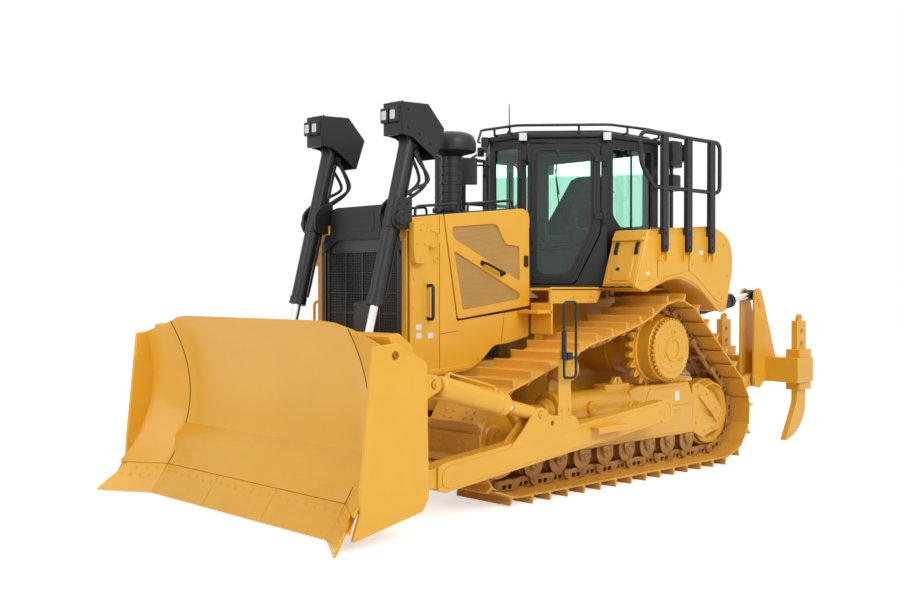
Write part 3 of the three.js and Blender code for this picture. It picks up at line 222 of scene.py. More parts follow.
def inset(outline, distance):
    """A closed plane outline moved inwards, each corner along its mitre."""
    outline = np.asarray(outline, float)
    area = np.sum(outline[:, 0] * np.roll(outline[:, 1], -1) - np.roll(outline[:, 0], -1) * outline[:, 1])
    after = np.roll(outline, -1, 0) - outline
    after /= np.maximum(np.linalg.norm(after, axis=1, keepdims=True), 1e-9)
    before = np.roll(after, 1, 0)
    middle = before + after
    middle /= np.maximum(np.linalg.norm(middle, axis=1, keepdims=True), 1e-9)
    stretch = np.maximum(0.4, np.einsum("ij,ij->i", middle, after))[:, None]
    inwards = np.stack([-middle[:, 1], middle[:, 0]], 1) * np.sign(area)
    return outline + inwards * distance / stretch


AXES = {"x": (1, 2, 0), "y": (0, 2, 1), "z": (0, 1, 2)}  # plane axes and thickness axis


def in_plane(outline, depth, axis):
    """Plane points at one depth along an axis, as points in space."""
    ring = np.empty((len(outline), 3))
    a, b, c = AXES[axis]
    ring[:, a], ring[:, b], ring[:, c] = outline[:, 0], outline[:, 1], depth
    return ring


def plate(outline, low, high, axis="y", bevel=0.003, holes=()):
    """A plate of a plane outline between two depths along an axis, with bevelled edges and holes."""
    loops = [np.asarray(outline, float), *(np.asarray(hole, float) for hole in holes)]
    signs = [1] + [-1] * len(holes)
    walls, cap_low, cap_high = [], [], []
    for loop, sign in zip(loops, signs):
        small = inset(loop, sign * bevel) if bevel else loop
        levels = [(small, low), (loop, low + bevel), (loop, high - bevel), (small, high)]
        if not bevel:
            levels = [(loop, low), (loop, high)]
        rings = np.array([in_plane(points, depth, axis) for points, depth in levels])
        walls.append(rings)
        cap_low.append(rings[0])
        cap_high.append(rings[-1])
    if not holes:
        return skin(walls[0])
    points, faces, start = [], [], 0
    for index, rings in enumerate(walls):
        part_points, part_faces = skin(rings, caps=False)
        area = signed_area(loops[index])
        if (area > 0) != (index == 0):
            part_faces = [face[::-1] for face in part_faces]
        points.append(part_points)
        faces += [[start + i for i in face] for face in part_faces]
        cap_low[index] = np.arange(len(rings[0])) + start
        cap_high[index] = cap_low[index] + (len(rings) - 1) * len(rings[0])
        start += len(part_points)
    flat = [[(*point, 0.0) for point in (inset(loop, sign * bevel) if bevel else loop)]
            for loop, sign in zip(loops, signs)]
    low_ids, high_ids = np.concatenate(cap_low), np.concatenate(cap_high)
    whole = np.concatenate(points)
    for triangle in tessellate_polygon(flat):
        corners = np.array([(flat_point(flat, i)) for i in triangle])
        way = 1 if signed_area(corners) > 0 else -1
        faces.append([int(i) for i in low_ids[list(triangle)][::way]])
        faces.append([int(i) for i in high_ids[list(triangle)][::-way]])
    return outward((whole, faces))


def signed_area(loop):
    """Twice the area inside a plane outline, positive when it runs counter-clockwise."""
    loop = np.asarray(loop)
    return np.sum(loop[:, 0] * np.roll(loop[:, 1], -1) - np.roll(loop[:, 0], -1) * loop[:, 1])


def flat_point(loops, index):
    """The point with this number in a list of loops that are counted through."""
    for loop in loops:
        if index < len(loop):
            return loop[index][:2]
        index -= len(loop)
    return loops[-1][-1][:2]


def block(low, high, bevel=0.004, corner=0.006):
    """A box with rounded upright edges and bevelled top and bottom."""
    (x0, y0, z0), (x1, y1, z1) = low, high
    corners = [(x0, y0), (x1, y0), (x1, y1), (x0, y1)]
    return plate(rounded(corners, corner, 3) if corner else corners, z0, z1, "z", bevel)


def tube(path, radius, sides=12, closed=False):
    """A round bar along a path: circles square to it, each turned as little as possible from the last."""
    path = np.asarray(path, float)
    ahead = np.roll(path, -1, 0) - path
    behind = path - np.roll(path, 1, 0)
    if not closed:
        ahead[-1], behind[0] = behind[-1], ahead[0]
    tangent = ahead / np.linalg.norm(ahead, axis=1)[:, None] + behind / np.linalg.norm(behind, axis=1)[:,
        None]
    tangent /= np.linalg.norm(tangent, axis=1)[:, None]
    side = perpendiculars(tangent[0])[0]
    angle = np.linspace(0, 2 * np.pi, sides, endpoint=False)[:, None]
    radii = np.broadcast_to(radius, len(path))
    rings = []
    for centre, along, size in zip(path, tangent, radii):
        side = side - along * (side @ along)
        side /= np.linalg.norm(side)
        rings.append(centre + size * (np.cos(angle) * side + np.sin(angle) * np.cross(along, side)))
    if not closed:
        return skin(rings)
    return outward(skin([*rings, rings[0]], caps=False))


def round_bar(start, end, radius, sides=24, bevel=0.003):
    """A straight round bar with bevelled ends."""
    start, end = np.asarray(start, float), np.asarray(end, float)
    length = np.linalg.norm(end - start)
    profile = [(radius - bevel, 0), (radius, bevel), (radius, length - bevel), (radius - bevel, length)]
    return turned(profile, start, end - start, sides)


def bolt_head(radius, height):
    """A washer and a hexagon head, standing up along the third axis."""
    washer = turned([(radius * 1.35, 0), (radius * 1.35, height * 0.2)], (0, 0, 0), (0, 0, 1), 12)
    head = turned([(radius, height * 0.2), (radius, height * 0.85), (radius * 0.82, height)], (0, 0, 0),
                  (0, 0, 1), 6)
    return joined(washer, head)


def bolts(places, normal, radius=0.011, height=0.01):
    """The same bolt at every place, pointing along one normal."""
    places = np.asarray(places, float)
    normal = np.asarray(normal, float) / np.linalg.norm(normal)
    first, second = perpendiculars(normal)
    return copies(bolt_head(radius, height), places, np.tile([first, second, normal], (len(places), 1, 1)))


def circle_places(centre, radius, count, axis="y", start=0.0):
    """Places at equal steps round a circle in the plane square to an axis."""
    angle = start + np.arange(count) * 2 * np.pi / count
    a, b, _ = AXES[axis]
    places = np.tile(np.asarray(centre, float), (count, 1))
    places[:, a] += radius * np.cos(angle)
    places[:, b] += radius * np.sin(angle)
    return places


def side_point(at, y):
    """A point given in side view as x and z, at a distance y from the middle plane."""
    return np.array([at[0], y, at[1]])


# ---------------------------------------------------------------- finishes


def node_group(name, sockets_in, sockets_out):
    """An empty shader group with float or colour sockets, and its input and output nodes."""
    group = bpy.data.node_groups.new(name, "ShaderNodeTree")
    for socket, kind, value in sockets_in:
        made = group.interface.new_socket(socket, in_out="INPUT", socket_type=f"NodeSocket{kind}")
        made.default_value = value
    for socket, kind in sockets_out:
        group.interface.new_socket(socket, in_out="OUTPUT", socket_type=f"NodeSocket{kind}")
    return group, group.nodes.new("NodeGroupInput"), group.nodes.new("NodeGroupOutput")


def noise(tree, vector, scale, detail=3.0, roughness=0.55):
    """Soft noise over a vector: its strength is a sum of octaves, each one twice as fine."""
    node = tree.nodes.new("ShaderNodeTexNoise")
    node.inputs["Scale"].default_value = scale
    node.inputs["Detail"].default_value = detail
    node.inputs["Roughness"].default_value = roughness
    tree.links.new(vector, node.inputs["Vector"])
    return node.outputs["Fac"]


def stretched(tree, value, low, high, to_low=0.0, to_high=1.0):
    """The value mapped from one range to another, and held inside it."""
    node = tree.nodes.new("ShaderNodeMapRange")
    for socket, number in zip(("From Min", "From Max", "To Min", "To Max"), (low, high, to_low, to_high)):
        node.inputs[socket].default_value = number
    tree.links.new(value, node.inputs["Value"])
    return node.outputs["Result"]


def mixed(tree, share, first, second):
    """A colour between two: each may be a colour or a socket."""
    node = tree.nodes.new("ShaderNodeMix")
    node.data_type = "RGBA"
    tree.links.new(share, node.inputs[0])
    for socket, value in ((node.inputs[6], first), (node.inputs[7], second)):
        if isinstance(value, tuple):
            socket.default_value = (*value, 1.0)
        else:
            tree.links.new(value, socket)
    return node.outputs[2]


def calculated(tree, operation, first, second=None):
    """One sum on two values or sockets, held between nought and one."""
    node = tree.nodes.new("ShaderNodeMath")
    node.operation = operation
    node.use_clamp = True
    for socket, value in zip(node.inputs, (first, second)):
        if value is None:
            continue
        if isinstance(value, (int, float)):
            socket.default_value = value
        else:
            tree.links.new(value, socket)
    return node.outputs["Value"]


def sprayed_skin_group():
    """Sprayed paint: slow tone drift, settled dust near the ground, and orange-peel height."""
    group, _, out = node_group("sprayed_skin", [],
                               [("Tone", "Float"), ("Dust", "Float"), ("Fine", "Float"), ("Height", "Float")])
    place = group.nodes.new("ShaderNodeTexCoord").outputs["Object"]
    tone = stretched(group, noise(group, place, 1.7, 4.0), 0.36, 0.66)
    split = group.nodes.new("ShaderNodeSeparateXYZ")
    group.links.new(place, split.inputs[0])
    low_down = stretched(group, split.outputs["Z"], 1.15, 0.05)
    patches = stretched(group, noise(group, place, 6.0, 6.0, 0.68), 0.4, 0.72)
    dust = calculated(group, "MULTIPLY", low_down, patches)
    peel = noise(group, place, 420.0, 2.0)
    group.links.new(tone, out.inputs["Tone"])
    group.links.new(dust, out.inputs["Dust"])
    group.links.new(noise(group, place, 60.0, 4.0), out.inputs["Fine"])
    group.links.new(peel, out.inputs["Height"])
    return group


def cast_grain_group():
    """Cast or forged steel: coarse grain height, and a blotchy mask."""
    group, _, out = node_group("cast_grain", [], [("Blotch", "Float"), ("Height", "Float")])
    place = group.nodes.new("ShaderNodeTexCoord").outputs["Object"]
    group.links.new(stretched(group, noise(group, place, 14.0, 7.0, 0.7), 0.35, 0.68), out.inputs["Blotch"])
    group.links.new(noise(group, place, 230.0, 4.0, 0.65), out.inputs["Height"])
    return group


SPRAYED_SKIN = sprayed_skin_group()
CAST_GRAIN = cast_grain_group()


def new_finish(name):
    """A node material, its tree and its Principled shader."""
    material = bpy.data.materials.new(name)
    material.use_nodes = True
    return material, material.node_tree, material.node_tree.nodes["Principled BSDF"]


def use_group(tree, group):
    """A shader group placed in a material."""
    node = tree.nodes.new("ShaderNodeGroup")
    node.node_tree = group
    return node


def bumped(tree, shader, height, strength, distance):
    """A height field that tilts the shader's normal by its slope times the strength."""
    node = tree.nodes.new("ShaderNodeBump")
    node.inputs["Strength"].default_value = strength
    node.inputs["Distance"].default_value = distance
    tree.links.new(height, node.inputs["Height"])
    tree.links.new(node.outputs["Normal"], shader.inputs["Normal"])


def sprayed_paint(name, colour, deep, dust_colour, dust_share, rough, coat, peel, level=0.5):
    """Glossy or satin paint: the colour drifts slowly, dust dulls it low down, and the skin is uneven."""
    material, tree, shader = new_finish(name)
    skin_node = use_group(tree, SPRAYED_SKIN)
    drift = mixed(tree, skin_node.outputs["Tone"], colour, deep)
    dusty = calculated(tree, "MULTIPLY", skin_node.outputs["Dust"], dust_share)
    tree.links.new(mixed(tree, dusty, drift, dust_colour), shader.inputs["Base Color"])
    spread = stretched(tree, skin_node.outputs["Fine"], 0.3, 0.7, rough * 0.86, rough * 1.16)
    tree.links.new(calculated(tree, "ADD", spread, calculated(tree, "MULTIPLY", dusty, 0.35)),
                   shader.inputs["Roughness"])
    shader.inputs["Coat Weight"].default_value = coat
    shader.inputs["Specular IOR Level"].default_value = level
    shader.inputs["Coat Roughness"].default_value = 0.12
    bumped(tree, shader, skin_node.outputs["Height"], peel, 0.0006)
    return material


def cast_metal(name, colour, dark, rough, metallic, depth):
    """Rough cast or forged steel, blotched with worn paint or rust."""
    material, tree, shader = new_finish(name)
    grain = use_group(tree, CAST_GRAIN)
    tree.links.new(mixed(tree, grain.outputs["Blotch"], colour, dark), shader.inputs["Base Color"])
    tree.links.new(stretched(tree, grain.outputs["Blotch"], 0, 1, rough * 0.8, min(1.0, rough * 1.2)),
                   shader.inputs["Roughness"])
    shader.inputs["Metallic"].default_value = metallic
    bumped(tree, shader, grain.outputs["Height"], 0.35, depth)
    return material


def polished_rod():
    """Hard chrome, with faint turning marks round the rod."""
    material, tree, shader = new_finish("polished_rod")
    place = tree.nodes.new("ShaderNodeTexCoord").outputs["Object"]
    shader.inputs["Base Color"].default_value = (0.78, 0.79, 0.8, 1)
    shader.inputs["Metallic"].default_value = 1.0
    marks = noise(tree, place, 90.0, 3.0)
    tree.links.new(stretched(tree, marks, 0.3, 0.7, 0.1, 0.24), shader.inputs["Roughness"])
    bumped(tree, shader, marks, 0.06, 0.0004)
    return material


def tinted_glass():
    """Green cab glass: clear, with a little uneven gloss from wiping."""
    material, tree, shader = new_finish("green_cab_glass")
    shader.inputs["Base Color"].default_value = (0.62, 0.93, 0.79, 1)
    shader.inputs["Transmission Weight"].default_value = 1.0
    shader.inputs["IOR"].default_value = 1.45
    place = tree.nodes.new("ShaderNodeTexCoord").outputs["Object"]
    tree.links.new(stretched(tree, noise(tree, place, 5.0, 4.0), 0.3, 0.7, 0.0, 0.03),
                   shader.inputs["Roughness"])
    return material


def lamp_lens():
    """A work lamp's pale ribbed lens."""
    material, tree, shader = new_finish("lamp_lens")
    place = tree.nodes.new("ShaderNodeTexCoord").outputs["Object"]
    ribs = tree.nodes.new("ShaderNodeTexWave")
    ribs.inputs["Scale"].default_value = 26.0
    tree.links.new(place, ribs.inputs["Vector"])
    tree.links.new(mixed(tree, ribs.outputs["Fac"], (0.62, 0.64, 0.66), (0.88, 0.89, 0.9)),
                   shader.inputs["Base Color"])
    shader.inputs["Coat Weight"].default_value = 1.0
    shader.inputs["Roughness"].default_value = 0.18
    bumped(tree, shader, ribs.outputs["Fac"], 0.4, 0.002)
    return material


def hole_screen():
    """A painted steel screen: rows of small round holes, coloured dark brown as painted shade of the bay
    behind them.
    """
    material, tree, shader = new_finish("perforated_screen")
    place = tree.nodes.new("ShaderNodeTexCoord").outputs["Object"]
    holes = tree.nodes.new("ShaderNodeTexVoronoi")
    holes.inputs["Scale"].default_value = 95.0
    holes.inputs["Randomness"].default_value = 0.0
    tree.links.new(place, holes.inputs["Vector"])
    hole_shade_share = stretched(tree, holes.outputs["Distance"], 0.36, 0.3)
    skin_node = use_group(tree, SPRAYED_SKIN)
    sheet = mixed(tree, skin_node.outputs["Tone"], (0.58, 0.33, 0.085), (0.52, 0.29, 0.07))
    # Painted shade: the holes get a dark brown, as the shaded bay seen through them would look.
    tree.links.new(mixed(tree, calculated(tree, "MULTIPLY", hole_shade_share, 0.85), sheet, (0.1, 0.055, 0.018)),
                   shader.inputs["Base Color"])
    shader.inputs["Roughness"].default_value = 0.5
    bumped(tree, shader, calculated(tree, "SUBTRACT", 1.0, hole_shade_share), 0.5, 0.002)
    return material


def woven_seat():
    """Dark seat cloth: crossed threads over a slow change of tone."""
    material, tree, shader = new_finish("woven_seat")
    place = tree.nodes.new("ShaderNodeTexCoord").outputs["Object"]
    threads = tree.nodes.new("ShaderNodeTexWave")
    threads.inputs["Scale"].default_value = 210.0
    threads.inputs["Distortion"].default_value = 2.0
    tree.links.new(place, threads.inputs["Vector"])
    tree.links.new(mixed(tree, threads.outputs["Fac"], (0.014, 0.015, 0.017), (0.05, 0.052, 0.056)),
                   shader.inputs["Base Color"])
    shader.inputs["Roughness"].default_value = 0.9
    shader.inputs["Sheen Weight"].default_value = 0.3
    bumped(tree, shader, threads.outputs["Fac"], 0.5, 0.001)
    return material


YELLOW = sprayed_paint("machine_yellow_paint", (0.8, 0.418, 0.03), (0.765, 0.392, 0.026),
                       (0.6, 0.3, 0.04), 0.2, 0.34, 0.22, 0.06, 0.38)
BLACK = sprayed_paint("satin_black_paint", (0.0055, 0.0055, 0.0058), (0.0085, 0.0085, 0.0088),
                      (0.03, 0.025, 0.02), 0.3, 0.46, 0.04, 0.15, 0.42)
MESH = sprayed_paint("grille_dark_grey", (0.03, 0.029, 0.027), (0.022, 0.021, 0.02),
                     (0.04, 0.035, 0.03), 0.2, 0.4, 0.1, 0.1, 0.5)
CHAIN = cast_metal("track_chain_steel", (0.52, 0.26, 0.055), (0.3, 0.15, 0.04), 0.5, 0.1, 0.0012)
SHOE = sprayed_paint("track_shoe_paint", (0.78, 0.4, 0.052), (0.7, 0.355, 0.048),
                     (0.48, 0.25, 0.05), 0.45, 0.46, 0.06, 0.25, 0.38)
STEEL = cast_metal("bare_steel", (0.5, 0.49, 0.47), (0.34, 0.33, 0.31), 0.38, 0.9, 0.0005)
ENGINE = cast_metal("engine_casting", (0.05, 0.048, 0.045), (0.025, 0.025, 0.024), 0.65, 0.4, 0.0015)
RUBBER = cast_metal("black_rubber", (0.012, 0.012, 0.013), (0.022, 0.022, 0.023), 0.62, 0.0, 0.0006)
# Painted shade: a dark colour for strips laid along panel gaps and the blade's wing folds.
SEAM_SHADE = cast_metal("shadowed_gap", (0.09, 0.045, 0.012), (0.06, 0.03, 0.01), 0.8, 0.0, 0.0004)
WHITE = sprayed_paint("blank_plate_white", (0.8, 0.8, 0.77), (0.74, 0.74, 0.72),
                      (0.5, 0.45, 0.38), 0.2, 0.4, 0.2, 0.05)
CAP = sprayed_paint("blue_plastic_cap", (0.03, 0.12, 0.42), (0.025, 0.1, 0.36),
                    (0.1, 0.12, 0.2), 0.1, 0.4, 0.1, 0.05)
CHROME = polished_rod()
GLASS = tinted_glass()
LENS = lamp_lens()
SCREEN = hole_screen()
CLOTH = woven_seat()

# ---------------------------------------------------------------- pieces

SHARP = math.radians(32)


def piece(name, shape, finish, body="root", replaces=()):
    """A shape as a piece that rides on a body, smooth but for its sharp edges."""
    points, faces = shape
    mesh = bpy.data.meshes.new(name)
    mesh.from_pydata(points + [SHIFT, 0, 0], [], faces)
    mesh.polygons.foreach_set("use_smooth", np.ones(len(mesh.polygons), bool))
    mesh.set_sharp_from_angle(angle=SHARP)
    mesh.materials.append(finish)
    made = bpy.data.objects.new(name, mesh)
    bpy.context.scene.collection.objects.link(made)
    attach(made, body)
    if replaces:
        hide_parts(*replaces)
    return made


def pair(name, shape, finish, body="root", replaces=()):
    """A piece on the left and its mirror image on the right."""
    for side, sign in SIDES:
        its_body = body if body in frame["bodies"] else f"{body}_{side}"
        piece(f"{name}_{side}", shape if sign > 0 else mirrored(shape), finish, its_body,
              [f"{node}_{side}" for node in replaces])

# ---------------------------------------------------------------- tracks


def arc_points(centre, radius, start, end, step=0.01):
    """Points round a circle from one angle to another, in degrees, about a step apart."""
    count = max(3, int(abs(math.radians(end - start)) * radius / step))
    angle = np.radians(np.linspace(start, end, count, endpoint=False))
    return np.asarray(centre) + radius * np.stack([np.cos(angle), np.sin(angle)], 1)


def sagging(start, start_degrees, end, end_degrees, steps=120):
    """A hanging run: a parabola that leaves and arrives along the given directions."""
    (c, s), (e, f) = [(math.cos(math.radians(d)), math.sin(math.radians(d))) for d in (start_degrees,
        end_degrees)]
    span = ((end[0] - start[0]) * f - (end[1] - start[1]) * e) / (c * f - s * e)
    control = start + span * np.array([c, s])
    t = np.linspace(0, 1, steps, endpoint=False)[:, None]
    return (1 - t) ** 2 * start + 2 * t * (1 - t) * control + t * t * end


def track_pins():
    """Pin places at equal steps along the track's line, with each pin's run to the next."""
    spread = SPROCKET - REAR_IDLER
    taper = math.asin((SPROCKET_PIN_RADIUS - IDLER_PIN_RADIUS) / np.linalg.norm(spread))
    leave = math.degrees(math.atan2(spread[1], spread[0]) + math.pi / 2 + taper)
    at = lambda centre, radius, degrees: centre + radius * np.array(
        [math.cos(math.radians(degrees)), math.sin(math.radians(degrees))])
    front, top = at(FRONT_IDLER, IDLER_PIN_RADIUS, 74), at(SPROCKET, SPROCKET_PIN_RADIUS, 57)
    down, low = at(SPROCKET, SPROCKET_PIN_RADIUS, leave), at(REAR_IDLER, IDLER_PIN_RADIUS, leave)
    share = np.linspace(0, 1, 300, endpoint=False)[:, None]
    ground = np.array([[REAR_IDLER[0], PIN_TO_GROUND], [FRONT_IDLER[0], PIN_TO_GROUND]])
    line = np.concatenate([
        ground[0] + share * (ground[1] - ground[0]),
        arc_points(FRONT_IDLER, IDLER_PIN_RADIUS, -90, 74),
        sagging(front, 164, CARRIER, 154),
        sagging(CARRIER, 171, top, 147),
        arc_points(SPROCKET, SPROCKET_PIN_RADIUS, 57, leave),
        down + share * (low - down),
        arc_points(REAR_IDLER, IDLER_PIN_RADIUS, leave, 270)])
    closed = np.concatenate([line, line[:1]])
    run = np.concatenate([[0], np.cumsum(np.linalg.norm(np.diff(closed, axis=0), axis=1))])
    count = round(run[-1] / SHOE_PITCH)
    want = run[-1] * np.arange(count) / count
    return np.stack([np.interp(want, run, closed[:, 0]), np.interp(want, run, closed[:, 1])], 1)


PINS = track_pins()
RUNS = np.roll(PINS, -1, 0) - PINS
RUNS /= np.linalg.norm(RUNS, axis=1)[:, None]


def along_track(shape, every=slice(None)):
    """A shape drawn as (along, across, away from the wheels), copied to each pin of the left track."""
    pins, runs = PINS[every], RUNS[every]
    none = np.zeros(len(pins))
    origins = np.stack([pins[:, 0], none + TRACK_Y, pins[:, 1]], 1)
    ahead = np.stack([runs[:, 0], none, runs[:, 1]], 1)
    out = np.stack([runs[:, 1], none, -runs[:, 0]], 1)
    across = np.cross(out, ahead)
    points, faces = copies(shape, origins, np.stack([ahead, across, out], 1))
    return points, faces


def shoe():
    """One shoe: a plate with a tucked front lip, a trailing edge that overlaps it, and one grouser."""
    section = np.array([
        (-0.034, 0.039), (0.004, 0.061), (0.185, 0.064), (0.206, 0.066), (0.228, 0.066), (0.231, 0.074),
        (0.226, 0.08), (0.062, 0.08), (0.05, 0.083), (0.043, 0.092), (0.04, 0.13), (0.038, 0.143),
        (0.035, 0.145), (0.026, 0.145), (0.023, 0.143), (0.02, 0.13), (0.015, 0.09), (0.008, 0.079),
        (-0.006, 0.07), (-0.024, 0.054), (-0.037, 0.046)])
    half = SHOE_HALF_WIDTH
    rings = [in_plane(inset(section, shrink), y, "y")
             for y, shrink in ((-half, 0.003), (-half + 0.004, 0), (half - 0.004, 0), (half, 0.003))]
    heads = [(s, y, 0.079) for s in (0.095, 0.15) for y in (-0.155, -0.072, 0.072, 0.155)]
    return joined(skin(rings), bolts(heads, (0, 0, 1), 0.013, 0.011))


def link_plate(y0, y1, shift):
    """A link's side plate: bosses round both pins, a flat rail edge, and two windows for the shoe bolts."""
    outline = rounded([
        (-0.044, -0.03), (0.06, -0.03), (0.076, -0.034), (0.14, -0.034), (0.156, -0.03), (0.26, -0.03),
        (0.262, 0.012), (0.236, 0.046), (0.19, 0.06), (0.026, 0.06), (-0.02, 0.046), (-0.046, 0.012)],
        0.014, 3)
    windows = [rounded([(s - 0.026, 0.01), (s + 0.026, 0.01), (s + 0.02, 0.046), (s - 0.02, 0.046)], 0.01, 3)
               for s in (0.074, 0.142)]
    boss = round_bar((0, y0 - shift, 0), (0, y1 + shift, 0), 0.034, 16, 0.003)
    return joined(plate(outline, y0, y1, "y", 0.003, windows), boss)


def chain():
    """Both rows of links: neighbours lie side by side where they share a pin."""
    rows = []
    for start, every in ((0.056, slice(0, None, 2)), (0.079, slice(1, None, 2))):
        outer = link_plate(start, start + 0.021, 0.004)
        rows.append(along_track(joined(outer, mirrored(outer)), every))
    bushing = round_bar((0, -0.105, 0), (0, 0.105, 0), 0.027, 16, 0.004)
    end_cap = round_bar((0, -0.108, 0), (0, 0.108, 0), 0.012, 10, 0.003)
    return joined(*rows, along_track(joined(bushing, end_cap)))


def tracks():
    """Both tracks: the shoes, and the chain under them."""
    pair("track_shoes", along_track(shoe()), SHOE, replaces=["track"])
    pair("track_chain", chain(), CHAIN)


# ---------------------------------------------------------------- roller frames and final drives


def wheel(at, profile, sides=48):
    """A wheel across the left track: its profile is (radius, distance from the track's middle)."""
    return turned(profile, side_point(at, TRACK_Y), (0, 1, 0), sides)


def both_ways(half):
    """A half profile, (radius, distance) outwards from the middle, with its reflection in front of it."""
    return [(r, -a) for r, a in reversed(half)] + list(half)


def idlers():
    """Both idlers: a profile of radius against width, turned about the axle, with a ring of bolts."""
    tread = [(0.334, 0.0), (0.334, 0.04), (0.328, 0.048), (0.31, 0.052), (0.31, 0.092), (0.304, 0.098),
             (0.262, 0.098), (0.25, 0.09), (0.232, 0.052), (0.13, 0.044), (0.112, 0.058), (0.104, 0.1),
             (0.096, 0.108), (0.078, 0.11), (0.074, 0.126), (0.04, 0.13)]
    shapes = []
    for at in (FRONT_IDLER, REAR_IDLER):
        shapes.append(wheel(at, both_ways(tread[1:]), 64))
        places = circle_places(side_point(at, TRACK_Y + 0.108), 0.088, 8, "y")
        shapes.append(bolts(places, (0, 1, 0), 0.009, 0.008))
    return joined(*shapes)


def rollers():
    """The track rollers, each a profile turned about its shaft, with a saddle at both ends."""
    half = [(0.126, 0.03), (0.12, 0.04), (0.101, 0.046), (0.1, 0.098), (0.116, 0.104), (0.117, 0.114),
            (0.1, 0.12), (0.06, 0.122), (0.056, 0.132), (0.034, 0.134)]
    shapes = []
    for x in ROLLER_XS:
        at = (x, ROLLER_Z)
        shapes.append(wheel(at, both_ways(half), 32))
        saddle = rounded([(x - 0.075, 0.335), (x - 0.062, 0.262), (x - 0.03, 0.236), (x + 0.03, 0.236),
                          (x + 0.062, 0.262), (x + 0.075, 0.335)], 0.02, 3)
        shapes.append(plate(saddle, TRACK_Y + 0.122, TRACK_Y + 0.15, "y", 0.004))
        shapes.append(plate(saddle, TRACK_Y - 0.15, TRACK_Y - 0.122, "y", 0.004))
        studs = [(x + dx, TRACK_Y + 0.15, 0.288) for dx in (-0.045, 0.045)]
        shapes.append(bolts(studs, (0, 1, 0), 0.011, 0.01))
        shapes.append(round_bar((x, TRACK_Y - 0.16, ROLLER_Z), (x, TRACK_Y + 0.16, ROLLER_Z), 0.026, 16))
    return joined(*shapes)


def carrier_roller():
    """The carrier roller, turned about its shaft, and its stand on the frame."""
    at = (CARRIER[0], CARRIER[1] - 0.152)
    half = [(0.122, 0.04), (0.118, 0.05), (0.1, 0.055), (0.099, 0.094), (0.094, 0.1), (0.058, 0.102),
            (0.052, 0.112), (0.03, 0.114)]
    x, z = at
    stand = rounded([(x - 0.115, 0.6), (x + 0.115, 0.6), (x + 0.058, z - 0.03), (x + 0.045, z + 0.045),
                     (x - 0.045, z + 0.045), (x - 0.058, z - 0.03)], 0.025, 3)
    return joined(
        wheel(at, both_ways(half), 40),
        plate(stand, TRACK_Y - 0.132, TRACK_Y - 0.096, "y", 0.005),
        round_bar((x, TRACK_Y - 0.15, z), (x, TRACK_Y, z), 0.035, 20))


def recoil_tube():
    """The recoil spring's tube on the roller frame, with its flange, lifting lug and oil port."""
    body = [(0.105, 0.3), (0.132, 0.312), (0.14, 0.34), (0.14, 1.42), (0.134, 1.44), (0.134, 1.455),
            (0.152, 1.458), (0.152, 1.498), (0.146, 1.504), (0.104, 1.508), (0.1, 1.545), (0.086, 1.56),
            (0.084, 1.6), (0.062, 1.61), (0.062, 1.9), (0.05, 1.91)]
    flange = circle_places((1.498, TRACK_Y, 0.69), 0.128, 10, "x")
    port = (1.07, TRACK_Y, 0.69)
    lug = plate(rounded([(0.46, 0.86), (0.5, 0.925), (0.57, 0.925), (0.62, 0.86)], 0.02, 3),
                TRACK_Y - 0.022, TRACK_Y + 0.022, "y", 0.004,
                [circle((0.535, 0.893), 0.016)])
    return joined(
        turned(body, (0, TRACK_Y, 0.69), (1, 0, 0), 48),
        bolts(flange, (1, 0, 0), 0.01, 0.012),
        turned([(0.06, 0), (0.06, 0.165), (0.055, 0.172), (0.03, 0.174), (0.026, 0.168), (0.012, 0.168)],
               port, (0, 1, 0), 28),
        block((0.42, TRACK_Y - 0.075, 0.8), (0.78, TRACK_Y + 0.075, 0.868), 0.008, 0.02),
        lug)


def circle(centre, radius, count=20):
    """Outline points: centre + radius * (cos t, sin t), for t once round."""
    angle = np.linspace(0, 2 * np.pi, count, endpoint=False)
    return np.asarray(centre) + radius * np.stack([np.cos(angle), np.sin(angle)], 1)


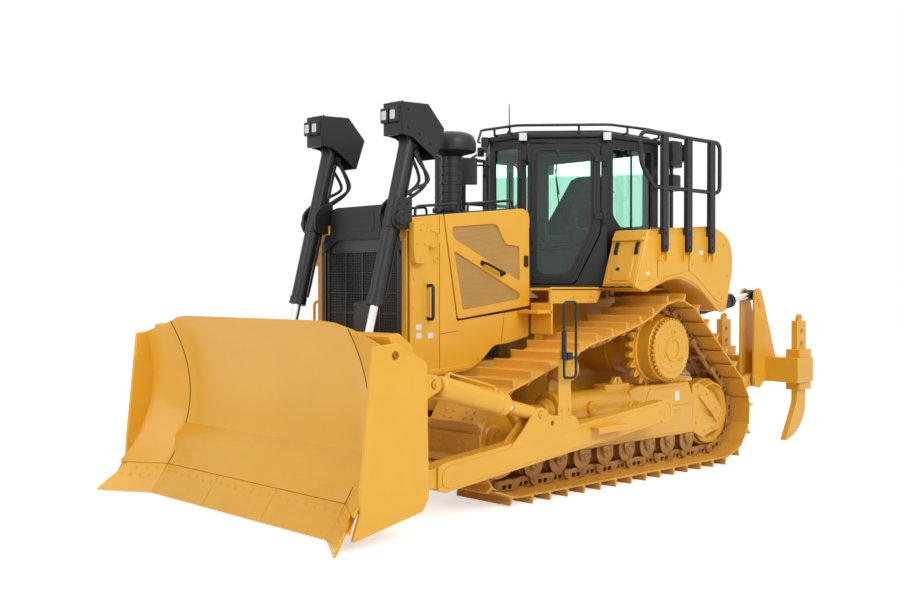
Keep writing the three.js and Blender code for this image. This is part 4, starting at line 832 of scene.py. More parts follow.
def frame_beam():
    """The roller frame's box beam, its guide plates and the shoulder under the drive."""
    inner, outer = TRACK_Y - FRAME_HALF_WIDTH, TRACK_Y + FRAME_HALF_WIDTH
    rear_guide = rounded([(-0.955, 0.42), (-0.7, 0.238), (-0.49, 0.268), (-0.49, 0.62), (-0.57, 0.775),
                          (-0.66, 0.72), (-0.9, 0.585)], 0.03, 3)
    front_guide = rounded([(1.79, 0.315), (2.22, 0.425), (2.275, 0.47), (2.265, 0.565), (1.86, 0.615)], 0.03,
                          3)
    shoulder = rounded([(-0.56, 0.585), (0.5, 0.585), (0.5, 0.8), (0.38, 0.832), (-0.43, 0.832)], 0.02, 3)
    shapes = [
        block((-0.53, inner, ROLLER_Z + 0.055), (1.88, outer, 0.6), 0.008, 0.02),
        block((-0.3, outer - 0.004, 0.36), (1.78, outer + 0.008, 0.57), 0.004, 0.03),
        plate(shoulder, TRACK_Y + 0.045, outer, "y", 0.008),
        plate(shoulder, inner + 0.01, TRACK_Y - 0.045, "y", 0.008),
        plate(rounded([(-0.44, 0.62), (0.3, 0.62), (0.2, 0.8), (-0.38, 0.8)], 0.03, 3), outer, outer + 0.009,
              "y", 0.003),
        turned([(0.078, -0.02), (0.078, 0.012), (0.07, 0.02), (0.07, 0.0905)], side_point(TRUNNION, outer),
               (0, 1, 0), 32)]
    cover = rounded([(-0.49, 0.345), (-0.49, 0.8), (-0.58, 0.818), (-0.74, 0.755), (-0.985, 0.575),
                     (-1.06, 0.44),
                     (-0.985, 0.335), (-0.8, 0.3), (-0.66, 0.262)], 0.04, 5)
    rib = rounded([(-0.93, 0.415), (-0.905, 0.395), (-0.6, 0.665), (-0.625, 0.69)], 0.008, 2)
    shapes += [plate(cover, outer - 0.025, outer + 0.003, "y", 0.004),
               plate(rib, outer, outer + 0.024, "y", 0.004),
               plate(rear_guide, inner, inner + 0.028, "y", 0.004),
               tube(in_plane(arc_points(REAR_IDLER, 0.285, 28, 128), outer - 0.012, "y"), 0.012, 10)]
    shapes += [plate(front_guide, y, y + 0.028, "y", 0.004) for y in (inner, outer - 0.025)]
    studs = [(-0.96, 0.43), (-0.9, 0.54), (-0.74, 0.69), (-0.58, 0.77), (-0.55, 0.42), (-0.7, 0.33),
             (-0.84, 0.35)]
    shapes.append(bolts([(x, outer + 0.003, z) for x, z in studs], (0, 1, 0), 0.012, 0.011))
    tab = tube(rounded([(-0.8, outer, 0.47), (-0.8, outer + 0.05, 0.47), (-0.71, outer + 0.05, 0.555),
                        (-0.71, outer, 0.555)], 0.02, 4, closed=False), 0.01, 10)
    return joined(*shapes, tab)


def tooth_outline():
    """The sprocket's edge: narrow teeth with round valleys that the chain's bushings sit in."""
    steps = 14
    angle = np.linspace(0, 2 * np.pi, SPROCKET_TEETH * steps, endpoint=False)
    wave = np.cos(SPROCKET_TEETH * angle - np.pi)
    radius = 0.364 + 0.038 * np.sign(wave) * np.abs(wave) ** 0.7
    return SPROCKET + radius[:, None] * np.stack([np.cos(angle), np.sin(angle)], 1)


def final_drive():
    """Sprocket ring with its segment bolts, the drive's drum, and the bolted cover."""
    hub = side_point(SPROCKET, TRACK_Y)
    drum = [(0.2, -0.175), (0.296, -0.165), (0.3, -0.15), (0.3, 0.02), (0.298, 0.17), (0.286, 0.182),
            (0.268, 0.188), (0.266, 0.205), (0.276, 0.208), (0.276, 0.222), (0.268, 0.23), (0.236, 0.232),
            (0.228, 0.226), (0.222, 0.226), (0.216, 0.233), (0.116, 0.235), (0.11, 0.247), (0.092, 0.248),
            (0.088, 0.236), (0.03, 0.234)]
    shapes = [
        plate(tooth_outline(), TRACK_Y - 0.028, TRACK_Y + 0.028, "y", 0.004),
        turned([(0.322, 0.02), (0.322, 0.04), (0.312, 0.046), (0.298, 0.046)], hub, (0, 1, 0), 64),
        turned(drum, hub, (0, 1, 0), 72),
        bolts(circle_places(hub + [0, 0.028, 0], 0.336, 30), (0, 1, 0), 0.01, 0.01)]
    for place in circle_places(hub + [0, 0.232, 0], 0.158, 3, start=math.radians(95)):
        shapes.append(turned([(0.034, -0.004), (0.034, 0.008), (0.028, 0.012), (0.018, 0.012), (0.018, 0.004),
                              (0.008, 0.004)], place, (0, 1, 0), 24))
    shapes.append(bolts(circle_places(hub + [0, 0.232, 0], 0.16, 3, start=math.radians(38)), (0, 1, 0),
                        0.008))
    return joined(*shapes)


def cover_bolts():
    """The close ring of bolts round the drive's cover, standing out of its rim."""
    count = 40
    places = circle_places(side_point(SPROCKET, TRACK_Y + 0.2), 0.283, count)
    return joined(*[turned([(0.011, -0.02), (0.011, 0.016), (0.008, 0.019)], place, (0, 1, 0), 8)
                    for place in places])


def undercarriage():
    """Roller frames, wheels and final drives."""
    pair("roller_frame_beam", frame_beam(), YELLOW, replaces=["roller_frame"])
    pair("recoil_tube", recoil_tube(), YELLOW)
    pair("idlers", idlers(), YELLOW)
    pair("track_rollers", rollers(), CHAIN)
    pair("carrier_roller", carrier_roller(), YELLOW)
    pair("final_drive_case", final_drive(), YELLOW, replaces=["final_drive"])
    pair("final_drive_bolts", cover_bolts(), YELLOW)

# ---------------------------------------------------------------- blade

BLADE_END = 1.63
WING_Y = 1.22
EDGE_DOWN = 0.926  # slope of the cutting edge below the horizontal, in radians
EDGE_THICK = 0.03  # of the cutting edge
FOOT = np.array([3.862, 0.24])


def wing_share(y):
    """How far a y lies out on the wing: nought at its inner seam, one at the side plate."""
    return max(0.0, (abs(y) - WING_Y) / (BLADE_END - 0.02 - WING_Y))


def blade_top(y):
    """The top edge's height: level in the middle, and falling to each side plate."""
    return 1.51 - max(0.0, (abs(y) - 1.02) / 0.62) * 0.165


def moldboard_line(y, behind=0.0, steps=26):
    """The hollow front line at one y: a quadratic Bezier, moved forward out on the wings, x and z."""
    share = wing_share(y)
    top, low = 0.08 * share, 0.25 * share
    control = np.array([(3.87 + top, 1.51), (3.425 + (top + low) / 2, 0.845), (FOOT[0] + low, FOOT[1])])
    fine = np.linspace(0, 1, 200)[:, None]
    line = (1 - fine) ** 2 * control[0] + 2 * fine * (1 - fine) * control[1] + fine ** 2 * control[2]
    start = np.interp(-blade_top(y), -line[:, 1], fine[:, 0])
    t = np.linspace(start, 1, steps)[:, None]
    return (1 - t) ** 2 * control[0] + 2 * t * (1 - t) * control[1] + t ** 2 * control[2] - [behind, 0]


def below_foot(y, down, behind):
    """A point on the cutting edge: so far down it, and so far behind its face."""
    forward = 0.25 * wing_share(y)
    c, s = math.cos(EDGE_DOWN), math.sin(EDGE_DOWN)
    return FOOT + [forward + c * down - s * behind, -s * down - c * behind]


def moldboard():
    """The curved plate: its front line, foot and back line at each y, joined into one skin."""
    ys = np.concatenate([np.linspace(-BLADE_END + 0.022, -WING_Y, 10), np.linspace(-WING_Y, WING_Y, 17)[1:-1],
                         np.linspace(WING_Y, BLADE_END - 0.022, 10)])
    rings = []
    for y in ys:
        lip = [below_foot(y, 0, EDGE_THICK), below_foot(y, 0.11, EDGE_THICK), below_foot(y, 0.11, 0.06)]
        ring = np.concatenate([moldboard_line(y), lip, moldboard_line(y, 0.03)[::-1]])
        rings.append(in_plane(ring, y, "y"))
    return skin(rings)


def along_face(y, clear=0.0, start=0, end=None):
    """The moldboard's front line at one y, as points in space, a little in front of its face."""
    return in_plane(moldboard_line(y)[start:end] + [clear, 0], y, "y")


def edge_plate(y0, y1, low0, low1, steps=4):
    """A piece of the cutting edge from y0 to y1: its foot may run further out than its top."""
    rings = []
    for share in np.linspace(0, 1, steps):
        top_y, low_y = y0 + share * (y1 - y0), low0 + share * (low1 - low0)
        deep = (FOOT[1] - 0.013) / math.sin(EDGE_DOWN)
        section = [(0.003, 0.003), (0.006, 0), (deep - 0.03, 0), (deep - 0.001, 0.006),
                   (deep - 0.014, EDGE_THICK - 0.006),
                   (deep - 0.05, EDGE_THICK - 0.001), (0.003, EDGE_THICK - 0.001)]
        ring = []
        for down, behind in section:
            y = top_y + (low_y - top_y) * down / deep
            x, z = below_foot(y, down, behind)
            ring.append((x, y, z))
        rings.append(ring)
    return skin(rings)


def edge_places(ys, down):
    """Places on the cutting edge's face, and its outward normal in the middle panel."""
    return [(below_foot(y, down, 0.0)[0], y, below_foot(y, down, 0.0)[1]) for y in ys]


EDGE_NORMAL = np.array([math.sin(EDGE_DOWN), 0, math.cos(EDGE_DOWN)])


def plough_bolts(places, normal):
    """Round countersunk heads with a flat: a low disc and its ring."""
    head = joined(turned([(0.021, -0.002), (0.021, 0.0012), (0.018, 0.002)], (0, 0, 0), (0, 0, 1), 16),
                  turned([(0.013, -0.002), (0.013, 0.004), (0.01, 0.005)], (0, 0, 0), (0, 0, 1), 4))
    first, second = perpendiculars(normal)
    return copies(head, places, np.tile([first, second, normal], (len(places), 1, 1)))


def cutting_edge():
    """Three middle plates and an end bit at each side, with their plough bolts."""
    third = 2 * WING_Y / 3
    cuts = [-WING_Y + 0.002, -WING_Y + third, WING_Y - third, WING_Y - 0.002]
    shapes = [edge_plate(a + 0.002, b - 0.002, a + 0.002, b - 0.002, 3) for a, b in zip(cuts, cuts[1:])]
    rows = np.concatenate([np.linspace(a + 0.07, b - 0.07, 7) for a, b in zip(cuts, cuts[1:])])
    shapes.append(plough_bolts(edge_places(rows, 0.072), EDGE_NORMAL))
    bit = edge_plate(WING_Y + 0.004, BLADE_END - 0.09, WING_Y - 0.01, 1.658, 7)
    out = np.array([0.0, -0.64, 0.0])
    normal = EDGE_NORMAL + out * 0.8
    normal /= np.linalg.norm(normal)
    holes = edge_places((1.29, 1.37, 1.45), 0.055) + edge_places((1.31, 1.385, 1.46, 1.535), 0.125)
    shapes += [both(bit), both(plough_bolts(holes, normal))]
    return joined(*shapes)


def side_plate():
    """The plate that closes one end of the blade, with its round hole."""
    outline = rounded([(3.735, 1.37), (3.948, 1.349), (4.048, 0.42), (4.056, 0.25), (4.122, 0.072),
                       (3.5, 0.192),
                       (3.442, 0.28), (3.462, 1.228)], 0.018, 3)
    return plate(outline, BLADE_END - 0.034, BLADE_END, "y", 0.005, [circle((3.75, 1.285), 0.03, 24)])


def rib_front(y):
    """A rib's front edge: part of the moldboard's own back line at that y."""
    line = moldboard_line(y, 0.016)
    return line[4:24][::-1]


def blade_back():
    """The beams and ribs behind the moldboard, with the ears that hold the arms and cylinders."""
    top_beam = rounded([(3.56, 1.18), (3.7, 1.18), (3.786, 1.418), (3.7, 1.438), (3.56, 1.34)], 0.02, 3)
    low_beam = rounded([(3.47, 0.3), (3.56, 0.21), (3.838, 0.21), (3.758, 0.48), (3.66, 0.618), (3.47, 0.48)],
                       0.02, 3)
    shapes = [plate(top_beam, -1.596, 1.596, "y", 0.002), plate(low_beam, -1.596, 1.596, "y", 0.002)]
    rib = lambda y: np.concatenate([[(3.48, 0.4)], rib_front(y), [(3.575, 1.3)]])
    left = [plate(rib(y), y, y + 0.03, "y", 0.003) for y in (0.245, 0.885)]
    shapes.append(plate(rib(-0.015), -0.015, 0.015, "y", 0.003))

    def ear_pair(outline, y, half, thick, hole, radius):
        ring = circle(hole, radius, 24)
        for low in (y + half + 0.001, y - half - 0.001 - thick):
            left.append(plate(outline, low, low + thick, "y", 0.003, [ring]))

    lift = np.concatenate([
        rounded([(3.48, 0.9), (3.34, 0.69), (3.27, 0.69), (3.207, 0.675), (3.207, 0.6), (3.225, 0.565),
                 (3.27, 0.55),
                 (3.48, 0.4)], 0.035, 4, closed=False), rib_front(0.52), [(3.575, 1.3)]])
    ear_pair(lift, 0.52, 0.045, 0.03, (3.27, 0.62), 0.036)
    tilt = np.concatenate([
        rounded([(3.48, 1.14), (3.29, 1.125), (3.228, 1.1), (3.226, 1.03), (3.245, 1.0), (3.29, 0.985),
                 (3.48, 0.9)], 0.03, 4, closed=False), [(3.48, 0.4)], rib_front(1.36), [(3.575, 1.3)]])
    ear_pair(tilt, 1.44, 0.05, 0.03, (3.29, 1.055), 0.032)
    arm = rounded([(3.285, 0.4), (3.282, 0.34), (3.32, 0.3), (3.48, 0.29), (3.48, 0.48), (3.34, 0.448)], 0.03,
                  4)
    ear_pair(arm, 1.43, 0.042, 0.027, (3.36, 0.37), 0.034)
    for at, y, half, radius in (((3.27, 0.62), 0.52, 0.094, 0.034), ((3.29, 1.055), 1.44, 0.096, 0.03),
                                ((3.36, 0.37), 1.43, 0.086, 0.033)):
        left.append(round_bar(side_point(at, y - half), side_point(at, y + half), radius, 24, 0.004))
        left.append(bolts([side_point(at, y + half)], (0, 1, 0), 0.015, 0.012))
    return joined(*shapes, both(joined(*left)))


def blade_trim():
    """Weld beads down the panel joints."""
    # The beads take the dark shadowed_gap finish: a thin line of painted shade along each wing fold.
    seams = [tube(along_face(y, 0.0005), 0.0045, 8) for y in (-WING_Y, WING_Y)]
    return joined(*seams)


def lifting_eyes():
    """Four low tabs on the moldboard's top edge."""
    shapes = []
    for y in (-1.3, -0.62, 0.62, 1.3):
        x, z = moldboard_line(y)[0]
        outline = rounded([(x - 0.075, z - 0.03), (x - 0.07, z - 0.004), (x - 0.04, z - 0.004),
                           (x - 0.012, z - 0.03)],
                          0.01, 3)
        shapes.append(plate(outline, y - 0.012, y + 0.012, "y", 0.003))
    return joined(*shapes)


def blade_and_edge():
    """The blade's pieces, all on its body."""
    piece("moldboard", moldboard(), YELLOW, "blade", ["blade"])
    piece("blade_seams", blade_trim(), SEAM_SHADE, "blade")
    piece("blade_lifting_eyes", lifting_eyes(), YELLOW, "blade")
    pair("blade_side_plate", side_plate(), YELLOW, "blade")
    piece("blade_frame", blade_back(), YELLOW, "blade")
    piece("cutting_edge_plates", cutting_edge(), YELLOW, "blade", ["cutting_edge"])


# ---------------------------------------------------------------- push arms and blade cylinders


def push_arm():
    """A box arm with a proud outer face plate, rounded ends, and the ears of the tilt cylinder."""
    inner, outer = 1.362, 1.496
    bar = rounded([(0.45, 0.738), (0.375, 0.715), (0.352, 0.64), (0.375, 0.572), (0.45, 0.547),
                   (3.158, 0.257),
                   (3.228, 0.282), (3.228, 0.448), (3.158, 0.478)],
                   (0.02, 0.07, 0.07, 0.07, 0.02, 0.03, 0.02, 0.02, 0.03), 5)
    face = rounded([(0.53, 0.7), (0.53, 0.566), (3.13, 0.288), (3.19, 0.315), (3.19, 0.415), (3.13, 0.45)],
                   0.02, 4)
    shapes = [plate(bar, inner, outer - 0.004, "y", 0.006, [circle((0.45, 0.64), 0.078, 32)]),
              plate(face, outer - 0.006, outer + 0.0035, "y", 0.003),
              turned([(0.112, 0), (0.112, 0.006), (0.106, 0.01), (0.08, 0.01), (0.076, 0.004), (0.03, 0.004)],
                     side_point(TRUNNION, outer - 0.008), (0, 1, 0), 40)]
    places = circle_places(side_point(TRUNNION, outer + 0.002), 0.092, 6)
    shapes.append(bolts(places, (0, 1, 0), 0.008, 0.0015))
    middle = 1.43
    shapes.append(round_bar((3.36, middle - 0.041, 0.37), (3.36, middle + 0.041, 0.37), 0.067, 32, 0.004))
    tongue = rounded([(3.15, 0.292), (3.36, 0.307), (3.36, 0.433), (3.15, 0.448)], 0.01, 2)
    shapes.append(plate(tongue, middle - 0.041, middle + 0.041, "y", 0.004))
    bracket = rounded([(1.64, 0.59), (1.7, 0.7), (2.02, 0.73), (2.075, 0.79), (2.13, 0.805), (2.19, 0.79),
                       (2.33, 0.64), (2.5, 0.5)], (0.01, 0.03, 0.05, 0.04, 0.05, 0.03, 0.05, 0.01), 4)
    holes = [circle((2.13, 0.745), 0.03, 20), circle((1.99, 0.665), 0.02, 16)]
    for low in (1.44 + 0.041, 1.44 - 0.061):
        shapes.append(plate(bracket, low, low + 0.02, "y", 0.003, holes))
    pin = round_bar((2.13, 1.373, 0.745), (2.13, 1.5065, 0.745), 0.028, 20, 0.003)
    shapes += [pin, bolts([(2.13, 1.5065, 0.745)], (0, 1, 0), 0.014, 0.01)]
    post = rounded([(1.744, 0.6), (1.916, 0.6), (1.905, 0.9), (1.893, 1.248), (1.767, 1.248), (1.755, 0.9)],
                   (0.01, 0.01, 0.02, 0.03, 0.03, 0.02), 4)
    shapes.append(plate(post, 1.476, 1.4945, "y", 0.004))
    rib = [(1.8, 0.62), (1.86, 0.62), (1.84, 1.16), (1.82, 1.16)]
    shapes.append(plate(rib, 1.455, 1.478, "y", 0.003))
    shapes.append(block((1.682, 1.397, 0.57), (1.958, 1.483, 0.638), 0.004))
    studs = [(x, 1.4945, z) for z in (0.7, 0.76) for x in (1.785, 1.875)]
    shapes.append(bolts(studs, (0, 1, 0), 0.011, 0.01))
    step_plate = block((1.12, 1.497, 0.585), (1.52, 1.592, 0.595), 0.002, 0.012)
    shapes += [step_plate, block((1.12, 1.585, 0.545), (1.52, 1.593, 0.592), 0.002, 0.0)]
    return joined(*shapes)


def arm_handle():
    """The tall narrow grab loop on its post, with a grip sleeve and its fixing bracket."""
    x0, x1, y, low, high = 1.758, 1.905, 1.545, 1.02, 1.63
    loop = rounded([(x0, y, low), (x1, y, low), (x1, y, high), (x0, y, high)], 0.035, 6)
    feet = [tube([(1.833, 1.492, z), (1.833, y, z)], 0.01, 12) for z in (low + 0.002, 1.2)]
    grip = round_bar((x1, y, 1.17), (x1, y, 1.4), 0.021, 16, 0.005)
    clamp = block((1.8, 1.495, 1.165), (1.866, 1.553, 1.225), 0.003)
    return joined(tube(loop, 0.011, 12, closed=True), *feet, grip, clamp)


def tilt_cylinder():
    """The tilt cylinder's barrel: head, shoulder, long body and a stepped gland towards the rod."""
    start, end = np.array([3.29, 1.055]), np.array([2.13, 0.745])
    along = end - start
    along /= np.linalg.norm(along)
    base, way = side_point(start, 1.44), side_point(along, 0)
    profile = [(0.02, 0.0), (0.044, 0.0), (0.046, 0.1), (0.07, 0.104), (0.082, 0.116), (0.086, 0.125),
               (0.087, 0.14),
               (0.087, 0.74), (0.096, 0.748), (0.096, 0.812), (0.09, 0.819), (0.042, 0.8195), (0.0405, 0.8)]
    eye = turned([(0.042, -0.048), (0.054, -0.044), (0.055, 0.044), (0.042, 0.048)], base, (0, 1, 0), 32)
    upward = np.array([-way[2], 0, way[0]])
    if upward[2] < 0:
        upward = -upward
    ports = [turned([(0.02, 0.05), (0.02, 0.105), (0.016, 0.108)], base + way * d, upward, 16) for d in (0.18,
        0.7)]
    pipe = tube([base + way * 0.18 + upward * 0.1, base + way * 0.2 + upward * 0.118,
                 base + way * 0.68 + upward * 0.118, base + way * 0.7 + upward * 0.1], 0.01, 10)
    gland = bolts([base + way * 0.8195 + 0.068 * (math.cos(a) * upward + math.sin(a) * np.array([0, 1.0, 0]))
                   for a in np.arange(8) * math.pi / 4], way, 0.009, 0.008)
    return joined(turned(profile, base, way, 48), eye, *ports, pipe, gland)


def tilt_rod():
    """The rod's polished length; its eye and yellow sleeve are separate shapes."""
    start, end = side_point((3.29, 1.055), 1.44), side_point((2.13, 0.745), 1.44)
    way = (end - start) / np.linalg.norm(end - start)
    reach = np.linalg.norm(end - start)
    return round_bar(start + way * 0.56, start + way * (reach - 0.05), 0.0395, 36), \
        joined(turned([(0.041, reach - 0.31), (0.054, reach - 0.3), (0.057, reach - 0.06),
                       (0.03, reach - 0.05)],
                      start, way, 32),
               turned([(0.046, -0.039), (0.055, -0.034), (0.055, 0.034), (0.046, 0.039)], end, (0, 1, 0), 32))


LIFT_FROM = np.array([2.83, 2.3])
LIFT_TO = np.array([3.27, 0.62])
LIFT_WAY = (LIFT_TO - LIFT_FROM) / np.linalg.norm(LIFT_TO - LIFT_FROM)
LIFT_SIDE = np.array([-LIFT_WAY[1], LIFT_WAY[0]])  # square to the cylinder, pointing forwards
LIFT_Y = 0.52


def on_lift(along, forward, y=0.0):
    """A place by the lift cylinder: along it from its trunnion, in front of its line, and across."""
    x, z = LIFT_FROM + LIFT_WAY * along + LIFT_SIDE * forward
    return np.array([x, LIFT_Y + y, z])


def lift_cylinder():
    """A slender barrel hung by its middle, with a trunnion band, end cap, gland and its long oil pipe."""
    profile = [(0.03, -0.744), (0.06, -0.744), (0.064, -0.738), (0.065, -0.72), (0.065, -0.085),
               (0.0695, -0.08),
               (0.0695, 0.08), (0.065, 0.085), (0.065, 0.655), (0.072, 0.66),
               (0.073, 0.722), (0.066, 0.7245), (0.037, 0.7248), (0.0358, 0.71)]
    shapes = [turned(profile, on_lift(0, 0), side_point(LIFT_WAY, 0), 40)]
    shapes.append(both_sides_of(turned([(0.06, 0.05), (0.06, 0.062), (0.042, 0.068), (0.042, 0.0695)],
                                       on_lift(0, 0), (0, 1, 0), 28)))
    pipe = tube([on_lift(0.64, -0.07), on_lift(0.63, -0.092), on_lift(0.58, -0.094), on_lift(-0.6, -0.094),
                 on_lift(-0.66, -0.088)], 0.011, 12)
    return joined(*shapes, pipe)


def both_sides_of(shape):
    """The shape and its reflection across the left lift cylinder's own plane."""
    points, faces = shape
    return joined(shape, (points * [1, -1, 1] + [0, 2 * LIFT_Y, 0], [face[::-1] for face in faces]))


HOUSING = [(2.835, 3.235), (2.525, 3.245), (2.345, 3.06), (2.44, 2.8), (2.7, 2.96), (2.8, 2.975)]


def lamp_housing():
    """The folded cover on the barrel's head: five flat edges, carrying two hooded square work lamps."""
    y0, y1 = LIFT_Y - 0.105, LIFT_Y + 0.105
    cover = rounded(HOUSING, 0.008, 3)
    shapes = [plate(cover, y0, y0 + 0.012, "y", 0.003), plate(cover, y1 - 0.012, y1, "y", 0.003)]
    for (ax, az), (bx, bz) in zip(HOUSING[:3], HOUSING[1:4]):
        along = np.array([bx - ax, bz - az])
        down = np.array([-along[1], along[0]]) / np.linalg.norm(along) * 0.008
        a, b = np.array([ax, az]), np.array([bx, bz])
        shapes.append(plate([a, b, b + down, a + down], y0 + 0.004, y1 - 0.004, "y", 0.001))
    shapes.append(block((2.8, y0 + 0.004, 2.972), (2.835, y1 - 0.004, 3.232), 0.004, 0.004))
    places = [(x, y1, z) for x, z in ((2.74, 3.03), (2.74, 3.18), (2.56, 3.19), (2.45, 3.08), (2.5, 2.92),
                                      (2.62, 2.99))]
    shapes.append(bolts(places, (0, 1, 0), 0.009, 0.007))
    shapes.append(bolts([(x, LIFT_Y + y, 3.238) for x in (2.6, 2.78) for y in (-0.07, 0.07)], (0, 0, 1),
                        0.008, 0.012))
    shapes.append(both_sides_of(block((2.833, LIFT_Y + 0.006, 3.07), (2.872, LIFT_Y + 0.1, 3.19), 0.006,
                                      0.012)))
    shapes.append(plate(rounded([(-0.06, 2.9), (0.06, 2.9), (0.06, 2.98), (-0.06, 2.98)], 0.01, 2) + [LIFT_Y,
        0.0], 2.7,
                        2.71, "x", 0.002))
    return joined(*shapes)


def lamp_faces():
    """Two square lenses that face forwards."""
    lens = plate(rounded([(LIFT_Y + 0.024, 3.094), (LIFT_Y + 0.082, 3.094), (LIFT_Y + 0.082, 3.166),
                          (LIFT_Y + 0.024, 3.166)], 0.01, 3), 2.868, 2.875, "x", 0.002)
    return both_sides_of(lens)


def lift_hoses():
    """Hoses that leave the barrel's head, hang behind it, and come back at the trunnion."""
    shapes = []
    for y, sag, start, end in ((-0.045, 0.15, -0.62, -0.2), (0.0, 0.18, -0.66, -0.16),
                               (0.045, 0.15, -0.58, -0.24)):
        ends = [on_lift(start, -0.06, y), on_lift(start + 0.05, -0.115, y),
                on_lift((start + end) / 2, -0.1 - sag, y * 1.3),
                on_lift(end - 0.05, -0.13, y), on_lift(end, -0.07, y)]
        shapes.append(tube(smooth_path(ends, 26), 0.014, 12))
        for place in (ends[0], ends[-1]):
            shapes.append(turned([(0.019, -0.02), (0.019, 0.035), (0.015, 0.04)], place,
                                 on_lift(0, -1) - on_lift(0, 0), 8))
    return joined(*shapes)


def smooth_path(points, steps=24):
    """A smooth path through points: a Catmull-Rom spline with its end points doubled."""
    points = np.asarray(points, float)
    padded = np.concatenate([[2 * points[0] - points[1]], points, [2 * points[-1] - points[-2]]])
    line = []
    each = max(2, steps // (len(points) - 1))
    for a, b, c, d in zip(padded, padded[1:], padded[2:], padded[3:]):
        for t in np.linspace(0, 1, each, endpoint=False):
            square, cube = 2 * a - 5 * b + 4 * c - d, 3 * b - a - 3 * c + d
            line.append(0.5 * (2 * b + (c - a) * t + square * t * t + cube * t ** 3))
    line.append(points[-1])
    return np.array(line)


def arms_and_cylinders():
    """Push arms, tilt cylinders and lift cylinders with what rides on them."""
    pair("push_arm_box", push_arm(), YELLOW, "push_arms", ["push_arm"])
    pair("arm_grab_handle", arm_handle(), BLACK, "push_arms")
    pair("tilt_cylinder_barrel", tilt_cylinder(), YELLOW, "tilt_barrel", ["tilt_barrel"])
    rod, eye = tilt_rod()
    pair("tilt_cylinder_rod", rod, CHROME, "tilt_rod", ["tilt_rod"])
    pair("tilt_cylinder_eye", eye, YELLOW, "tilt_rod")
    pair("lift_cylinder_barrel", lift_cylinder(), BLACK, "lift_barrel", ["lift_barrel"])
    pair("lift_lamp_housing", lamp_housing(), BLACK, "lift_barrel")
    pair("lift_lamp_lens", lamp_faces(), LENS, "lift_barrel")
    pair("lift_hoses", lift_hoses(), RUBBER, "lift_barrel")
    reach = np.linalg.norm(LIFT_TO - LIFT_FROM)
    rod = joined(round_bar(on_lift(0.33, 0), on_lift(reach - 0.05, 0), 0.0348, 36),
                 turned([(0.036, reach - 0.13), (0.047, reach - 0.12), (0.047, reach - 0.04)], on_lift(0, 0),
                        side_point(LIFT_WAY, 0), 32))
    pair("lift_cylinder_rod", rod, CHROME, "lift_rod", ["lift_rod"])
    eye = turned([(0.05, -0.044), (0.06, -0.039), (0.06, 0.039), (0.05, 0.044)], on_lift(reach, 0), (0, 1, 0),
                 32)
    pair("lift_cylinder_eye", eye, BLACK, "lift_rod")

# ---------------------------------------------------------------- engine bay and radiator guard

GUARD_REAR, GUARD_FRONT = 2.38, 2.735


def hood_z(x):
    """The hood's top, which falls towards the front."""
    return 2.45 + (x - 1.38) * (2.318 - 2.45) / (2.72 - 1.38)


def radiator_guard():
    """The guard's box: broad side posts, header and sill round a deep recess, and a seat under each cylinder
    yoke.
    """
    ring = rounded([(-0.585, 0.952), (0.585, 0.952), (0.585, 2.283), (-0.585, 2.283)], 0.02, 3)
    opening = rounded([(-0.492, 1.128), (0.492, 1.128), (0.492, 2.172), (-0.492, 2.172)], 0.03, 4)
    shapes = [plate(ring, GUARD_FRONT - 0.1, GUARD_FRONT, "x", 0.005, [opening]),
              plate(ring, GUARD_REAR + 0.001, GUARD_FRONT - 0.1, "x", 0.0)]
    seat = block((2.723, 0.402, 2.203), (2.754, 0.618, 2.283), 0.004)
    shapes.append(both(seat))
    left = []
    post_bolts = [(GUARD_FRONT, y, z) for y in (0.53, 0.565) for z in (1.0, 1.08, 2.13)]
    left.append(bolts(post_bolts, (1, 0, 0), 0.01, 0.009))
    shapes.append(both(joined(*left)))
    return joined(*shapes)


def cylinder_yokes():
    """The black brackets on the guard that hold each lift cylinder by its trunnions."""
    yoke = rounded([(2.7, 2.21), (2.86, 2.215), (2.895, 2.25), (2.895, 2.37), (2.86, 2.42), (2.8, 2.47),
                    (2.7, 2.47)],
                   (0.01, 0.02, 0.03, 0.04, 0.03, 0.02, 0.01), 4)
    left = [plate(yoke, LIFT_Y + low, LIFT_Y + low + 0.0296, "y", 0.004) for low in (0.0715, -0.1011)]
    left.append(turned([(0.058, 0.1005), (0.058, 0.12), (0.05, 0.128), (0.02, 0.128)],
                       side_point(LIFT_FROM, LIFT_Y),
                       (0, 1, 0), 28))
    left.append(bolts(circle_places(side_point(LIFT_FROM, LIFT_Y + 0.128), 0.03, 3), (0, 1, 0), 0.007, 0.006))
    left.append(bolts([(x, LIFT_Y + 0.1011, z) for x, z in ((2.75, 2.25), (2.75, 2.42), (2.83, 2.42))],
                      (0, 1, 0), 0.009,
                      0.008))
    return both(joined(*left))


def header_plate():
    """The black plate over the grille, between the two cylinders, with chamfered corners."""
    outline = rounded([(-0.4, 2.15), (0.4, 2.15), (0.4, 2.37), (0.33, 2.432), (-0.33, 2.432), (-0.4, 2.37)],
                      0.02, 3)
    face = rounded([(-0.2, 2.22), (0.2, 2.22), (0.2, 2.38), (-0.2, 2.38)], 0.03, 3)
    corners = [(y, z) for y in (-0.36, 0.36) for z in (2.19, 2.35)]
    return joined(plate(outline, GUARD_FRONT + 0.001, GUARD_FRONT + 0.014, "x", 0.004),
                  plate(face, GUARD_FRONT + 0.013, GUARD_FRONT + 0.017, "x", 0.002),
                  block((2.58, -0.4, 2.292), (GUARD_FRONT + 0.002, 0.4, 2.425), 0.01, 0.02),
                  bolts([(GUARD_FRONT + 0.014, y, z) for y, z in corners], (1, 0, 0), 0.01, 0.008))


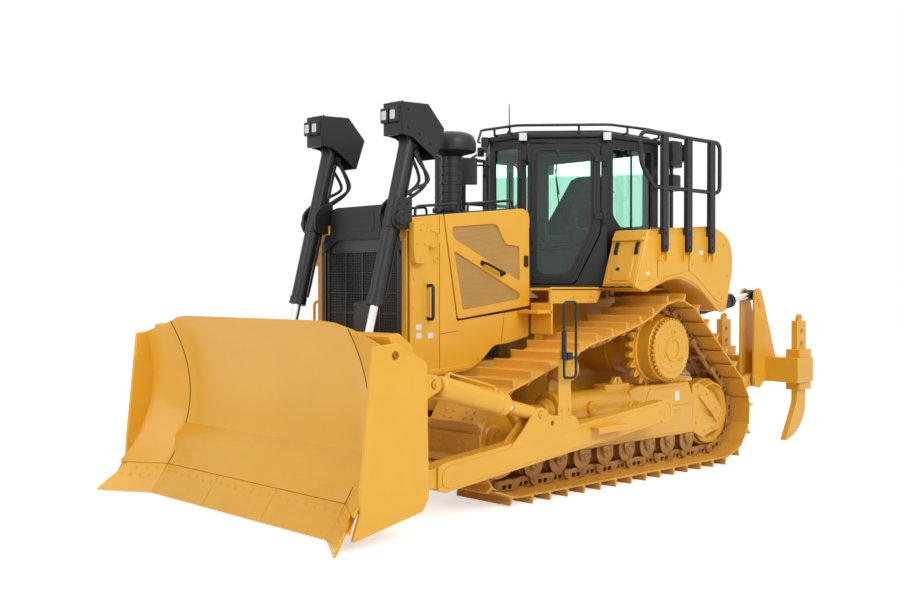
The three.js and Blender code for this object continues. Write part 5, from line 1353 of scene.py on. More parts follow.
def guard_corners():
    """Black facing strips down the guard's inner edges, chamfered at the top corners."""
    strip = [(0.492, 1.13), (0.528, 1.13), (0.528, 2.05), (0.492, 2.05)]
    corner = rounded([(0.528, 2.0), (0.528, 2.12), (0.47, 2.2), (0.3, 2.2), (0.3, 2.15), (0.492, 2.05)], 0.01,
                     2)
    return both(joined(plate(strip, GUARD_FRONT + 0.0005, GUARD_FRONT + 0.006, "x", 0.002),
                       plate(corner, GUARD_FRONT + 0.0005, GUARD_FRONT + 0.006, "x", 0.002)))


def guard_lining():
    """The black lining of the recess."""
    outer = rounded([(-0.4915, 1.1285), (0.4915, 1.1285), (0.4915, 2.1715), (-0.4915, 2.1715)], 0.03, 4)
    return plate(outer, GUARD_FRONT - 0.099, GUARD_FRONT - 0.003, "x", 0.001, [inset(outer, 0.007)])


def grille():
    """A louvred black grille: rounded slats, a frame, a header plate, and a centre cover box."""
    frame_ring = rounded([(-0.484, 1.136), (0.484, 1.136), (0.484, 2.164), (-0.484, 2.164)], 0.02, 3)
    frame_hole = rounded([(-0.452, 1.168), (0.452, 1.168), (0.452, 2.132), (-0.452, 2.132)], 0.01, 3)
    shapes = [block((GUARD_FRONT - 0.0435, -0.482, 1.138), (GUARD_FRONT - 0.036, 0.482, 2.16), 0.001, 0),
              plate(frame_ring, GUARD_FRONT - 0.04, GUARD_FRONT - 0.014, "x", 0.003, [frame_hole])]
    shapes += [block((GUARD_FRONT - 0.037, -0.45, z - 0.003), (GUARD_FRONT - 0.028, 0.45, z + 0.003), 0.001,
                     0)
               for z in np.arange(1.19, 2.04, 0.022)]
    shapes += [block((GUARD_FRONT - 0.0365, y - 0.003, 1.16), (GUARD_FRONT - 0.027, y + 0.003, 2.04), 0.001,
                     0)
               for y in np.arange(-0.44, 0.45, 0.022)]
    shapes += [block((GUARD_FRONT - 0.034, y - 0.008, 1.15), (GUARD_FRONT - 0.02, y + 0.008, 2.04), 0.002,
                     0.002)
               for y in (-0.225, 0.0, 0.225)]
    shapes += [block((GUARD_FRONT - 0.034, -0.45, z - 0.005), (GUARD_FRONT - 0.021, 0.45, z + 0.005), 0.002,
                     0.002)
               for z in (1.36, 1.53, 1.7, 1.87)]
    header = rounded([(-0.4, 2.04), (0.4, 2.04), (0.44, 2.155), (-0.44, 2.155)], 0.02, 3)
    shapes.append(plate(header, GUARD_FRONT - 0.03, GUARD_FRONT - 0.012, "x", 0.003))
    cover = rounded([(-0.1, 1.3), (0.12, 1.3), (0.16, 1.36), (0.16, 1.55), (0.06, 1.64), (-0.1, 1.62)], 0.02,
                    3)
    shapes.append(plate(cover, GUARD_FRONT - 0.035, GUARD_FRONT - 0.002, "x", 0.006))
    shapes.append(bolts([(GUARD_FRONT - 0.002, y, z) for y,
                         z in ((-0.07, 1.33), (0.12, 1.37), (-0.07, 1.58))],
                        (1, 0, 0), 0.008, 0.006))
    return joined(*shapes)


def hood():
    """The hood's black top with folded sides, and its rear wall."""
    low = 0.03
    section = [(1.331, hood_z(1.331) - low), (2.729, hood_z(2.729) - low), (2.729, hood_z(2.729)),
               (1.331, hood_z(1.331))]
    roof = plate(section, -HOOD_Y + 0.001, HOOD_Y - 0.001, "y", 0.006)
    wall = block((1.331, -0.57, 1.741), (1.351, 0.57, 2.428), 0.002, 0)
    ridges = [plate([(1.45, hood_z(1.45) - 0.002), (2.6, hood_z(2.6) - 0.002), (2.58, hood_z(2.58) + 0.009),
                     (1.47, hood_z(1.47) + 0.009)], y - 0.05, y + 0.05, "y", 0.004) for y in (-0.45, 0.0,
                         0.45)]
    return joined(roof, wall, *ridges)


def serrated(x0, x1, y0, y1, z, height=0.01):
    """A grip strip: saw teeth across its width on a thin base."""
    count = max(3, int((x1 - x0) / 0.022))
    teeth = [(x0, z)]
    for i in range(count):
        a = x0 + (x1 - x0) * i / count
        step = (x1 - x0) / count
        teeth += [(a + step * 0.25, z + height), (a + step * 0.75, z + height), (a + step * 0.98, z + 0.003)]
    outline = [*teeth, (x1, z - 0.006), (x0, z - 0.006)]
    return plate(outline, y0, y1, "y", 0.0)


def hood_rails():
    """Low round handrails along the hood's edges."""
    rails = []
    z = lambda x, up: hood_z(x) + up
    path = [(1.46, 0.565, z(1.46, -0.002)), (1.46, 0.565, z(1.46, 0.075)), (2.02, 0.565, z(2.02, 0.075)),
            (2.02, 0.565, z(2.02, -0.002))]
    rails.append(tube(rounded(path, 0.05, 5, closed=False), 0.012, 12))
    path = [(2.14, 0.565, z(2.14, -0.002)), (2.14, 0.565, z(2.14, 0.08)), (2.62, 0.565, z(2.62, 0.08)),
            (2.62, 0.565, z(2.62, -0.002))]
    rails.append(tube(rounded(path, 0.05, 5, closed=False), 0.012, 12))
    rails += [turned([(0.024, -0.003), (0.024, 0.004), (0.02, 0.006)], (x, 0.565, hood_z(x)), (0, 0, 1), 16)
              for x in (1.46, 2.02, 2.14, 2.62)]
    return both(joined(*rails))


def guard_trim():
    """A yellow grab handle that stands out from the guard's right-hand post."""
    path = [(GUARD_FRONT - 0.03, -0.584, 1.22), (GUARD_FRONT - 0.03, -0.69, 1.22),
            (GUARD_FRONT - 0.03, -0.69, 1.62),
            (GUARD_FRONT - 0.03, -0.584, 1.62)]
    return tube(rounded(path, 0.05, 6, closed=False), 0.013, 14)


SIDE_PANEL = [(2.72, 2.31), (2.355, 2.352), (2.195, 1.465), (1.3, 1.555), (1.3, 1.31), (1.6, 1.25),
              (1.74, 1.25),
              (1.9, 1.12), (2.05, 1.04), (2.72, 1.0)]


def side_panel():
    """The lower and front side panel, with pressed edges."""
    corners = rounded(SIDE_PANEL, (0.02, 0.01, 0.02, 0.02, 0.02, 0.06, 0.06, 0.06, 0.06, 0.02), 4)
    shapes = [plate(corners, HOOD_Y + 0.001, PANEL_Y - 0.006, "y", 0.004)]
    boss = turned([(0.085, 0), (0.085, 0.024), (0.078, 0.031), (0.056, 0.031), (0.052, 0.024), (0.03, 0.024)],
                  (2.5, PANEL_Y - 0.006, 2.15), (0, 1, 0), 36)
    shapes.append(boss)
    shapes.append(bolts(circle_places((2.5, PANEL_Y + 0.024, 2.15), 0.067, 5), (0, 1, 0), 0.009, 0.008))
    bracket = rounded([(2.575, 2.0), (2.62, 1.935), (2.715, 1.935), (2.735, 2.05), (2.735, 2.27),
                       (2.62, 2.28),
                       (2.575, 2.2)], 0.02, 3)
    shapes.append(plate(bracket, PANEL_Y - 0.008, PANEL_Y + 0.058, "y", 0.006))
    shapes.append(bolts([(x, PANEL_Y + 0.058, z) for x,
                         z in ((2.66, 1.99), (2.7, 2.1), (2.62, 2.1), (2.66, 2.21))],
                        (0, 1, 0), 0.009, 0.008))
    lock = turned([(0.03, 0), (0.03, 0.006), (0.026, 0.008), (0.012, 0.008), (0.011, 0.002)],
                  (2.44, PANEL_Y - 0.006, 1.98), (0, 1, 0), 24)
    shapes.append(lock)
    foot = rounded([(2.05, 1.06), (2.7, 1.015), (2.7, 1.05), (2.05, 1.1)], 0.008, 2)
    shapes.append(plate(foot, PANEL_Y - 0.008, PANEL_Y + 0.004, "y", 0.003))
    studs = [(x, PANEL_Y - 0.006, z) for x, z in ((2.68, 1.12), (2.68, 1.34), (2.68, 1.58), (2.68, 1.82),
                                                  (1.36, 1.36),
                                                  (1.36, 1.5), (1.62, 1.3), (1.95, 1.14))]
    shapes.append(bolts(studs, (0, 1, 0), 0.009, 0.008))
    return joined(*shapes)


def panel_seams():
    """Thin dark strips on the panel faces: painted shade where the gaps between the panels are."""
    y = PANEL_Y - 0.0052
    lines = [[(2.4, 2.338), (2.4, 1.06)], [(2.195, 1.38), (2.4, 1.36)], [(1.62, 1.535), (1.66, 1.27)]]
    shapes = []
    for (x0, z0), (x1, z1) in lines:
        along = np.array([x1 - x0, z1 - z0])
        side = np.array([-along[1], along[0]]) / np.linalg.norm(along) * 0.002
        a, b = np.array([x0, z0]), np.array([x1, z1])
        shapes.append(plate([a + side, a - side, b - side, b + side], y, y + 0.0006, "y", 0.0))
    return joined(*shapes)


def panel_handle():
    """The C handle on the front side panel."""
    y = PANEL_Y - 0.006
    path = [(2.53, y, 1.49), (2.53, y + 0.065, 1.485), (2.53, y + 0.065, 1.765), (2.53, y, 1.76)]
    return tube(rounded(path, 0.03, 5, closed=False), 0.014, 14)


DOOR = [(2.348, hood_z(2.348) - 0.003), (1.382, hood_z(1.382) - 0.003), (1.304, 2.413), (1.294, 1.582),
        (2.188, 1.479)]
UPPER_CUT = [(2.26, 2.25), (1.72, 2.3), (1.6, 2.12), (1.43, 2.11), (1.42, 1.8), (2.24, 2.16)]
LOWER_CUT = [(2.23, 2.05), (1.42, 1.69), (1.42, 1.64), (2.13, 1.555)]


def engine_door():
    """The engine door: a framed panel with two screened openings and a diagonal brace between them."""
    outline = rounded(DOOR, (0.03, 0.03, 0.02, 0.02, 0.03), 4)
    holes = [rounded(UPPER_CUT, (0.03, 0.05, 0.03, 0.03, 0.03, 0.03), 4), rounded(LOWER_CUT, 0.025, 4)]
    shapes = [plate(outline, HOOD_Y + 0.001, PANEL_Y - 0.001, "y", 0.004, holes)]
    for z in (1.66, 2.33):
        shapes.append(block((1.3, PANEL_Y - 0.002, z - 0.05), (1.345, PANEL_Y, z + 0.05), 0.0005, 0.004))
    return joined(*shapes)


def door_screens():
    """Thin sheets behind the engine door's two openings, a little larger than they are."""
    y = HOOD_Y + 0.006
    outlines = [inset(rounded(cut, 0.02, 3), -0.006) for cut in (UPPER_CUT, LOWER_CUT)]
    return joined(*[plate(outline, y, y + 0.003, "y", 0.0) for outline in outlines])


def door_hardware():
    """The brace's loop handle and a paddle latch near the rear edge."""
    y = PANEL_Y - 0.002
    a, b = np.array([1.66, 1.865]), np.array([1.9, 1.955])
    path = [(a[0], y, a[1]), (a[0], y + 0.05, a[1]), (b[0], y + 0.05, b[1]), (b[0], y, b[1])]
    handle = tube(rounded(path, 0.03, 5, closed=False), 0.013, 12)
    flange = [turned([(0.024, 0), (0.024, 0.005), (0.02, 0.007)], (p[0], y, p[1]), (0, 1, 0), 16) for p in (a,
        b)]
    latch = block((1.33, y, 1.93), (1.372, y + 0.022, 2.03), 0.004, 0.008)
    return joined(handle, *flange, latch)


def air_cleaner():
    """The air cleaner: a ribbed column with a broad round cap that draws air under its rim."""
    base = (1.96, 0.3, hood_z(1.96 - 0.11) + 0.001)
    profile = [(0.108, 0), (0.109, 0.004), (0.109, 0.026), (0.094, 0.032)]
    for z in np.arange(0.1, 0.46, 0.075):
        profile += [(0.09, z - 0.012), (0.0945, z - 0.008), (0.0945, z + 0.008), (0.09, z + 0.012)]
    profile += [(0.09, 0.478), (0.11, 0.494), (0.205, 0.518), (0.216, 0.526), (0.219, 0.54), (0.219, 0.594),
                (0.216, 0.612), (0.203, 0.652), (0.18, 0.672), (0.14, 0.688), (0.06, 0.6895)]
    fins = []
    for angle in np.arange(24) * np.pi / 12:
        c, s = math.cos(angle), math.sin(angle)
        origin = [base[0] + 0.2165 * c, base[1] + 0.2165 * s, base[2] + 0.565]
        fins.append((origin, [[c, s, 0], [-s, c, 0], [0, 0, 1]]))
    fin = block((-0.002, -0.006, -0.022), (0.0025, 0.006, 0.022), 0.001, 0)
    fin_shape = copies(fin, [f[0] for f in fins], [f[1] for f in fins])
    clamp = turned([(0.095, 0.235), (0.099, 0.238), (0.099, 0.256), (0.095, 0.259)], base, (0, 0, 1), 40)
    return joined(turned(profile, base, (0, 0, 1), 56), fin_shape, clamp)


def exhaust():
    """The exhaust stack: a shield tube with a pipe inside, and two rings round the shield."""
    base = (1.5, -0.3, hood_z(1.5 - 0.095) + 0.001)
    profile = [(0.094, 0), (0.0945, 0.004), (0.0945, 0.036), (0.073, 0.058), (0.0715, 0.07), (0.0715, 0.556),
               (0.068, 0.57), (0.06, 0.574), (0.059, 0.56), (0.059, 0.41)]
    rings = [turned([(0.0717, z - 0.006), (0.0742, z - 0.003), (0.0742, z + 0.003), (0.0717, z + 0.006)],
                    base,
                    (0, 0, 1), 36) for z in (0.14, 0.5)]
    return joined(turned(profile, base, (0, 0, 1), 40), *rings)


def engine():
    """The engine block seen through the bay: crankcase, head, filter bowls and pipes."""
    shapes = [block((1.37, -0.33, 1.115), (2.28, 0.33, 1.66), 0.012, 0.03),
              block((1.42, -0.24, 1.66), (2.24, 0.24, 1.92), 0.012, 0.03),
              block((1.45, -0.16, 1.92), (2.2, 0.16, 2.045), 0.01, 0.04)]
    for x in (1.55, 1.75, 1.95):
        shapes.append(both(turned([(0.055, 0), (0.055, 0.2), (0.045, 0.22)], (x, 0.285, 1.665), (0, 0, 1),
                                  24)))
    return joined(*shapes)


def engine_bay():
    """Guard, grille, hood, side panels and engine doors."""
    piece("radiator_guard_box", radiator_guard(), YELLOW, "root", ["radiator_guard"])
    piece("guard_lining", guard_lining(), BLACK)
    piece("cylinder_yokes", cylinder_yokes(), BLACK)
    piece("guard_header", header_plate(), BLACK)
    piece("guard_facing", guard_corners(), BLACK)
    piece("grille_louvres", grille(), MESH, "root", ["grille"])
    piece("hood_top", hood(), BLACK, "root", ["hood"])
    piece("hood_rails", hood_rails(), BLACK)
    piece("guard_grab_handle", guard_trim(), YELLOW)
    pair("side_panel_skin", side_panel(), YELLOW, "root", ["side_panel"])
    pair("side_panel_seams", panel_seams(), SEAM_SHADE)
    pair("side_panel_handle", panel_handle(), BLACK)
    pair("engine_door_frame", engine_door(), YELLOW, "engine_door", ["engine_door"])
    pair("engine_door_screen", door_screens(), SCREEN, "engine_door")
    pair("engine_door_hardware", door_hardware(), BLACK, "engine_door")
    piece("air_cleaner_column", air_cleaner(), BLACK, "root", ["air_cleaner"])
    piece("exhaust_stack_pipe", exhaust(), BLACK, "root", ["exhaust_stack"])
    piece("engine_casting", engine(), ENGINE, "root", ["engine_block"])

# ---------------------------------------------------------------- cab

CAB_FRONT, CAB_SIDE_X, CAB_REAR = 0.95, 0.41, -0.4
CAB_FRONT_Y, CAB_SIDE_Y = 0.21, 0.8
DECK = 1.742
CAB_TOP = 3.15
WINDOW_TOP = 3.08
REAR_WINDOW_LOW = 2.34
DOOR_WALL = math.hypot(CAB_FRONT - CAB_SIDE_X, CAB_SIDE_Y - CAB_FRONT_Y)
DOOR_ALONG = np.array([CAB_FRONT - CAB_SIDE_X, CAB_FRONT_Y - CAB_SIDE_Y]) / DOOR_WALL
DOOR_OUT = np.array([-DOOR_ALONG[1], DOOR_ALONG[0]])


def cab_plan(inwards, corner=0.03):
    """The cab's plan moved inwards, with rounded corner posts."""
    slant = math.atan2(CAB_SIDE_Y - CAB_FRONT_Y, CAB_FRONT - CAB_SIDE_X)
    front = inwards * math.tan((math.pi / 2 - slant) / 2)
    side = inwards * math.tan(slant / 2)
    left = [(CAB_FRONT - inwards, CAB_FRONT_Y - front), (CAB_SIDE_X - side, CAB_SIDE_Y - inwards),
            (CAB_REAR + inwards, CAB_SIDE_Y - inwards)]
    return rounded(left + [(x, -y) for x, y in reversed(left)], corner, 4)


def on_door_wall(s, out, z):
    """A place by the slanted door wall: along it from its rear corner, outwards, and up."""
    x, y = np.array([CAB_SIDE_X, CAB_SIDE_Y]) + DOOR_ALONG * s + DOOR_OUT * out
    return np.array([x, y, z])


def door_wall_plate(outline, near, far, bevel=0.003, holes=()):
    """A plate in the slanted wall, its outline given along the wall and up."""
    points, faces = plate(outline, near, far, "y", bevel, holes)
    x, y = (np.array([[CAB_SIDE_X, CAB_SIDE_Y]]) + points[:, :1] * DOOR_ALONG + points[:, 1:2] * DOOR_OUT).T
    return outward((np.stack([x, y, points[:, 2]], 1), faces))


def door_outline(inwards, corner):
    """The door: its lower rear corner is cut away, and its lower front corner leans in a little."""
    rear, front = 0.06 + inwards, DOOR_WALL - 0.05 - inwards
    low, top = DECK + 0.035 + inwards, CAB_TOP - 0.045 - inwards
    return rounded([(rear, top), (rear, 2.26 + inwards * 0.6), (0.3 + inwards * 0.6, low), (front, low),
                    (front, top)],
                   corner, 5)


SIDE_WINDOW = [(0.33, WINDOW_TOP), (-0.31, WINDOW_TOP), (-0.31, 2.3), (0.2, 2.3), (0.33, 2.42)]


def side_window(inwards, corner=0.05):
    """The side window's rounded outline, moved inwards by a distance."""
    return inset(rounded(SIDE_WINDOW, corner, 5), inwards)


def cab_walls():
    """The cab's black walls: posts and sills round the door, side, front and rear windows."""
    low, high = DECK + 0.001, CAB_TOP - 0.001
    shapes = []
    door = door_outline(-0.005, 0.05)
    posts = [(0, low), (DOOR_WALL, low), (DOOR_WALL, high), (0, high)]
    left = [door_wall_plate(posts, -0.049, -0.0005, 0.003, [door])]
    side_hole = side_window(-0.002)
    wall = [(CAB_SIDE_X + 0.002, low), (CAB_SIDE_X + 0.002, high), (CAB_REAR, high), (CAB_REAR, low)]
    left.append(plate(wall, CAB_SIDE_Y - 0.05, CAB_SIDE_Y - 0.0005, "y", 0.003, [side_hole]))
    left.append(round_bar((CAB_SIDE_X - 0.012, CAB_SIDE_Y - 0.018, low),
                          (CAB_SIDE_X - 0.012, CAB_SIDE_Y - 0.018, high),
                          0.0178, 20))
    shapes.append(both(joined(*left)))
    front_hole = rounded([(-0.163, 1.962), (0.163, 1.962), (0.163, WINDOW_TOP - 0.002),
                          (-0.163, WINDOW_TOP - 0.002)], 0.03, 4)
    shapes.append(plate([(-CAB_FRONT_Y, low), (CAB_FRONT_Y, low), (CAB_FRONT_Y, high), (-CAB_FRONT_Y, high)],
                        CAB_FRONT - 0.05, CAB_FRONT - 0.0005, "x", 0.003, [front_hole]))
    rear_hole = rounded([(-0.638, REAR_WINDOW_LOW + 0.002), (0.638, REAR_WINDOW_LOW + 0.002),
                         (0.638, WINDOW_TOP - 0.002), (-0.638, WINDOW_TOP - 0.002)], 0.03, 4)
    shapes.append(plate([(-CAB_SIDE_Y + 0.003, low), (CAB_SIDE_Y - 0.003, low), (CAB_SIDE_Y - 0.003, high),
                         (-CAB_SIDE_Y + 0.003, high)], CAB_REAR + 0.0005, CAB_REAR + 0.05, "x", 0.003,
                         [rear_hole]))
    shapes.append(block((CAB_REAR - 0.159, -0.519, 1.901), (CAB_REAR + 0.004, 0.519, 2.259), 0.01, 0.02))
    slats = [block((CAB_REAR - 0.1595, -0.36, z - 0.006), (CAB_REAR - 0.157, 0.36, z + 0.006), 0.0004, 0)
             for z in np.arange(1.96, 2.22, 0.032)]
    return joined(*shapes, *slats)


def cab_seals():
    """Rubber seals round the fixed windows."""
    left = [plate(side_window(-0.004), CAB_SIDE_Y - 0.026, CAB_SIDE_Y - 0.003, "y", 0.002,
                  [side_window(0.014)])]
    bar = [(0.005, 2.31), (0.027, 2.31), (0.027, WINDOW_TOP - 0.01), (0.005, WINDOW_TOP - 0.01)]
    left.append(plate(bar, CAB_SIDE_Y - 0.027, CAB_SIDE_Y - 0.012, "y", 0.002))
    front = lambda i: rounded([(-0.163 + i, 1.962 + i), (0.163 - i, 1.962 + i),
                               (0.163 - i, WINDOW_TOP - 0.002 - i),
                               (-0.163 + i, WINDOW_TOP - 0.002 - i)], 0.03, 4)
    rear = lambda i: rounded([(-0.638 + i, REAR_WINDOW_LOW + 0.002 + i),
                              (0.638 - i, REAR_WINDOW_LOW + 0.002 + i), (0.638 - i, WINDOW_TOP - 0.002 - i),
                              (-0.638 + i, WINDOW_TOP - 0.002 - i)], 0.03, 4)
    return joined(both(joined(*left)),
                  plate(front(-0.002), CAB_FRONT - 0.026, CAB_FRONT - 0.004, "x", 0.002, [front(0.014)]),
                  plate(rear(-0.002), CAB_REAR + 0.004, CAB_REAR + 0.026, "x", 0.002, [rear(0.014)]))


def cab_door():
    """The door's rounded frame, its pressed inner step, and the hinge knuckles."""
    shapes = [door_wall_plate(door_outline(0.001, 0.055), -0.044, 0.0, 0.006, [door_outline(0.086, 0.085)]),
              door_wall_plate(door_outline(0.04, 0.075), -0.002, 0.006, 0.003, [door_outline(0.07, 0.085)])]
    for z in (2.38, 2.92):
        shapes.append(round_bar(on_door_wall(0.03, 0.016, z), on_door_wall(0.03, 0.016, z + 0.07), 0.0152,
                                20))
        leaf = rounded([(0.032, z + 0.004), (0.118, z + 0.004), (0.118, z + 0.066), (0.032, z + 0.066)], 0.01,
                       3)
        shapes.append(door_wall_plate(leaf, 0.004, 0.022, 0.003))
    return joined(*shapes)


def door_fittings():
    """The outside handle, its grab bar and the lock, near the door's front edge."""
    front = DOOR_WALL - 0.05 - 0.04
    path = [on_door_wall(front, 0.004, 2.16), on_door_wall(front, 0.055, 2.19),
            on_door_wall(front, 0.055, 2.44),
            on_door_wall(front, 0.004, 2.47)]
    bar = tube(rounded(path, 0.03, 5, closed=False), 0.011, 12)
    box = door_wall_plate(rounded([(front - 0.035, 2.08), (front + 0.03, 2.08), (front + 0.03, 2.135),
                                   (front - 0.035, 2.135)], 0.01, 3), 0.003, 0.022, 0.004)
    return joined(bar, box)


def door_seal():
    """The rubber frame just inside the cab door's rim."""
    return door_wall_plate(door_outline(0.078, 0.085), -0.03, -0.004, 0.002, [door_outline(0.098, 0.085)])


def hinge_posts():
    """The knuckles and leaves that stay on the cab."""
    shapes = []
    for z in (2.38, 2.92):
        shapes.append(round_bar(on_door_wall(0.03, 0.016, z - 0.04), on_door_wall(0.03, 0.016, z - 0.001),
                                0.0152, 20))
        leaf = rounded([(0.008, z - 0.038), (0.03, z - 0.038), (0.03, z - 0.002), (0.008, z - 0.002)], 0.006,
                       2)
        shapes.append(door_wall_plate(leaf, -0.002, 0.014, 0.002))
    return both(joined(*shapes))


def cab_glass(kind):
    """One pane of the cab: a thin plate with the outline of its opening."""
    if kind == "door":
        return door_wall_plate(door_outline(0.088, 0.085), -0.02, -0.013, 0.001)
    if kind == "side":
        return plate(side_window(0.002), CAB_SIDE_Y - 0.03, CAB_SIDE_Y - 0.0225, "y", 0.001)
    if kind == "front":
        ring = rounded([(-0.16, 1.965), (0.16, 1.965), (0.16, WINDOW_TOP - 0.005),
                        (-0.16, WINDOW_TOP - 0.005)], 0.03, 4)
        return plate(ring, CAB_FRONT - 0.03, CAB_FRONT - 0.0225, "x", 0.001)
    ring = rounded([(-0.635, REAR_WINDOW_LOW + 0.005), (0.635, REAR_WINDOW_LOW + 0.005),
                    (0.635, WINDOW_TOP - 0.005), (-0.635, WINDOW_TOP - 0.005)], 0.03, 4)
    return plate(ring, CAB_REAR + 0.0225, CAB_REAR + 0.0299, "x", 0.001)


def cab_roof():
    """The roof: a slab with a folded brow, a raised middle, and the aerial on its foot."""
    low, high = CAB_TOP + 0.001, CAB_TOP + 0.08
    shapes = [plate(cab_plan(-0.029, 0.05), low, high - 0.031, "z", 0.01),
              plate(cab_plan(0.041, 0.07), high - 0.033, high - 0.001, "z", 0.01)]
    ribs = [block((x - 0.012, -0.56, high - 0.0015), (x + 0.012, 0.56, high + 0.003), 0.0015, 0.01)
            for x in (-0.22, 0.0, 0.22)]
    aerial = turned([(0.022, 0), (0.022, 0.01), (0.012, 0.022), (0.0075, 0.03), (0.0065, 0.05),
                     (0.0035, 0.279),
                     (0.002, 0.2795)], (0.9, 0, high - 0.003), (0, 0, 1), 16)
    gutter = plate(cab_plan(-0.0295, 0.05), low + 0.016, low + 0.024, "z", 0.001)
    return joined(*shapes, *ribs, aerial, gutter)


def roof_lamps():
    """Square work lamps under the roof's edge, and their brackets."""
    shapes, lenses = [], []
    for s, z in ((DOOR_WALL - 0.01, CAB_TOP + 0.008), (0.005, CAB_TOP + 0.008)):
        spot = on_door_wall(s, 0.055, z)
        c, n = DOOR_ALONG, DOOR_OUT
        basis = [[c[0], c[1], 0], [n[0], n[1], 0], [0, 0, 1]]
        body = block((-0.045, -0.04, -0.048), (0.045, 0.03, 0.042), 0.006, 0.01)
        lens = block((-0.036, 0.029, -0.039), (0.036, 0.034, 0.033), 0.002, 0.006)
        shapes.append(copies(body, [spot], [basis]))
        lenses.append(copies(lens, [spot], [basis]))
    return both(joined(*shapes)), both(joined(*lenses))


def roof_rail():
    """A tube rail over the roof's front and sides that joins the guard rails behind."""
    z = 3.262
    left = [(1.045, 0.0, z), (1.045, 0.235, z), (0.46, 0.865, z), (0.1, 0.905, z), (-0.42, 0.905, z)]
    rail = tube(rounded(left, 0.06, 6, closed=False), 0.0125, 12)
    posts = [tube([(x, y, 3.2), (x, y, z)], 0.011, 12) for x,
             y in ((1.0, 0.1), (0.62, 0.63), (0.2, 0.875), (-0.3, 0.875))]
    feet = [tube(rounded([(1.0, 0.1, 3.21), (0.93, 0.1, 3.2)], 0.01, 2, closed=False), 0.011, 10),
            tube([(0.62, 0.63, 3.205), (0.56, 0.57, 3.195)], 0.011, 10),
            tube([(0.2, 0.875, 3.205), (0.2, 0.8, 3.195)], 0.011, 10),
            tube([(-0.3, 0.875, 3.205), (-0.3, 0.8, 3.195)], 0.011, 10)]
    link = [tube([(1.0, 0.1, z), (1.045, 0.1, z)], 0.011, 10)]
    return both(joined(rail, *posts, *feet, *link))


def mirrors():
    """Folding mirrors on short arms at the cab's front corners."""
    foot = on_door_wall(DOOR_WALL - 0.06, 0.0, 2.92)
    tip = on_door_wall(DOOR_WALL + 0.02, 0.2, 2.9)
    arm = tube(rounded([foot, (foot + tip) / 2 + [0.02, 0, 0.03], tip], 0.05, 5, closed=False), 0.009, 12)
    c, n = DOOR_ALONG, DOOR_OUT
    shell = block((-0.012, -0.075, -0.16), (0.014, 0.075, 0.1), 0.006, 0.012)
    return both(joined(arm, copies(shell, [tip], [[[c[0], c[1], 0], [n[0], n[1], 0], [0, 0, 1]]])))


def wipers():
    """Parked wipers on the windscreen and the rear window."""
    front = joined(tube([(CAB_FRONT + 0.004, -0.02, 1.93), (CAB_FRONT + 0.012, 0.02, 2.2),
                         (CAB_FRONT + 0.004, 0.05, 2.5)],
                        0.006, 8),
                   turned([(0.018, 0), (0.018, 0.018), (0.012, 0.022)], (CAB_FRONT - 0.002, -0.02, 1.93),
                          (1, 0, 0), 14),
                   block((CAB_FRONT - 0.016, 0.035, 2.22), (CAB_FRONT - 0.006, 0.047, 2.85), 0.002, 0.002))
    rear = joined(tube([(CAB_REAR - 0.004, 0.25, 2.72), (CAB_REAR - 0.01, 0.1, 2.82),
                        (CAB_REAR - 0.003, -0.05, 2.9)],
                       0.006, 8))
    return joined(front, rear)


def door_wiper():
    """The door's wiper: an arm bent along the pane, and its blade."""
    front = 0.46
    return joined(
        tube([on_door_wall(front, 0.004, 3.03), on_door_wall(front + 0.02, 0.014, 2.8),
              on_door_wall(front - 0.01, 0.003, 2.62)], 0.006, 8),
        door_wall_plate([(front - 0.02, 2.45), (front - 0.008, 2.45), (front + 0.03, 2.86),
                         (front + 0.018, 2.86)],
                        -0.012, -0.003, 0.001),
        turned([(0.02, 0), (0.02, 0.014), (0.014, 0.018)], on_door_wall(front, 0.003, 3.03),
               (DOOR_OUT[0], DOOR_OUT[1], 0), 14))


def cab_base():
    """The cab's deck, skirts and steps, with grip edges."""
    deck = plate(rounded([(1.289, -0.869), (1.289, 0.869), (-0.459, 0.869), (-0.459, -0.869)], 0.01, 2),
                 1.7185, 1.7415,
                 "z", 0.003)
    skirt = rounded([(1.289, 1.735), (1.289, 1.602), (0.642, 1.602), (0.562, 1.735)], 0.012, 3)
    left = [plate(skirt, 0.841, 0.869, "y", 0.004),
            block((1.271, 0.632, 1.516), (1.459, 0.869, 1.544), 0.003, 0.008),
            block((1.263, 0.632, 1.331), (1.289, 0.869, 1.609), 0.003, 0)]
    left.append(moved(serrated(1.3, 1.455, 0.845, 0.867, 1.544, 0.006), (0, 0, 0)))
    left.append(serrated(0.62, 1.285, 0.852, 0.8685, 1.7412, 0.008))
    studs = [(x, 0.869, 1.665) for x in (0.74, 0.98, 1.22)]
    left.append(bolts(studs, (0, 1, 0), 0.01, 0.009))
    return joined(deck, both(joined(*left)))


def cab_console():
    """The dash, the armrest boxes and the seat's stand."""
    dash = rounded([(0.562, 1.738), (0.778, 1.738), (0.818, 2.378), (0.702, 2.478), (0.602, 2.4)],
                   (0.01, 0.02, 0.05, 0.05, 0.04), 4)
    shapes = [plate(dash, -0.149, 0.149, "y", 0.008), block((0.592, -0.229, 2.182), (0.638, 0.229, 2.418),
                                                            0.006, 0.02),
              block((-0.138, -0.218, 1.738), (0.258, 0.218, 2.058), 0.01, 0.02),
              block((-0.058, -0.378, 2.002), (0.118, 0.378, 2.134), 0.008, 0.02)]
    arm = both(block((-0.118, 0.272, 2.132), (0.378, 0.378, 2.328), 0.012, 0.03))
    return joined(*shapes, arm)


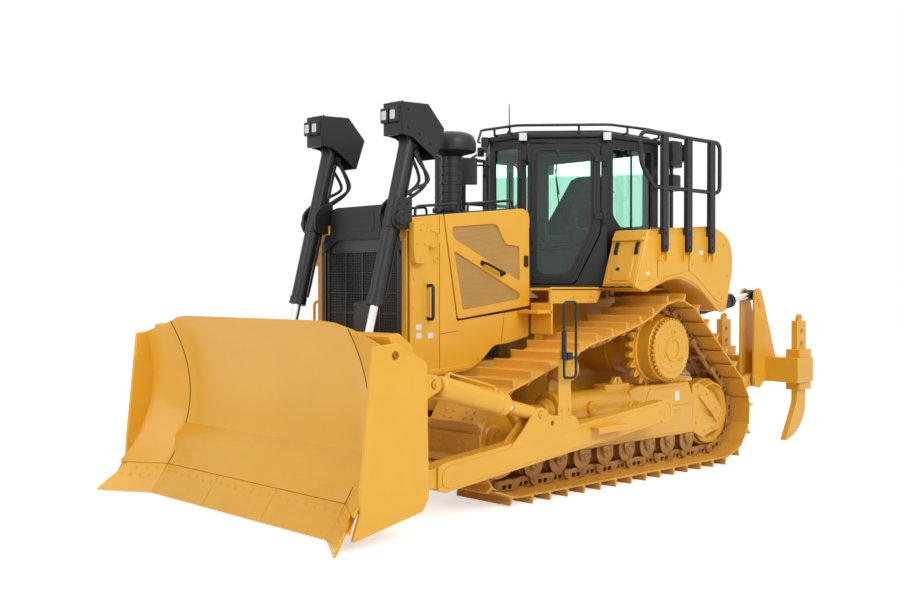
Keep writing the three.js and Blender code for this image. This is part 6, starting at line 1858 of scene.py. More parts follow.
def control_levers():
    """Two stubby joysticks with moulded grips, and the display on the dash."""
    left = []
    for x in (0.3,):
        base = np.array([x, 0.325, 2.326])
        left.append(turned([(0.034, 0), (0.03, 0.012), (0.016, 0.03), (0.01, 0.034), (0.01, 0.075),
                            (0.02, 0.085),
                            (0.024, 0.12), (0.022, 0.16), (0.015, 0.176)], base, (0.1, 0, 1), 20))
    screen = block((0.585, -0.12, 2.235), (0.593, 0.12, 2.395), 0.002, 0)
    return joined(both(joined(*left)), screen)


def seat_parts():
    """The seat's pan and back shells; its cushions are padded pieces."""
    shell = rounded([(-0.185, 2.137), (0.295, 2.137), (0.318, 2.165), (0.3, 2.185), (-0.12, 2.19),
                     (-0.23, 2.3),
                     (-0.248, 2.86), (-0.285, 2.88), (-0.288, 2.6), (-0.278, 2.24)], 0.02, 3)
    return joined(plate(shell, -0.215, 0.215, "y", 0.012))


def cushion(low, high):
    """A soft block: a superellipsoid-like box, fuller in its middle."""
    low, high = np.asarray(low, float), np.asarray(high, float)
    centre, half = (low + high) / 2, (high - low) / 2
    u = np.linspace(-np.pi / 2, np.pi / 2, 15)[1:-1]
    v = np.linspace(-np.pi, np.pi, 33)[:-1]
    power = lambda value: np.sign(value) * np.abs(value) ** 0.42
    rings = []
    for a in u:
        ring = np.stack([power(np.cos(a)) * power(np.cos(v)), power(np.cos(a)) * power(np.sin(v)),
                         np.full(len(v), power(np.sin(a)))], 1)
        rings.append(centre + ring * half)
    return skin(rings)


def cab():
    """The cab's walls, doors, glass, roof and inside."""
    piece("cab_walls", cab_walls(), BLACK, "root", ["cab_shell"])
    piece("cab_window_seals", cab_seals(), RUBBER)
    piece("cab_hinge_posts", hinge_posts(), BLACK)
    pair("cab_door_frame", cab_door(), BLACK, "cab_door", ["cab_door"])
    pair("cab_door_fittings", door_fittings(), BLACK, "cab_door")
    pair("cab_door_seal", door_seal(), RUBBER, "cab_door")
    pair("cab_door_wiper", door_wiper(), RUBBER, "cab_door")
    pair("cab_door_glass", cab_glass("door"), GLASS, "cab_door", ["door_glass"])
    pair("cab_side_glass", cab_glass("side"), GLASS, "root", ["side_glass"])
    piece("cab_windscreen", cab_glass("front"), GLASS, "root", ["windshield"])
    piece("cab_rear_window", cab_glass("rear"), GLASS, "root", ["rear_glass"])
    piece("cab_roof_slab", cab_roof(), BLACK, "root", ["cab_roof"])
    housings, lenses = roof_lamps()
    piece("roof_lamp_housings", housings, BLACK)
    piece("roof_lamp_lenses", lenses, LENS)
    piece("roof_rail", roof_rail(), BLACK)
    piece("cab_mirrors", mirrors(), BLACK)
    piece("cab_wipers", wipers(), RUBBER)
    piece("cab_deck", cab_base(), YELLOW, "root", ["cab_floor"])
    piece("cab_console", cab_console(), BLACK)
    piece("control_levers", control_levers(), RUBBER)
    piece("seat_shell", seat_parts(), BLACK, "root", ["seat"])
    for name, low, high in (("seat_cushion", (-0.12, -0.225, 2.18), (0.325, 0.225, 2.265)),
                            ("seat_back", (-0.262, -0.225, 2.24), (-0.165, 0.225, 2.7)),
                            ("seat_headrest", (-0.27, -0.135, 2.71), (-0.195, 0.135, 2.885))):
        piece(name, cushion(low, high), CLOTH)

# ---------------------------------------------------------------- rear body

FENDER_IN, FENDER_OUT = 0.9, 1.3
FENDER = [(0.62, 1.747), (0.43, 2.27), (-0.62, 2.34), (-0.92, 2.25), (-0.99, 1.98), (-0.86, 1.53),
          (-0.72, 1.51),
          (-0.325, 1.77), (0.007, 1.845), (0.47, 1.705)]


def fender():
    """The fender box over the drive: a soft-cornered body, with an arch that clears the track."""
    corners = rounded(FENDER, (0.03, 0.03, 0.1, 0.16, 0.14, 0.05, 0.03, 0.16, 0.16, 0.02), 6)
    return plate(corners, FENDER_IN + 0.001, FENDER_OUT - 0.014, "y", 0.008)


def fender_face():
    """The fender's outer panels: toolbox door, arch lip, slotted top strip and bracketed posts."""
    y = FENDER_OUT - 0.0145
    front = rounded([(0.585, 1.8), (0.435, 2.225), (0.3, 2.235), (0.3, 1.82)], 0.02, 4)
    middle = rounded([(0.29, 1.83), (0.29, 2.235), (-0.2, 2.268), (-0.2, 1.9)], 0.02, 4)
    rear = rounded([(-0.215, 1.9), (-0.215, 2.268), (-0.6, 2.292), (-0.86, 2.21), (-0.93, 1.98), (-0.82, 1.6),
                    (-0.7, 1.6), (-0.36, 1.83)], (0.02, 0.02, 0.06, 0.12, 0.1, 0.05, 0.05, 0.1), 5)
    shapes = [plate(outline, y, y + 0.007, "y", 0.003) for outline in (front, middle, rear)]
    lip_line = np.array([(-0.855, 1.535), (-0.72, 1.518), (-0.53, 1.645), (-0.325, 1.777), (-0.16, 1.832),
                         (0.007, 1.851),
                         (0.24, 1.8), (0.468, 1.713)])
    lip = tube(in_plane(smooth_path(lip_line, 40), y + 0.004, "y"), 0.01, 10)
    strip = rounded([(0.4, 2.262), (0.4, 2.288), (-0.6, 2.352 - 0.018), (-0.6, 2.318)], 0.004, 2)
    slots = [rounded([(x, 2.2715 - 0.0665 * (x - 0.34)), (x + 0.03, 2.2715 - 0.0665 * (x - 0.31)),
                      (x + 0.03, 2.2795 - 0.0665 * (x - 0.31)), (x, 2.2795 - 0.0665 * (x - 0.34))], 0.003, 2)
             for x in np.arange(-0.54, 0.34, 0.055)]
    shapes.append(plate(strip, y - 0.002, y + 0.004, "y", 0.001, slots))
    for x in (0.24, -0.14, -0.525):
        gusset = rounded([(x - 0.062, 1.985), (x + 0.062, 1.985), (x + 0.062, 2.235), (x - 0.062, 2.235)],
                         0.012, 3)
        shapes.append(plate(gusset, y + 0.005, y + 0.0142, "y", 0.003))
        for side in (-0.055, 0.047):
            wedge = [(x + side, 1.99), (x + side + 0.008, 1.99), (x + side + 0.008, 2.23), (x + side, 2.23)]
            shapes.append(plate(wedge, y + 0.012, y + 0.036, "y", 0.002))
        shapes.append(bolts([(x, FENDER_OUT + 0.0003, 2.045)], (0, 1, 0), 0.013, 0.01))
    shapes.append(bolts([(x, y + 0.007, z) for x, z in ((0.42, 1.83), (-0.27, 1.96), (-0.27, 2.22),
                                                       (-0.8, 2.16), (-0.86, 1.86), (-0.76, 1.64))],
                        (0, 1, 0), 0.009, 0.007))
    return joined(*shapes, lip)


def fender_seams():
    """Thin dark bars on the fender's face, where its sheets meet: painted shade in the gaps between them."""
    y = FENDER_OUT - 0.0142
    shapes = []
    for (x0, z0), (x1, z1) in (((0.2955, 1.83), (0.2955, 2.232)), ((-0.2075, 1.9), (-0.2075, 2.265)),
                               ((-0.62, 2.1), (-0.9, 2.06))):
        along = np.array([x1 - x0, z1 - z0])
        side = np.array([-along[1], along[0]]) / np.linalg.norm(along) * 0.0035
        a, b = np.array([x0, z0]), np.array([x1, z1])
        shapes.append(plate([a + side, a - side, b - side, b + side], y, y + 0.0008, "y", 0.0))
    return joined(*shapes)


def on_slope(shape):
    """A shape set on the fender's front slope: x is its height off the slope, z its way up it."""
    points, faces = shape
    height, across, up = np.asarray(points, float).T
    placed = np.stack([0.62 + 0.94 * height - 0.342 * up, across, 1.747 + 0.342 * height + 0.94 * up], 1)
    return placed, faces


def toolbox():
    """The toolbox on the fender's front slope: a lidded frame, a small locked door and its lip."""
    frame = rounded([(0.935, 0.03), (1.265, 0.03), (1.265, 0.46), (0.935, 0.46)], 0.02, 3)
    door = rounded([(1.01, 0.06), (1.2, 0.06), (1.2, 0.3), (1.01, 0.3)], 0.015, 3)
    lid = rounded([(0.925, 0.445), (1.275, 0.445), (1.275, 0.48), (0.925, 0.48)], 0.006, 2)
    return on_slope(joined(plate(frame, -0.002, 0.008, "x", 0.003), plate(door, 0.006, 0.018, "x", 0.003),
                           plate(lid, -0.002, 0.034, "x", 0.004),
                           round_bar((0.012, 1.203, 0.08), (0.012, 1.203, 0.28), 0.007, 12),
                           bolts([(0.008, y, s) for y in (0.955, 1.245) for s in (0.06, 0.25)], (1, 0, 0),
                                 0.009, 0.007)))


def toolbox_latches():
    """Two dark spring latches and the door's key lock."""
    shapes = []
    for y in (0.985, 1.215):
        shapes += [block((0.006, y - 0.02, 0.405), (0.018, y + 0.02, 0.435), 0.002, 0.004),
                   block((0.006, y - 0.02, 0.315), (0.016, y + 0.02, 0.34), 0.002, 0.004)]
        shapes += [round_bar((0.016, y + side, 0.325), (0.02, y + side, 0.425), 0.008, 10,
                             0.001) for side in (-0.011, 0.011)]
    lock = plate(rounded([(1.035, 0.155), (1.075, 0.155), (1.075, 0.185), (1.035, 0.185)], 0.012, 3), 0.017,
                 0.024, "x", 0.002)
    return on_slope(joined(*shapes, lock))


def blank_plates():
    """Small blank plates where a label would go."""
    y = FENDER_OUT - 0.0074
    shapes = [plate(rounded([(-0.44, 2.06), (-0.44, 2.1), (-0.38, 2.1), (-0.38, 2.06)], 0.004, 2), y,
                    y + 0.0015,
                    "y", 0.0005),
              plate(rounded([(0.42, 1.86), (0.42, 1.885), (0.47, 1.885), (0.47, 1.86)], 0.003, 2), y,
                    y + 0.0015, "y",
                    0.0005)]
    side = PANEL_Y - 0.0058
    for x, z in ((2.6, 1.4), (2.6, 1.33), (2.47, 1.33)):
        shapes.append(plate(rounded([(x, z), (x + 0.06, z), (x + 0.06, z + 0.045), (x, z + 0.045)], 0.004, 2),
                            side,
                            side + 0.0015, "y", 0.0005))
    outer = TRACK_Y + FRAME_HALF_WIDTH + 0.0092
    shapes.append(plate(rounded([(-0.26, 0.66), (-0.19, 0.66), (-0.19, 0.755), (-0.26, 0.755)], 0.004, 2),
                        outer,
                        outer + 0.0015, "y", 0.0005))
    return both(joined(*shapes))


def platform_edge():
    """The serrated edge of the platform in front of the fender, and the grip bar under it."""
    edge = block((0.475, 0.905, 1.742), (0.64, 1.24, 1.752), 0.002, 0.01)
    teeth = [serrated(0.5, 0.63, w, w + 0.022, 1.751, 0.006) for w in (0.93, 1.02, 1.11, 1.2)]
    grip = tube(rounded([(0.325, 0.925, 1.712), (0.325, 0.925, 1.668), (0.535, 0.925, 1.668),
                         (0.535, 0.925, 1.712)], 0.02, 4,
                        closed=False), 0.011, 12)
    return both(joined(edge, *teeth, grip))


def fuel_tank():
    """The fuel tank between the fenders, its filler, two plates on its rear face and the bolts on its top."""
    outline = rounded([(-0.566, 1.642), (-0.566, 2.268), (-0.895, 2.268), (-0.998, 1.975), (-0.998, 1.642)],
                      (0.01, 0.05, 0.08, 0.08, 0.02), 5)
    shapes = [plate(outline, -0.898, 0.898, "y", 0.006)]
    filler = turned([(0.075, -0.004), (0.075, 0.012), (0.06, 0.018), (0.06, 0.05), (0.068, 0.054),
                     (0.068, 0.084),
                     (0.058, 0.092), (0.02, 0.093)], (-0.72, 0.62, 2.268), (0, 0, 1), 32)
    shapes.append(filler)
    rear = [plate(rounded([(y - 0.2, 1.7), (y + 0.2, 1.7), (y + 0.2, 1.9), (y - 0.2, 1.9)], 0.03, 3), -1.0,
                  -0.9975, "x", 0.001) for y in (-0.45, 0.45)]
    shapes += rear
    shapes.append(bolts([(-0.8, y, 2.268) for y in (-0.78, -0.26, 0.26, 0.8)], (0, 0, 1), 0.012, 0.01))
    return joined(*shapes)


def guard_rails():
    """The black guard rail on the fender: three flat posts, and a round-tube loop with a middle bar."""
    y = FENDER_OUT + 0.012
    shapes = []
    for x in (0.24, -0.14, -0.525):
        post = rounded([(x - 0.04, 2.1), (x - 0.028, 2.072), (x + 0.028, 2.072), (x + 0.04, 2.1),
                        (x + 0.04, 3.12),
                        (x + 0.02, 3.16), (x - 0.02, 3.16), (x - 0.04, 3.12)], 0.01, 3)
        shapes.append(plate(post, y - 0.0115, y + 0.04, "y", 0.006))
        shapes.append(bolts([(x, y + 0.04, z) for z in (2.12, 2.24)], (0, 1, 0), 0.013, 0.008))
    loop = [(-0.67, 2.66), (0.4, 2.66), (0.6, 2.85), (0.62, 3.145), (-0.67, 3.145)]
    path = in_plane(rounded(loop, (0.08, 0.05, 0.08, 0.12, 0.08), 8), y + 0.015, "y")
    shapes.append(tube(path, 0.0195, 14, closed=True))
    return joined(*shapes)


def rail_links():
    """Bars that tie the guard rail to the roof's rail, and a rear work lamp on a post."""
    left = [tube(rounded([(-0.42, 0.905, 3.262), (-0.52, 0.905, 3.262), (-0.56, 1.1, 3.2),
                          (-0.56, 1.3, 3.145)], 0.06,
                         6, closed=False), 0.0125, 12),
            tube(rounded([(0.1, 0.905, 3.262), (0.14, 1.1, 3.22), (0.14, 1.3, 3.146)], 0.05, 5, closed=False),
                 0.0125,
                 12)]
    body = block((-0.6, 0.8, 2.93), (-0.44, 0.95, 3.19), 0.01, 0.015)
    lamp = block((-0.735, 0.84, 3.0), (-0.625, 0.955, 3.165), 0.008, 0.012)
    arm = tube([(-0.52, 0.87, 2.94), (-0.52, 0.87, 2.28)], 0.02, 14)
    foot = block((-0.6, 0.82, 2.7), (-0.47, 0.93, 2.86), 0.008, 0.012)
    link = tube([(-0.64, 0.88, 3.08), (-0.56, 0.87, 3.08)], 0.016, 12)
    return both(joined(*left, body, lamp, arm, foot, link))


def rail_lamp_lenses():
    """The pale lenses of the lamps on the guard rails."""
    return both(block((-0.722, 0.954, 3.015), (-0.638, 0.96, 3.15), 0.002, 0.006))


def tank_fittings():
    """Small service fittings with coloured caps on the tank's front edge."""
    stems, caps = [], []
    for i in range(3):
        place = (-0.62, 0.82 + 0.028 * i, 2.262)
        stems.append(turned([(0.012, 0), (0.012, 0.02), (0.009, 0.024)], place, (0, 0, 1), 12))
        caps.append(turned([(0.0135, 0.022), (0.0135, 0.045), (0.01, 0.05)], place, (0, 0, 1), 14))
    return both(joined(*stems)), both(joined(*caps))


def rear_body():
    """Fenders, guard rails, toolboxes, platforms and the tank."""
    pair("fender_box", fender(), YELLOW, "root", ["fender"])
    pair("fender_face", fender_face(), YELLOW)
    pair("fender_seams", fender_seams(), SEAM_SHADE)
    pair("toolbox_door", toolbox(), YELLOW)
    pair("toolbox_latches", toolbox_latches(), BLACK)
    piece("blank_plates", blank_plates(), WHITE)
    piece("platform_edges", platform_edge(), BLACK)
    piece("fuel_tank_shell", fuel_tank(), YELLOW, "root", ["fuel_tank"])
    pair("guard_rail_tubes", guard_rails(), BLACK, "root", ["guard_rail"])
    piece("rail_links", rail_links(), BLACK)
    piece("rail_lamp_lenses", rail_lamp_lenses(), LENS)
    stems, caps = tank_fittings()
    piece("service_fittings", stems, STEEL)
    piece("service_caps", caps, CAP)


# ---------------------------------------------------------------- main frame


def main_frame():
    """The frame: case, belly plate, rails, cross bars and drive housings."""
    case = rounded([(-1.12, 0.56), (-0.9, 0.432), (0.9, 0.432), (0.9, 1.3), (0.72, 1.638), (-1.0, 1.638),
                    (-1.12, 1.5)], 0.03, 3)
    belly = [(0.85, 0.432), (2.35, 0.502), (2.738, 0.732), (2.738, 0.8), (2.3, 0.57), (0.85, 0.472)]
    rail = rounded([(0.6, 0.642), (2.3, 0.702), (2.738, 0.762), (2.738, 0.949), (2.372, 0.949),
                    (2.372, 1.099),
                    (0.6, 1.099)], 0.01, 2)
    inner = TRACK_Y - FRAME_HALF_WIDTH
    shapes = [plate(case, -0.329, 0.329, "y", 0.006), plate(belly, -0.419, 0.419, "y", 0.003),
              block((2.482, -0.559, 0.777), (2.737, 0.559, 0.9495), 0.006, 0.01),
              plate([(1.562, 0.502), (1.638, 0.502), (1.638, 0.638), (1.562, 0.638)], -inner + 0.002,
                    inner - 0.002, "y",
                    0.005),
              block((1.482, -0.419, 0.482), (1.718, 0.419, 0.658), 0.006, 0.01)]
    left = [plate(rail, 0.331, 0.419, "y", 0.005),
            turned([(0.24, 0.3), (0.249, 0.33), (0.249, 0.6), (0.262, 0.606), (0.262, 0.64), (0.249, 0.646),
                    (0.249, 0.8), (0.235, 0.8285)], side_point(SPROCKET, 0), (0, 1, 0), 56),
            bolts(circle_places(side_point(SPROCKET, 0.64), 0.2545, 24), (0, 1, 0), 0.004, 0.004),
            turned([(0.085, 0.31), (0.089, 0.33), (0.089, 0.86), (0.082, 0.8685)], (0.3, 0, 0.56), (0, 1, 0),
                   32)]
    for x in (-0.33, 0.56):
        left.append(block((x + 0.001, 0.191, 1.632), (x + 0.139, 0.319, 1.7165), 0.004, 0.01))
    shapes.append(both(joined(*left)))
    return joined(*shapes)


def rear_bracket():
    """The bracket behind the case that carries the ripper: cross beams and pairs of rounded ears."""
    shapes = [block((-1.169, -0.689, 0.442), (-1.071, 0.689, 0.698), 0.006, 0.01),
              block((-1.169, -0.689, 1.332), (-1.071, 0.689, 1.568), 0.006, 0.01),
              block((-1.169, -0.449, 0.692), (-1.071, 0.449, 1.338), 0.006, 0.01)]
    left = []

    def ears(outline, y, hole, radius):
        loop = circle(hole, radius, 24)
        for low in (y + 0.0455, y - 0.0755):
            left.append(plate(rounded(outline, (0.004, 0.03, 0.04, 0.03, 0.004), 4), low, low + 0.03, "y",
                              0.003, [loop]))
        left.append(round_bar(side_point(hole, y - 0.086), side_point(hole, y + 0.086), radius - 0.001, 24,
                              0.004))
        left.append(bolts([side_point(hole, y + 0.086)], (0, 1, 0), 0.016, 0.012))

    ears([(-1.13, 0.45), (-1.31, 0.48), (-1.325, 0.54), (-1.31, 0.6), (-1.13, 0.63)], 0.6, LINK_PIN,
         0.04)
    ears([(-1.13, 1.39), (-1.31, 1.44), (-1.325, 1.5), (-1.31, 1.55), (-1.13, 1.56)], 0.6, (-1.25, 1.5),
         0.036)
    ears([(-1.13, 1.14), (-1.31, 1.2), (-1.32, 1.25), (-1.305, 1.3), (-1.13, 1.32)], 0.36, (-1.25, 1.25),
         0.036)
    studs = [(-1.169, y, z) for y in (0.1, 0.24) for z in (0.76, 0.92, 1.08, 1.24)]
    left.append(bolts(studs, (-1, 0, 0), 0.013, 0.011))
    return joined(*shapes, both(joined(*left)))


# ---------------------------------------------------------------- ripper


def ripper_link():
    """The ripper's lower link: two arms with pin bosses, a cross tube, and the lift cylinders' lugs."""
    a, b = LINK_PIN, RIPPER_PIN
    half = 0.0445
    arm = rounded([(-1.25, 0.482), (-1.25, 0.598), (-1.8, 0.738), (-2.45, 0.758), (-2.45, 0.637),
                   (-1.8, 0.522)],
                  (0.02, 0.02, 0.12, 0.02, 0.02, 0.12), 6)
    left = [plate(arm, 0.6 - half, 0.6 + half, "y", 0.008),
            round_bar(side_point(a, 0.6 - half), side_point(a, 0.6 + half), 0.0675, 36, 0.006),
            turned([(0.0475, -half), (0.0745, -half), (0.0745, half), (0.0475, half)], side_point(b, 0.6),
                   (0, 1, 0), 36)]
    lug = rounded([(-2.25, 0.64), (-2.2, 0.76), (-2.185, 0.835), (-2.095, 0.835), (-2.07, 0.77),
                   (-1.99, 0.62)],
                  (0.01, 0.04, 0.04, 0.04, 0.04, 0.01), 5)
    hole = circle(LINK_LUG, 0.032, 20)
    for low in (0.36 + 0.0455, 0.36 - 0.0705):
        left.append(plate(lug, low, low + 0.025, "y", 0.003, [hole]))
    left.append(round_bar((-2.14, 0.282, 0.79), (-2.14, 0.438, 0.79), 0.031, 20, 0.004))
    cross = rounded([(-1.962, 0.572), (-1.962, 0.688), (-2.258, 0.718), (-2.258, 0.602)], 0.03, 4)
    return joined(both(joined(*left)), plate(cross, -0.599, 0.599, "y", 0.006))


def ripper_pins():
    """The long pin, with its collars between the uprights."""
    at = RIPPER_PIN
    left = [turned([(0.046, 0.6455), (0.067, 0.6455), (0.067, 0.6695), (0.046, 0.6695)], side_point(at, 0),
                   (0, 1, 0), 32),
            turned([(0.046, 0.5305), (0.067, 0.5305), (0.067, 0.5545), (0.046, 0.5545)], side_point(at, 0),
                   (0, 1, 0), 32)]
    return joined(round_bar(side_point(at, -0.669), side_point(at, 0.669), 0.0448, 32, 0.005),
                  both(joined(*left)))


UPRIGHT = [(-2.375, 1.64), (-2.4, 1.715), (-2.45, 1.745), (-2.505, 1.725), (-2.54, 1.66), (-2.83, 0.95),
           (-2.83, 0.69),
           (-2.6, 0.69), (-2.53, 0.64), (-2.45, 0.612), (-2.385, 0.64), (-2.365, 0.7)]


SHANK_YS = {"left": 0.975, "middle": 0.0, "right": -0.975}


def ripper_beam():
    """The beam with its flanges, shank pockets and rounded uprights with pin keepers."""
    rear, front, low, high = -2.95, -2.6, 0.68, 0.96
    shank = list(SHANK_YS.values())[::-1]
    slots = [(y - 0.0385, y + 0.0385) for y in shank]
    shapes = []
    edges = [-1.1] + [v for slot in slots for v in slot] + [1.1]
    for y0, y1 in zip(edges[::2], edges[1::2]):
        shapes.append(block((rear + 0.201, y0, low + 0.002), (front - 0.001, y1, high - 0.002), 0.004, 0.0))
        shapes.append(block((rear + 0.001, y0, low + 0.002), (rear + 0.201, y1, high - 0.002), 0.004, 0.0))
    for y0, y1 in slots:
        shapes.append(block((rear + 0.201, y0, low + 0.002), (front - 0.001, y1, high - 0.002), 0.001, 0.0))
    for y in shank:
        for y0, y1 in ((y - 0.0845, y - 0.0385), (y + 0.0385, y + 0.0845)):
            shapes.append(plate(rounded([(-2.983, y0), (-2.717, y0), (-2.717, y1), (-2.983, y1)], 0.006, 2),
                                0.592, 1.048,
                                "z", 0.006))
        shapes.append(block((-2.748, y - 0.0385, 0.592), (-2.717, y + 0.0385, 1.048), 0.004, 0.0))
        shapes.append(round_bar((-2.86, y - 0.098, 0.86), (-2.86, y + 0.098, 0.86), 0.03, 24, 0.004))
        shapes.append(turned([(0.044, 0.0845), (0.044, 0.092), (0.038, 0.095)], (-2.86, y, 0.86), (0, 1, 0),
                             24))
    for z in (low + 0.0165, high - 0.0165):
        shapes.append(block((front - 0.012, -1.098, z - 0.015), (front - 0.0005, 1.098, z + 0.015), 0.003,
                            0.0))
    left = []
    hole = circle(RIPPER_PIN, 0.0472, 32)
    top_hole = circle(UPRIGHT_EYE, 0.036, 24)
    for low_y in (0.6702, 0.5002):
        outline = rounded(UPRIGHT, (0.05, 0.05, 0.05, 0.05, 0.08, 0.06, 0.02, 0.03, 0.05, 0.05, 0.05, 0.06),
                          4)
        left.append(plate(outline, low_y, low_y + 0.0296, "y", 0.004, [hole, top_hole]))
    left.append(turned([(0.085, 0.6998), (0.085, 0.709), (0.078, 0.7125), (0.03, 0.7125)],
                       side_point(RIPPER_PIN, 0),
                       (0, 1, 0), 32))
    left.append(bolts(circle_places(side_point(RIPPER_PIN, 0.7125), 0.055, 4), (0, 1, 0), 0.01, 0.008))
    left.append(turned([(0.06, 0.6998), (0.06, 0.708), (0.054, 0.711), (0.02, 0.711)],
                       side_point(UPRIGHT_EYE, 0),
                       (0, 1, 0), 28))
    keeper = rounded([(-2.5, 1.52), (-2.45, 1.52), (-2.43, 1.6), (-2.49, 1.61)], 0.01, 2)
    left.append(plate(keeper, 0.6998, 0.7095, "y", 0.002))
    left.append(bolts([(-2.475, 0.7095, 1.545), (-2.46, 0.7095, 1.585)], (0, 1, 0), 0.01, 0.008))
    left.append(block((-2.66, 0.5305, 0.962), (-2.62, 0.6695, 1.02), 0.003, 0.0))
    return joined(*shapes, both(joined(*left)))


def ripper_shank(y):
    """A shank: a tall bar with a lifting lug, adjusting holes, and a curved, capped tip."""
    rear = -2.95
    upper = [(rear + 0.001, 1.368), (rear + 0.001, 0.45)]
    curve = smooth_path([(rear + 0.001, 0.45), (-2.93, 0.34), (-2.865, 0.235), (-2.77, 0.14), (-2.64, 0.075),
                         (-2.52, 0.045)], 24)
    back = smooth_path([(-2.515, 0.06), (-2.575, 0.155), (-2.64, 0.265), (-2.7, 0.37), (-2.748, 0.47),
                        (-2.751, 0.56)], 24)
    outline = np.concatenate([[upper[0]], curve, back, [(rear + 0.199, 1.368)]])
    holes = [circle((rear + 0.1, z), 0.026, 16) for z in (1.11, 1.25)]
    shank = plate(outline, y - 0.0375, y + 0.0375, "y", 0.005, holes)
    lug = rounded([(rear + 0.057, 1.36), (rear + 0.143, 1.36), (rear + 0.143, 1.415), (rear + 0.115, 1.444),
                   (rear + 0.085, 1.444), (rear + 0.057, 1.415)], 0.012, 3)
    return joined(shank, plate(lug, y - 0.0195, y + 0.0195, "y", 0.003,
                               [circle((rear + 0.1, 1.41), 0.014, 14)]),
                  round_bar((-2.735, y - 0.0379, 0.215), (-2.735, y + 0.0379, 0.215), 0.016, 14, 0.001))


# For each: the pin on the frame, the pin in the rod's eye, y, the barrel's radius and length, the radii of
# the rod and of the eyes, half the width of the barrel's eye and of the rod's, and where the rod begins.
RIPPER_CYLINDERS = {
    "ripper_tilt": ((-1.25, 1.5), UPRIGHT_EYE, 0.6, 0.07, 0.78, 0.035, 0.06, 0.045, 0.0697, 0.33),
    "ripper_lift": ((-1.25, 1.25), LINK_LUG, 0.36, 0.062, 0.62, 0.03, 0.055, 0.045, 0.045, 0.392),
}


def ripper_cylinder(start, end, y, radius, length, rod, eye, eye_half):
    """A ripper cylinder's barrel: round eye, head, body bands, ports and a stepped gland."""
    start, end = np.asarray(start), np.asarray(end)
    along = (end - start) / np.linalg.norm(end - start)
    base, way = side_point(start, y), side_point(along, 0)
    profile = [(0.03, 0.0), (eye_half - 0.006, 0.0), (eye_half - 0.006, 0.1), (radius - 0.008, 0.103),
               (radius, 0.114), (radius, length - 0.062), (radius + 0.009, length - 0.058),
               (radius + 0.009, length - 0.006), (radius + 0.002, length - 0.001),
               (rod + 0.002, length - 0.001),
               (rod + 0.001, length - 0.02)]
    eye_ring = round_bar(side_point(start, y - eye_half + 0.001), side_point(start, y + eye_half - 0.001),
                         eye - 0.001, 32,
                         0.004)
    up = np.array([-way[2], 0, way[0]])
    up = up if up[2] > 0 else -up
    pipe = [base + way * 0.15 + up * (radius - 0.005), base + way * 0.15 + up * (radius + 0.028),
            base + way * (length - 0.09) + up * (radius + 0.028),
            base + way * (length - 0.09) + up * (radius - 0.005)]
    bands = [turned([(radius + 0.0005, d - 0.012), (radius + 0.004, d - 0.01), (radius + 0.004, d + 0.01),
                     (radius + 0.0005, d + 0.012)], base, way, 32) for d in (0.26, length - 0.2)]
    return joined(turned(profile, base, way, 40), eye_ring,
                  tube(rounded(pipe, 0.02, 4, closed=False), 0.009, 10), *bands)


def ripper_rod(start, end, y, rod, eye, eye_half, begin):
    """A ripper cylinder's rod from inside its barrel to its eye, and the eye with its sleeve."""
    start, end = np.asarray(start), np.asarray(end)
    along = (end - start) / np.linalg.norm(end - start)
    reach = np.linalg.norm(end - start)
    base, way = side_point(start, y), side_point(along, 0)
    bar = round_bar(base + way * begin, base + way * (reach - eye * 0.92), rod - 0.0005, 32)
    head = joined(turned([(rod, reach - 0.088), (rod + 0.008, reach - 0.083), (rod + 0.01, reach - 0.05)],
                         base, way, 28),
                  round_bar(side_point(end, y - eye_half + 0.001), side_point(end, y + eye_half - 0.001),
                            eye - 0.001, 32,
                            0.004))
    return bar, head


def ripper():
    """The ripper's link, pin, beam, shanks and cylinders, and the frame that carries them."""
    piece("ripper_link_arms", ripper_link(), YELLOW, "ripper_link", ["ripper_link"])
    piece("ripper_cross_pin", ripper_pins(), STEEL, "ripper_pin", ["ripper_pin"])
    piece("ripper_beam_box", ripper_beam(), YELLOW, "ripper_beam", ["ripper_beam"])
    for name, y in SHANK_YS.items():
        piece(f"ripper_shank_{name}_bar", ripper_shank(y), YELLOW, "ripper_beam", [f"ripper_shank_{name}"])
    for name, (start, end, y, radius, length, rod, eye, barrel_half, rod_half,
               begin) in RIPPER_CYLINDERS.items():
        barrel = ripper_cylinder(start, end, y, radius, length, rod, eye, barrel_half)
        pair(f"{name}_cylinder", barrel, BLACK, f"{name}_barrel", [f"{name}_barrel"])
        bar, head = ripper_rod(start, end, y, rod, eye, rod_half, begin)
        pair(f"{name}_chrome", bar, CHROME, f"{name}_rod", [f"{name}_rod"])
        pair(f"{name}_eye", head, BLACK, f"{name}_rod")
    piece("main_frame_body", main_frame(), YELLOW, "root", ["main_frame"])
    piece("ripper_bracket", rear_bracket(), YELLOW)


# ---------------------------------------------------------------- studio


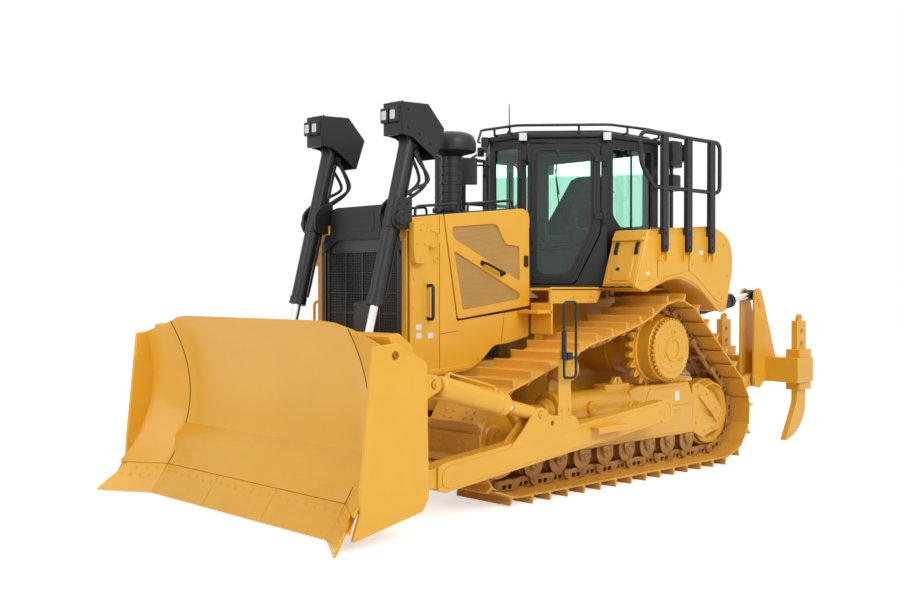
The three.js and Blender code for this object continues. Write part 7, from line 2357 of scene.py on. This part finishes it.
def studio():
    """A pale floor, a white surround that the lens, gloss and glass see, and soft plain lamps."""
    floor_mesh = bpy.data.meshes.new("studio_floor")
    half = 60.0
    floor_mesh.from_pydata([(-half, -half, 0), (half, -half, 0), (half, half, 0), (-half, half, 0)], [],
                           [(0, 1, 2, 3)])
    floor = bpy.data.objects.new("studio_floor", floor_mesh)
    bpy.context.scene.collection.objects.link(floor)
    floor_mesh.materials.append(floor_finish())
    world = bpy.data.worlds.new("studio_world")
    bpy.context.scene.world = world
    world.use_nodes = True
    tree = world.node_tree
    background = tree.nodes["Background"]
    background.inputs["Color"].default_value = (1, 1, 1, 1)
    seen = seen_directly(tree)
    tree.links.new(stretched(tree, seen, 0, 1, WORLD_LIGHT, 1.0), background.inputs["Strength"])
    for name, place, size, power, warmth in LAMPS:
        lamp = bpy.data.lights.new(name, "AREA")
        lamp.shape = "RECTANGLE"
        lamp.size, lamp.size_y = size
        lamp.energy = power
        lamp.color = warmth
        made = bpy.data.objects.new(name, lamp)
        made.location = place
        aim = np.array([0.0, 0.0, 1.2]) - np.array(place)
        made.rotation_mode = "QUATERNION"
        made.rotation_quaternion = Vector(aim).to_track_quat("-Z", "Y")
        bpy.context.scene.collection.objects.link(made)


def seen_directly(tree):
    """One where a camera, gloss or glass ray looks, and nought for light that falls on the machine."""
    rays = tree.nodes.new("ShaderNodeLightPath")
    some = calculated(tree, "MAXIMUM", rays.outputs["Is Camera Ray"], rays.outputs["Is Glossy Ray"])
    return calculated(tree, "MAXIMUM", some, rays.outputs["Is Transmission Ray"])


def floor_finish():
    """A near-white floor that keeps the shadow."""
    material, tree, shader = new_finish("studio_floor_white")
    shader.inputs["Base Color"].default_value = (0.82, 0.82, 0.82, 1)
    shader.inputs["Roughness"].default_value = 0.9
    place = tree.nodes.new("ShaderNodeTexCoord").outputs["Object"]
    bumped(tree, shader, noise(tree, place, 30.0), 0.02, 0.001)
    glow = stretched(tree, seen_directly(tree), 0, 1, 0.0, FLOOR_GLOW)
    shader.inputs["Emission Color"].default_value = (1, 1, 1, 1)
    tree.links.new(glow, shader.inputs["Emission Strength"])
    return material


def camera():
    """The lens: in front of the machine on its left, a little above its middle, looking back along it."""
    lens = bpy.data.cameras.new("view_camera")
    lens.sensor_width = 36.0
    lens.lens = 43.96
    lens.clip_end = 200.0
    made = bpy.data.objects.new("view_camera", lens)
    made.location = (8.614 + SHIFT, 7.248, 1.75)
    towards = Vector((-0.691, -0.723, -math.tan(math.radians(0.68))))
    made.rotation_mode = "QUATERNION"
    made.rotation_quaternion = towards.to_track_quat("-Z", "Y")
    bpy.context.scene.collection.objects.link(made)
    bpy.context.scene.camera = made
    bpy.context.scene.view_settings.view_transform = "Standard"


tracks()
undercarriage()
blade_and_edge()
arms_and_cylinders()
engine_bay()
cab()
rear_body()
ripper()
studio()
camera()
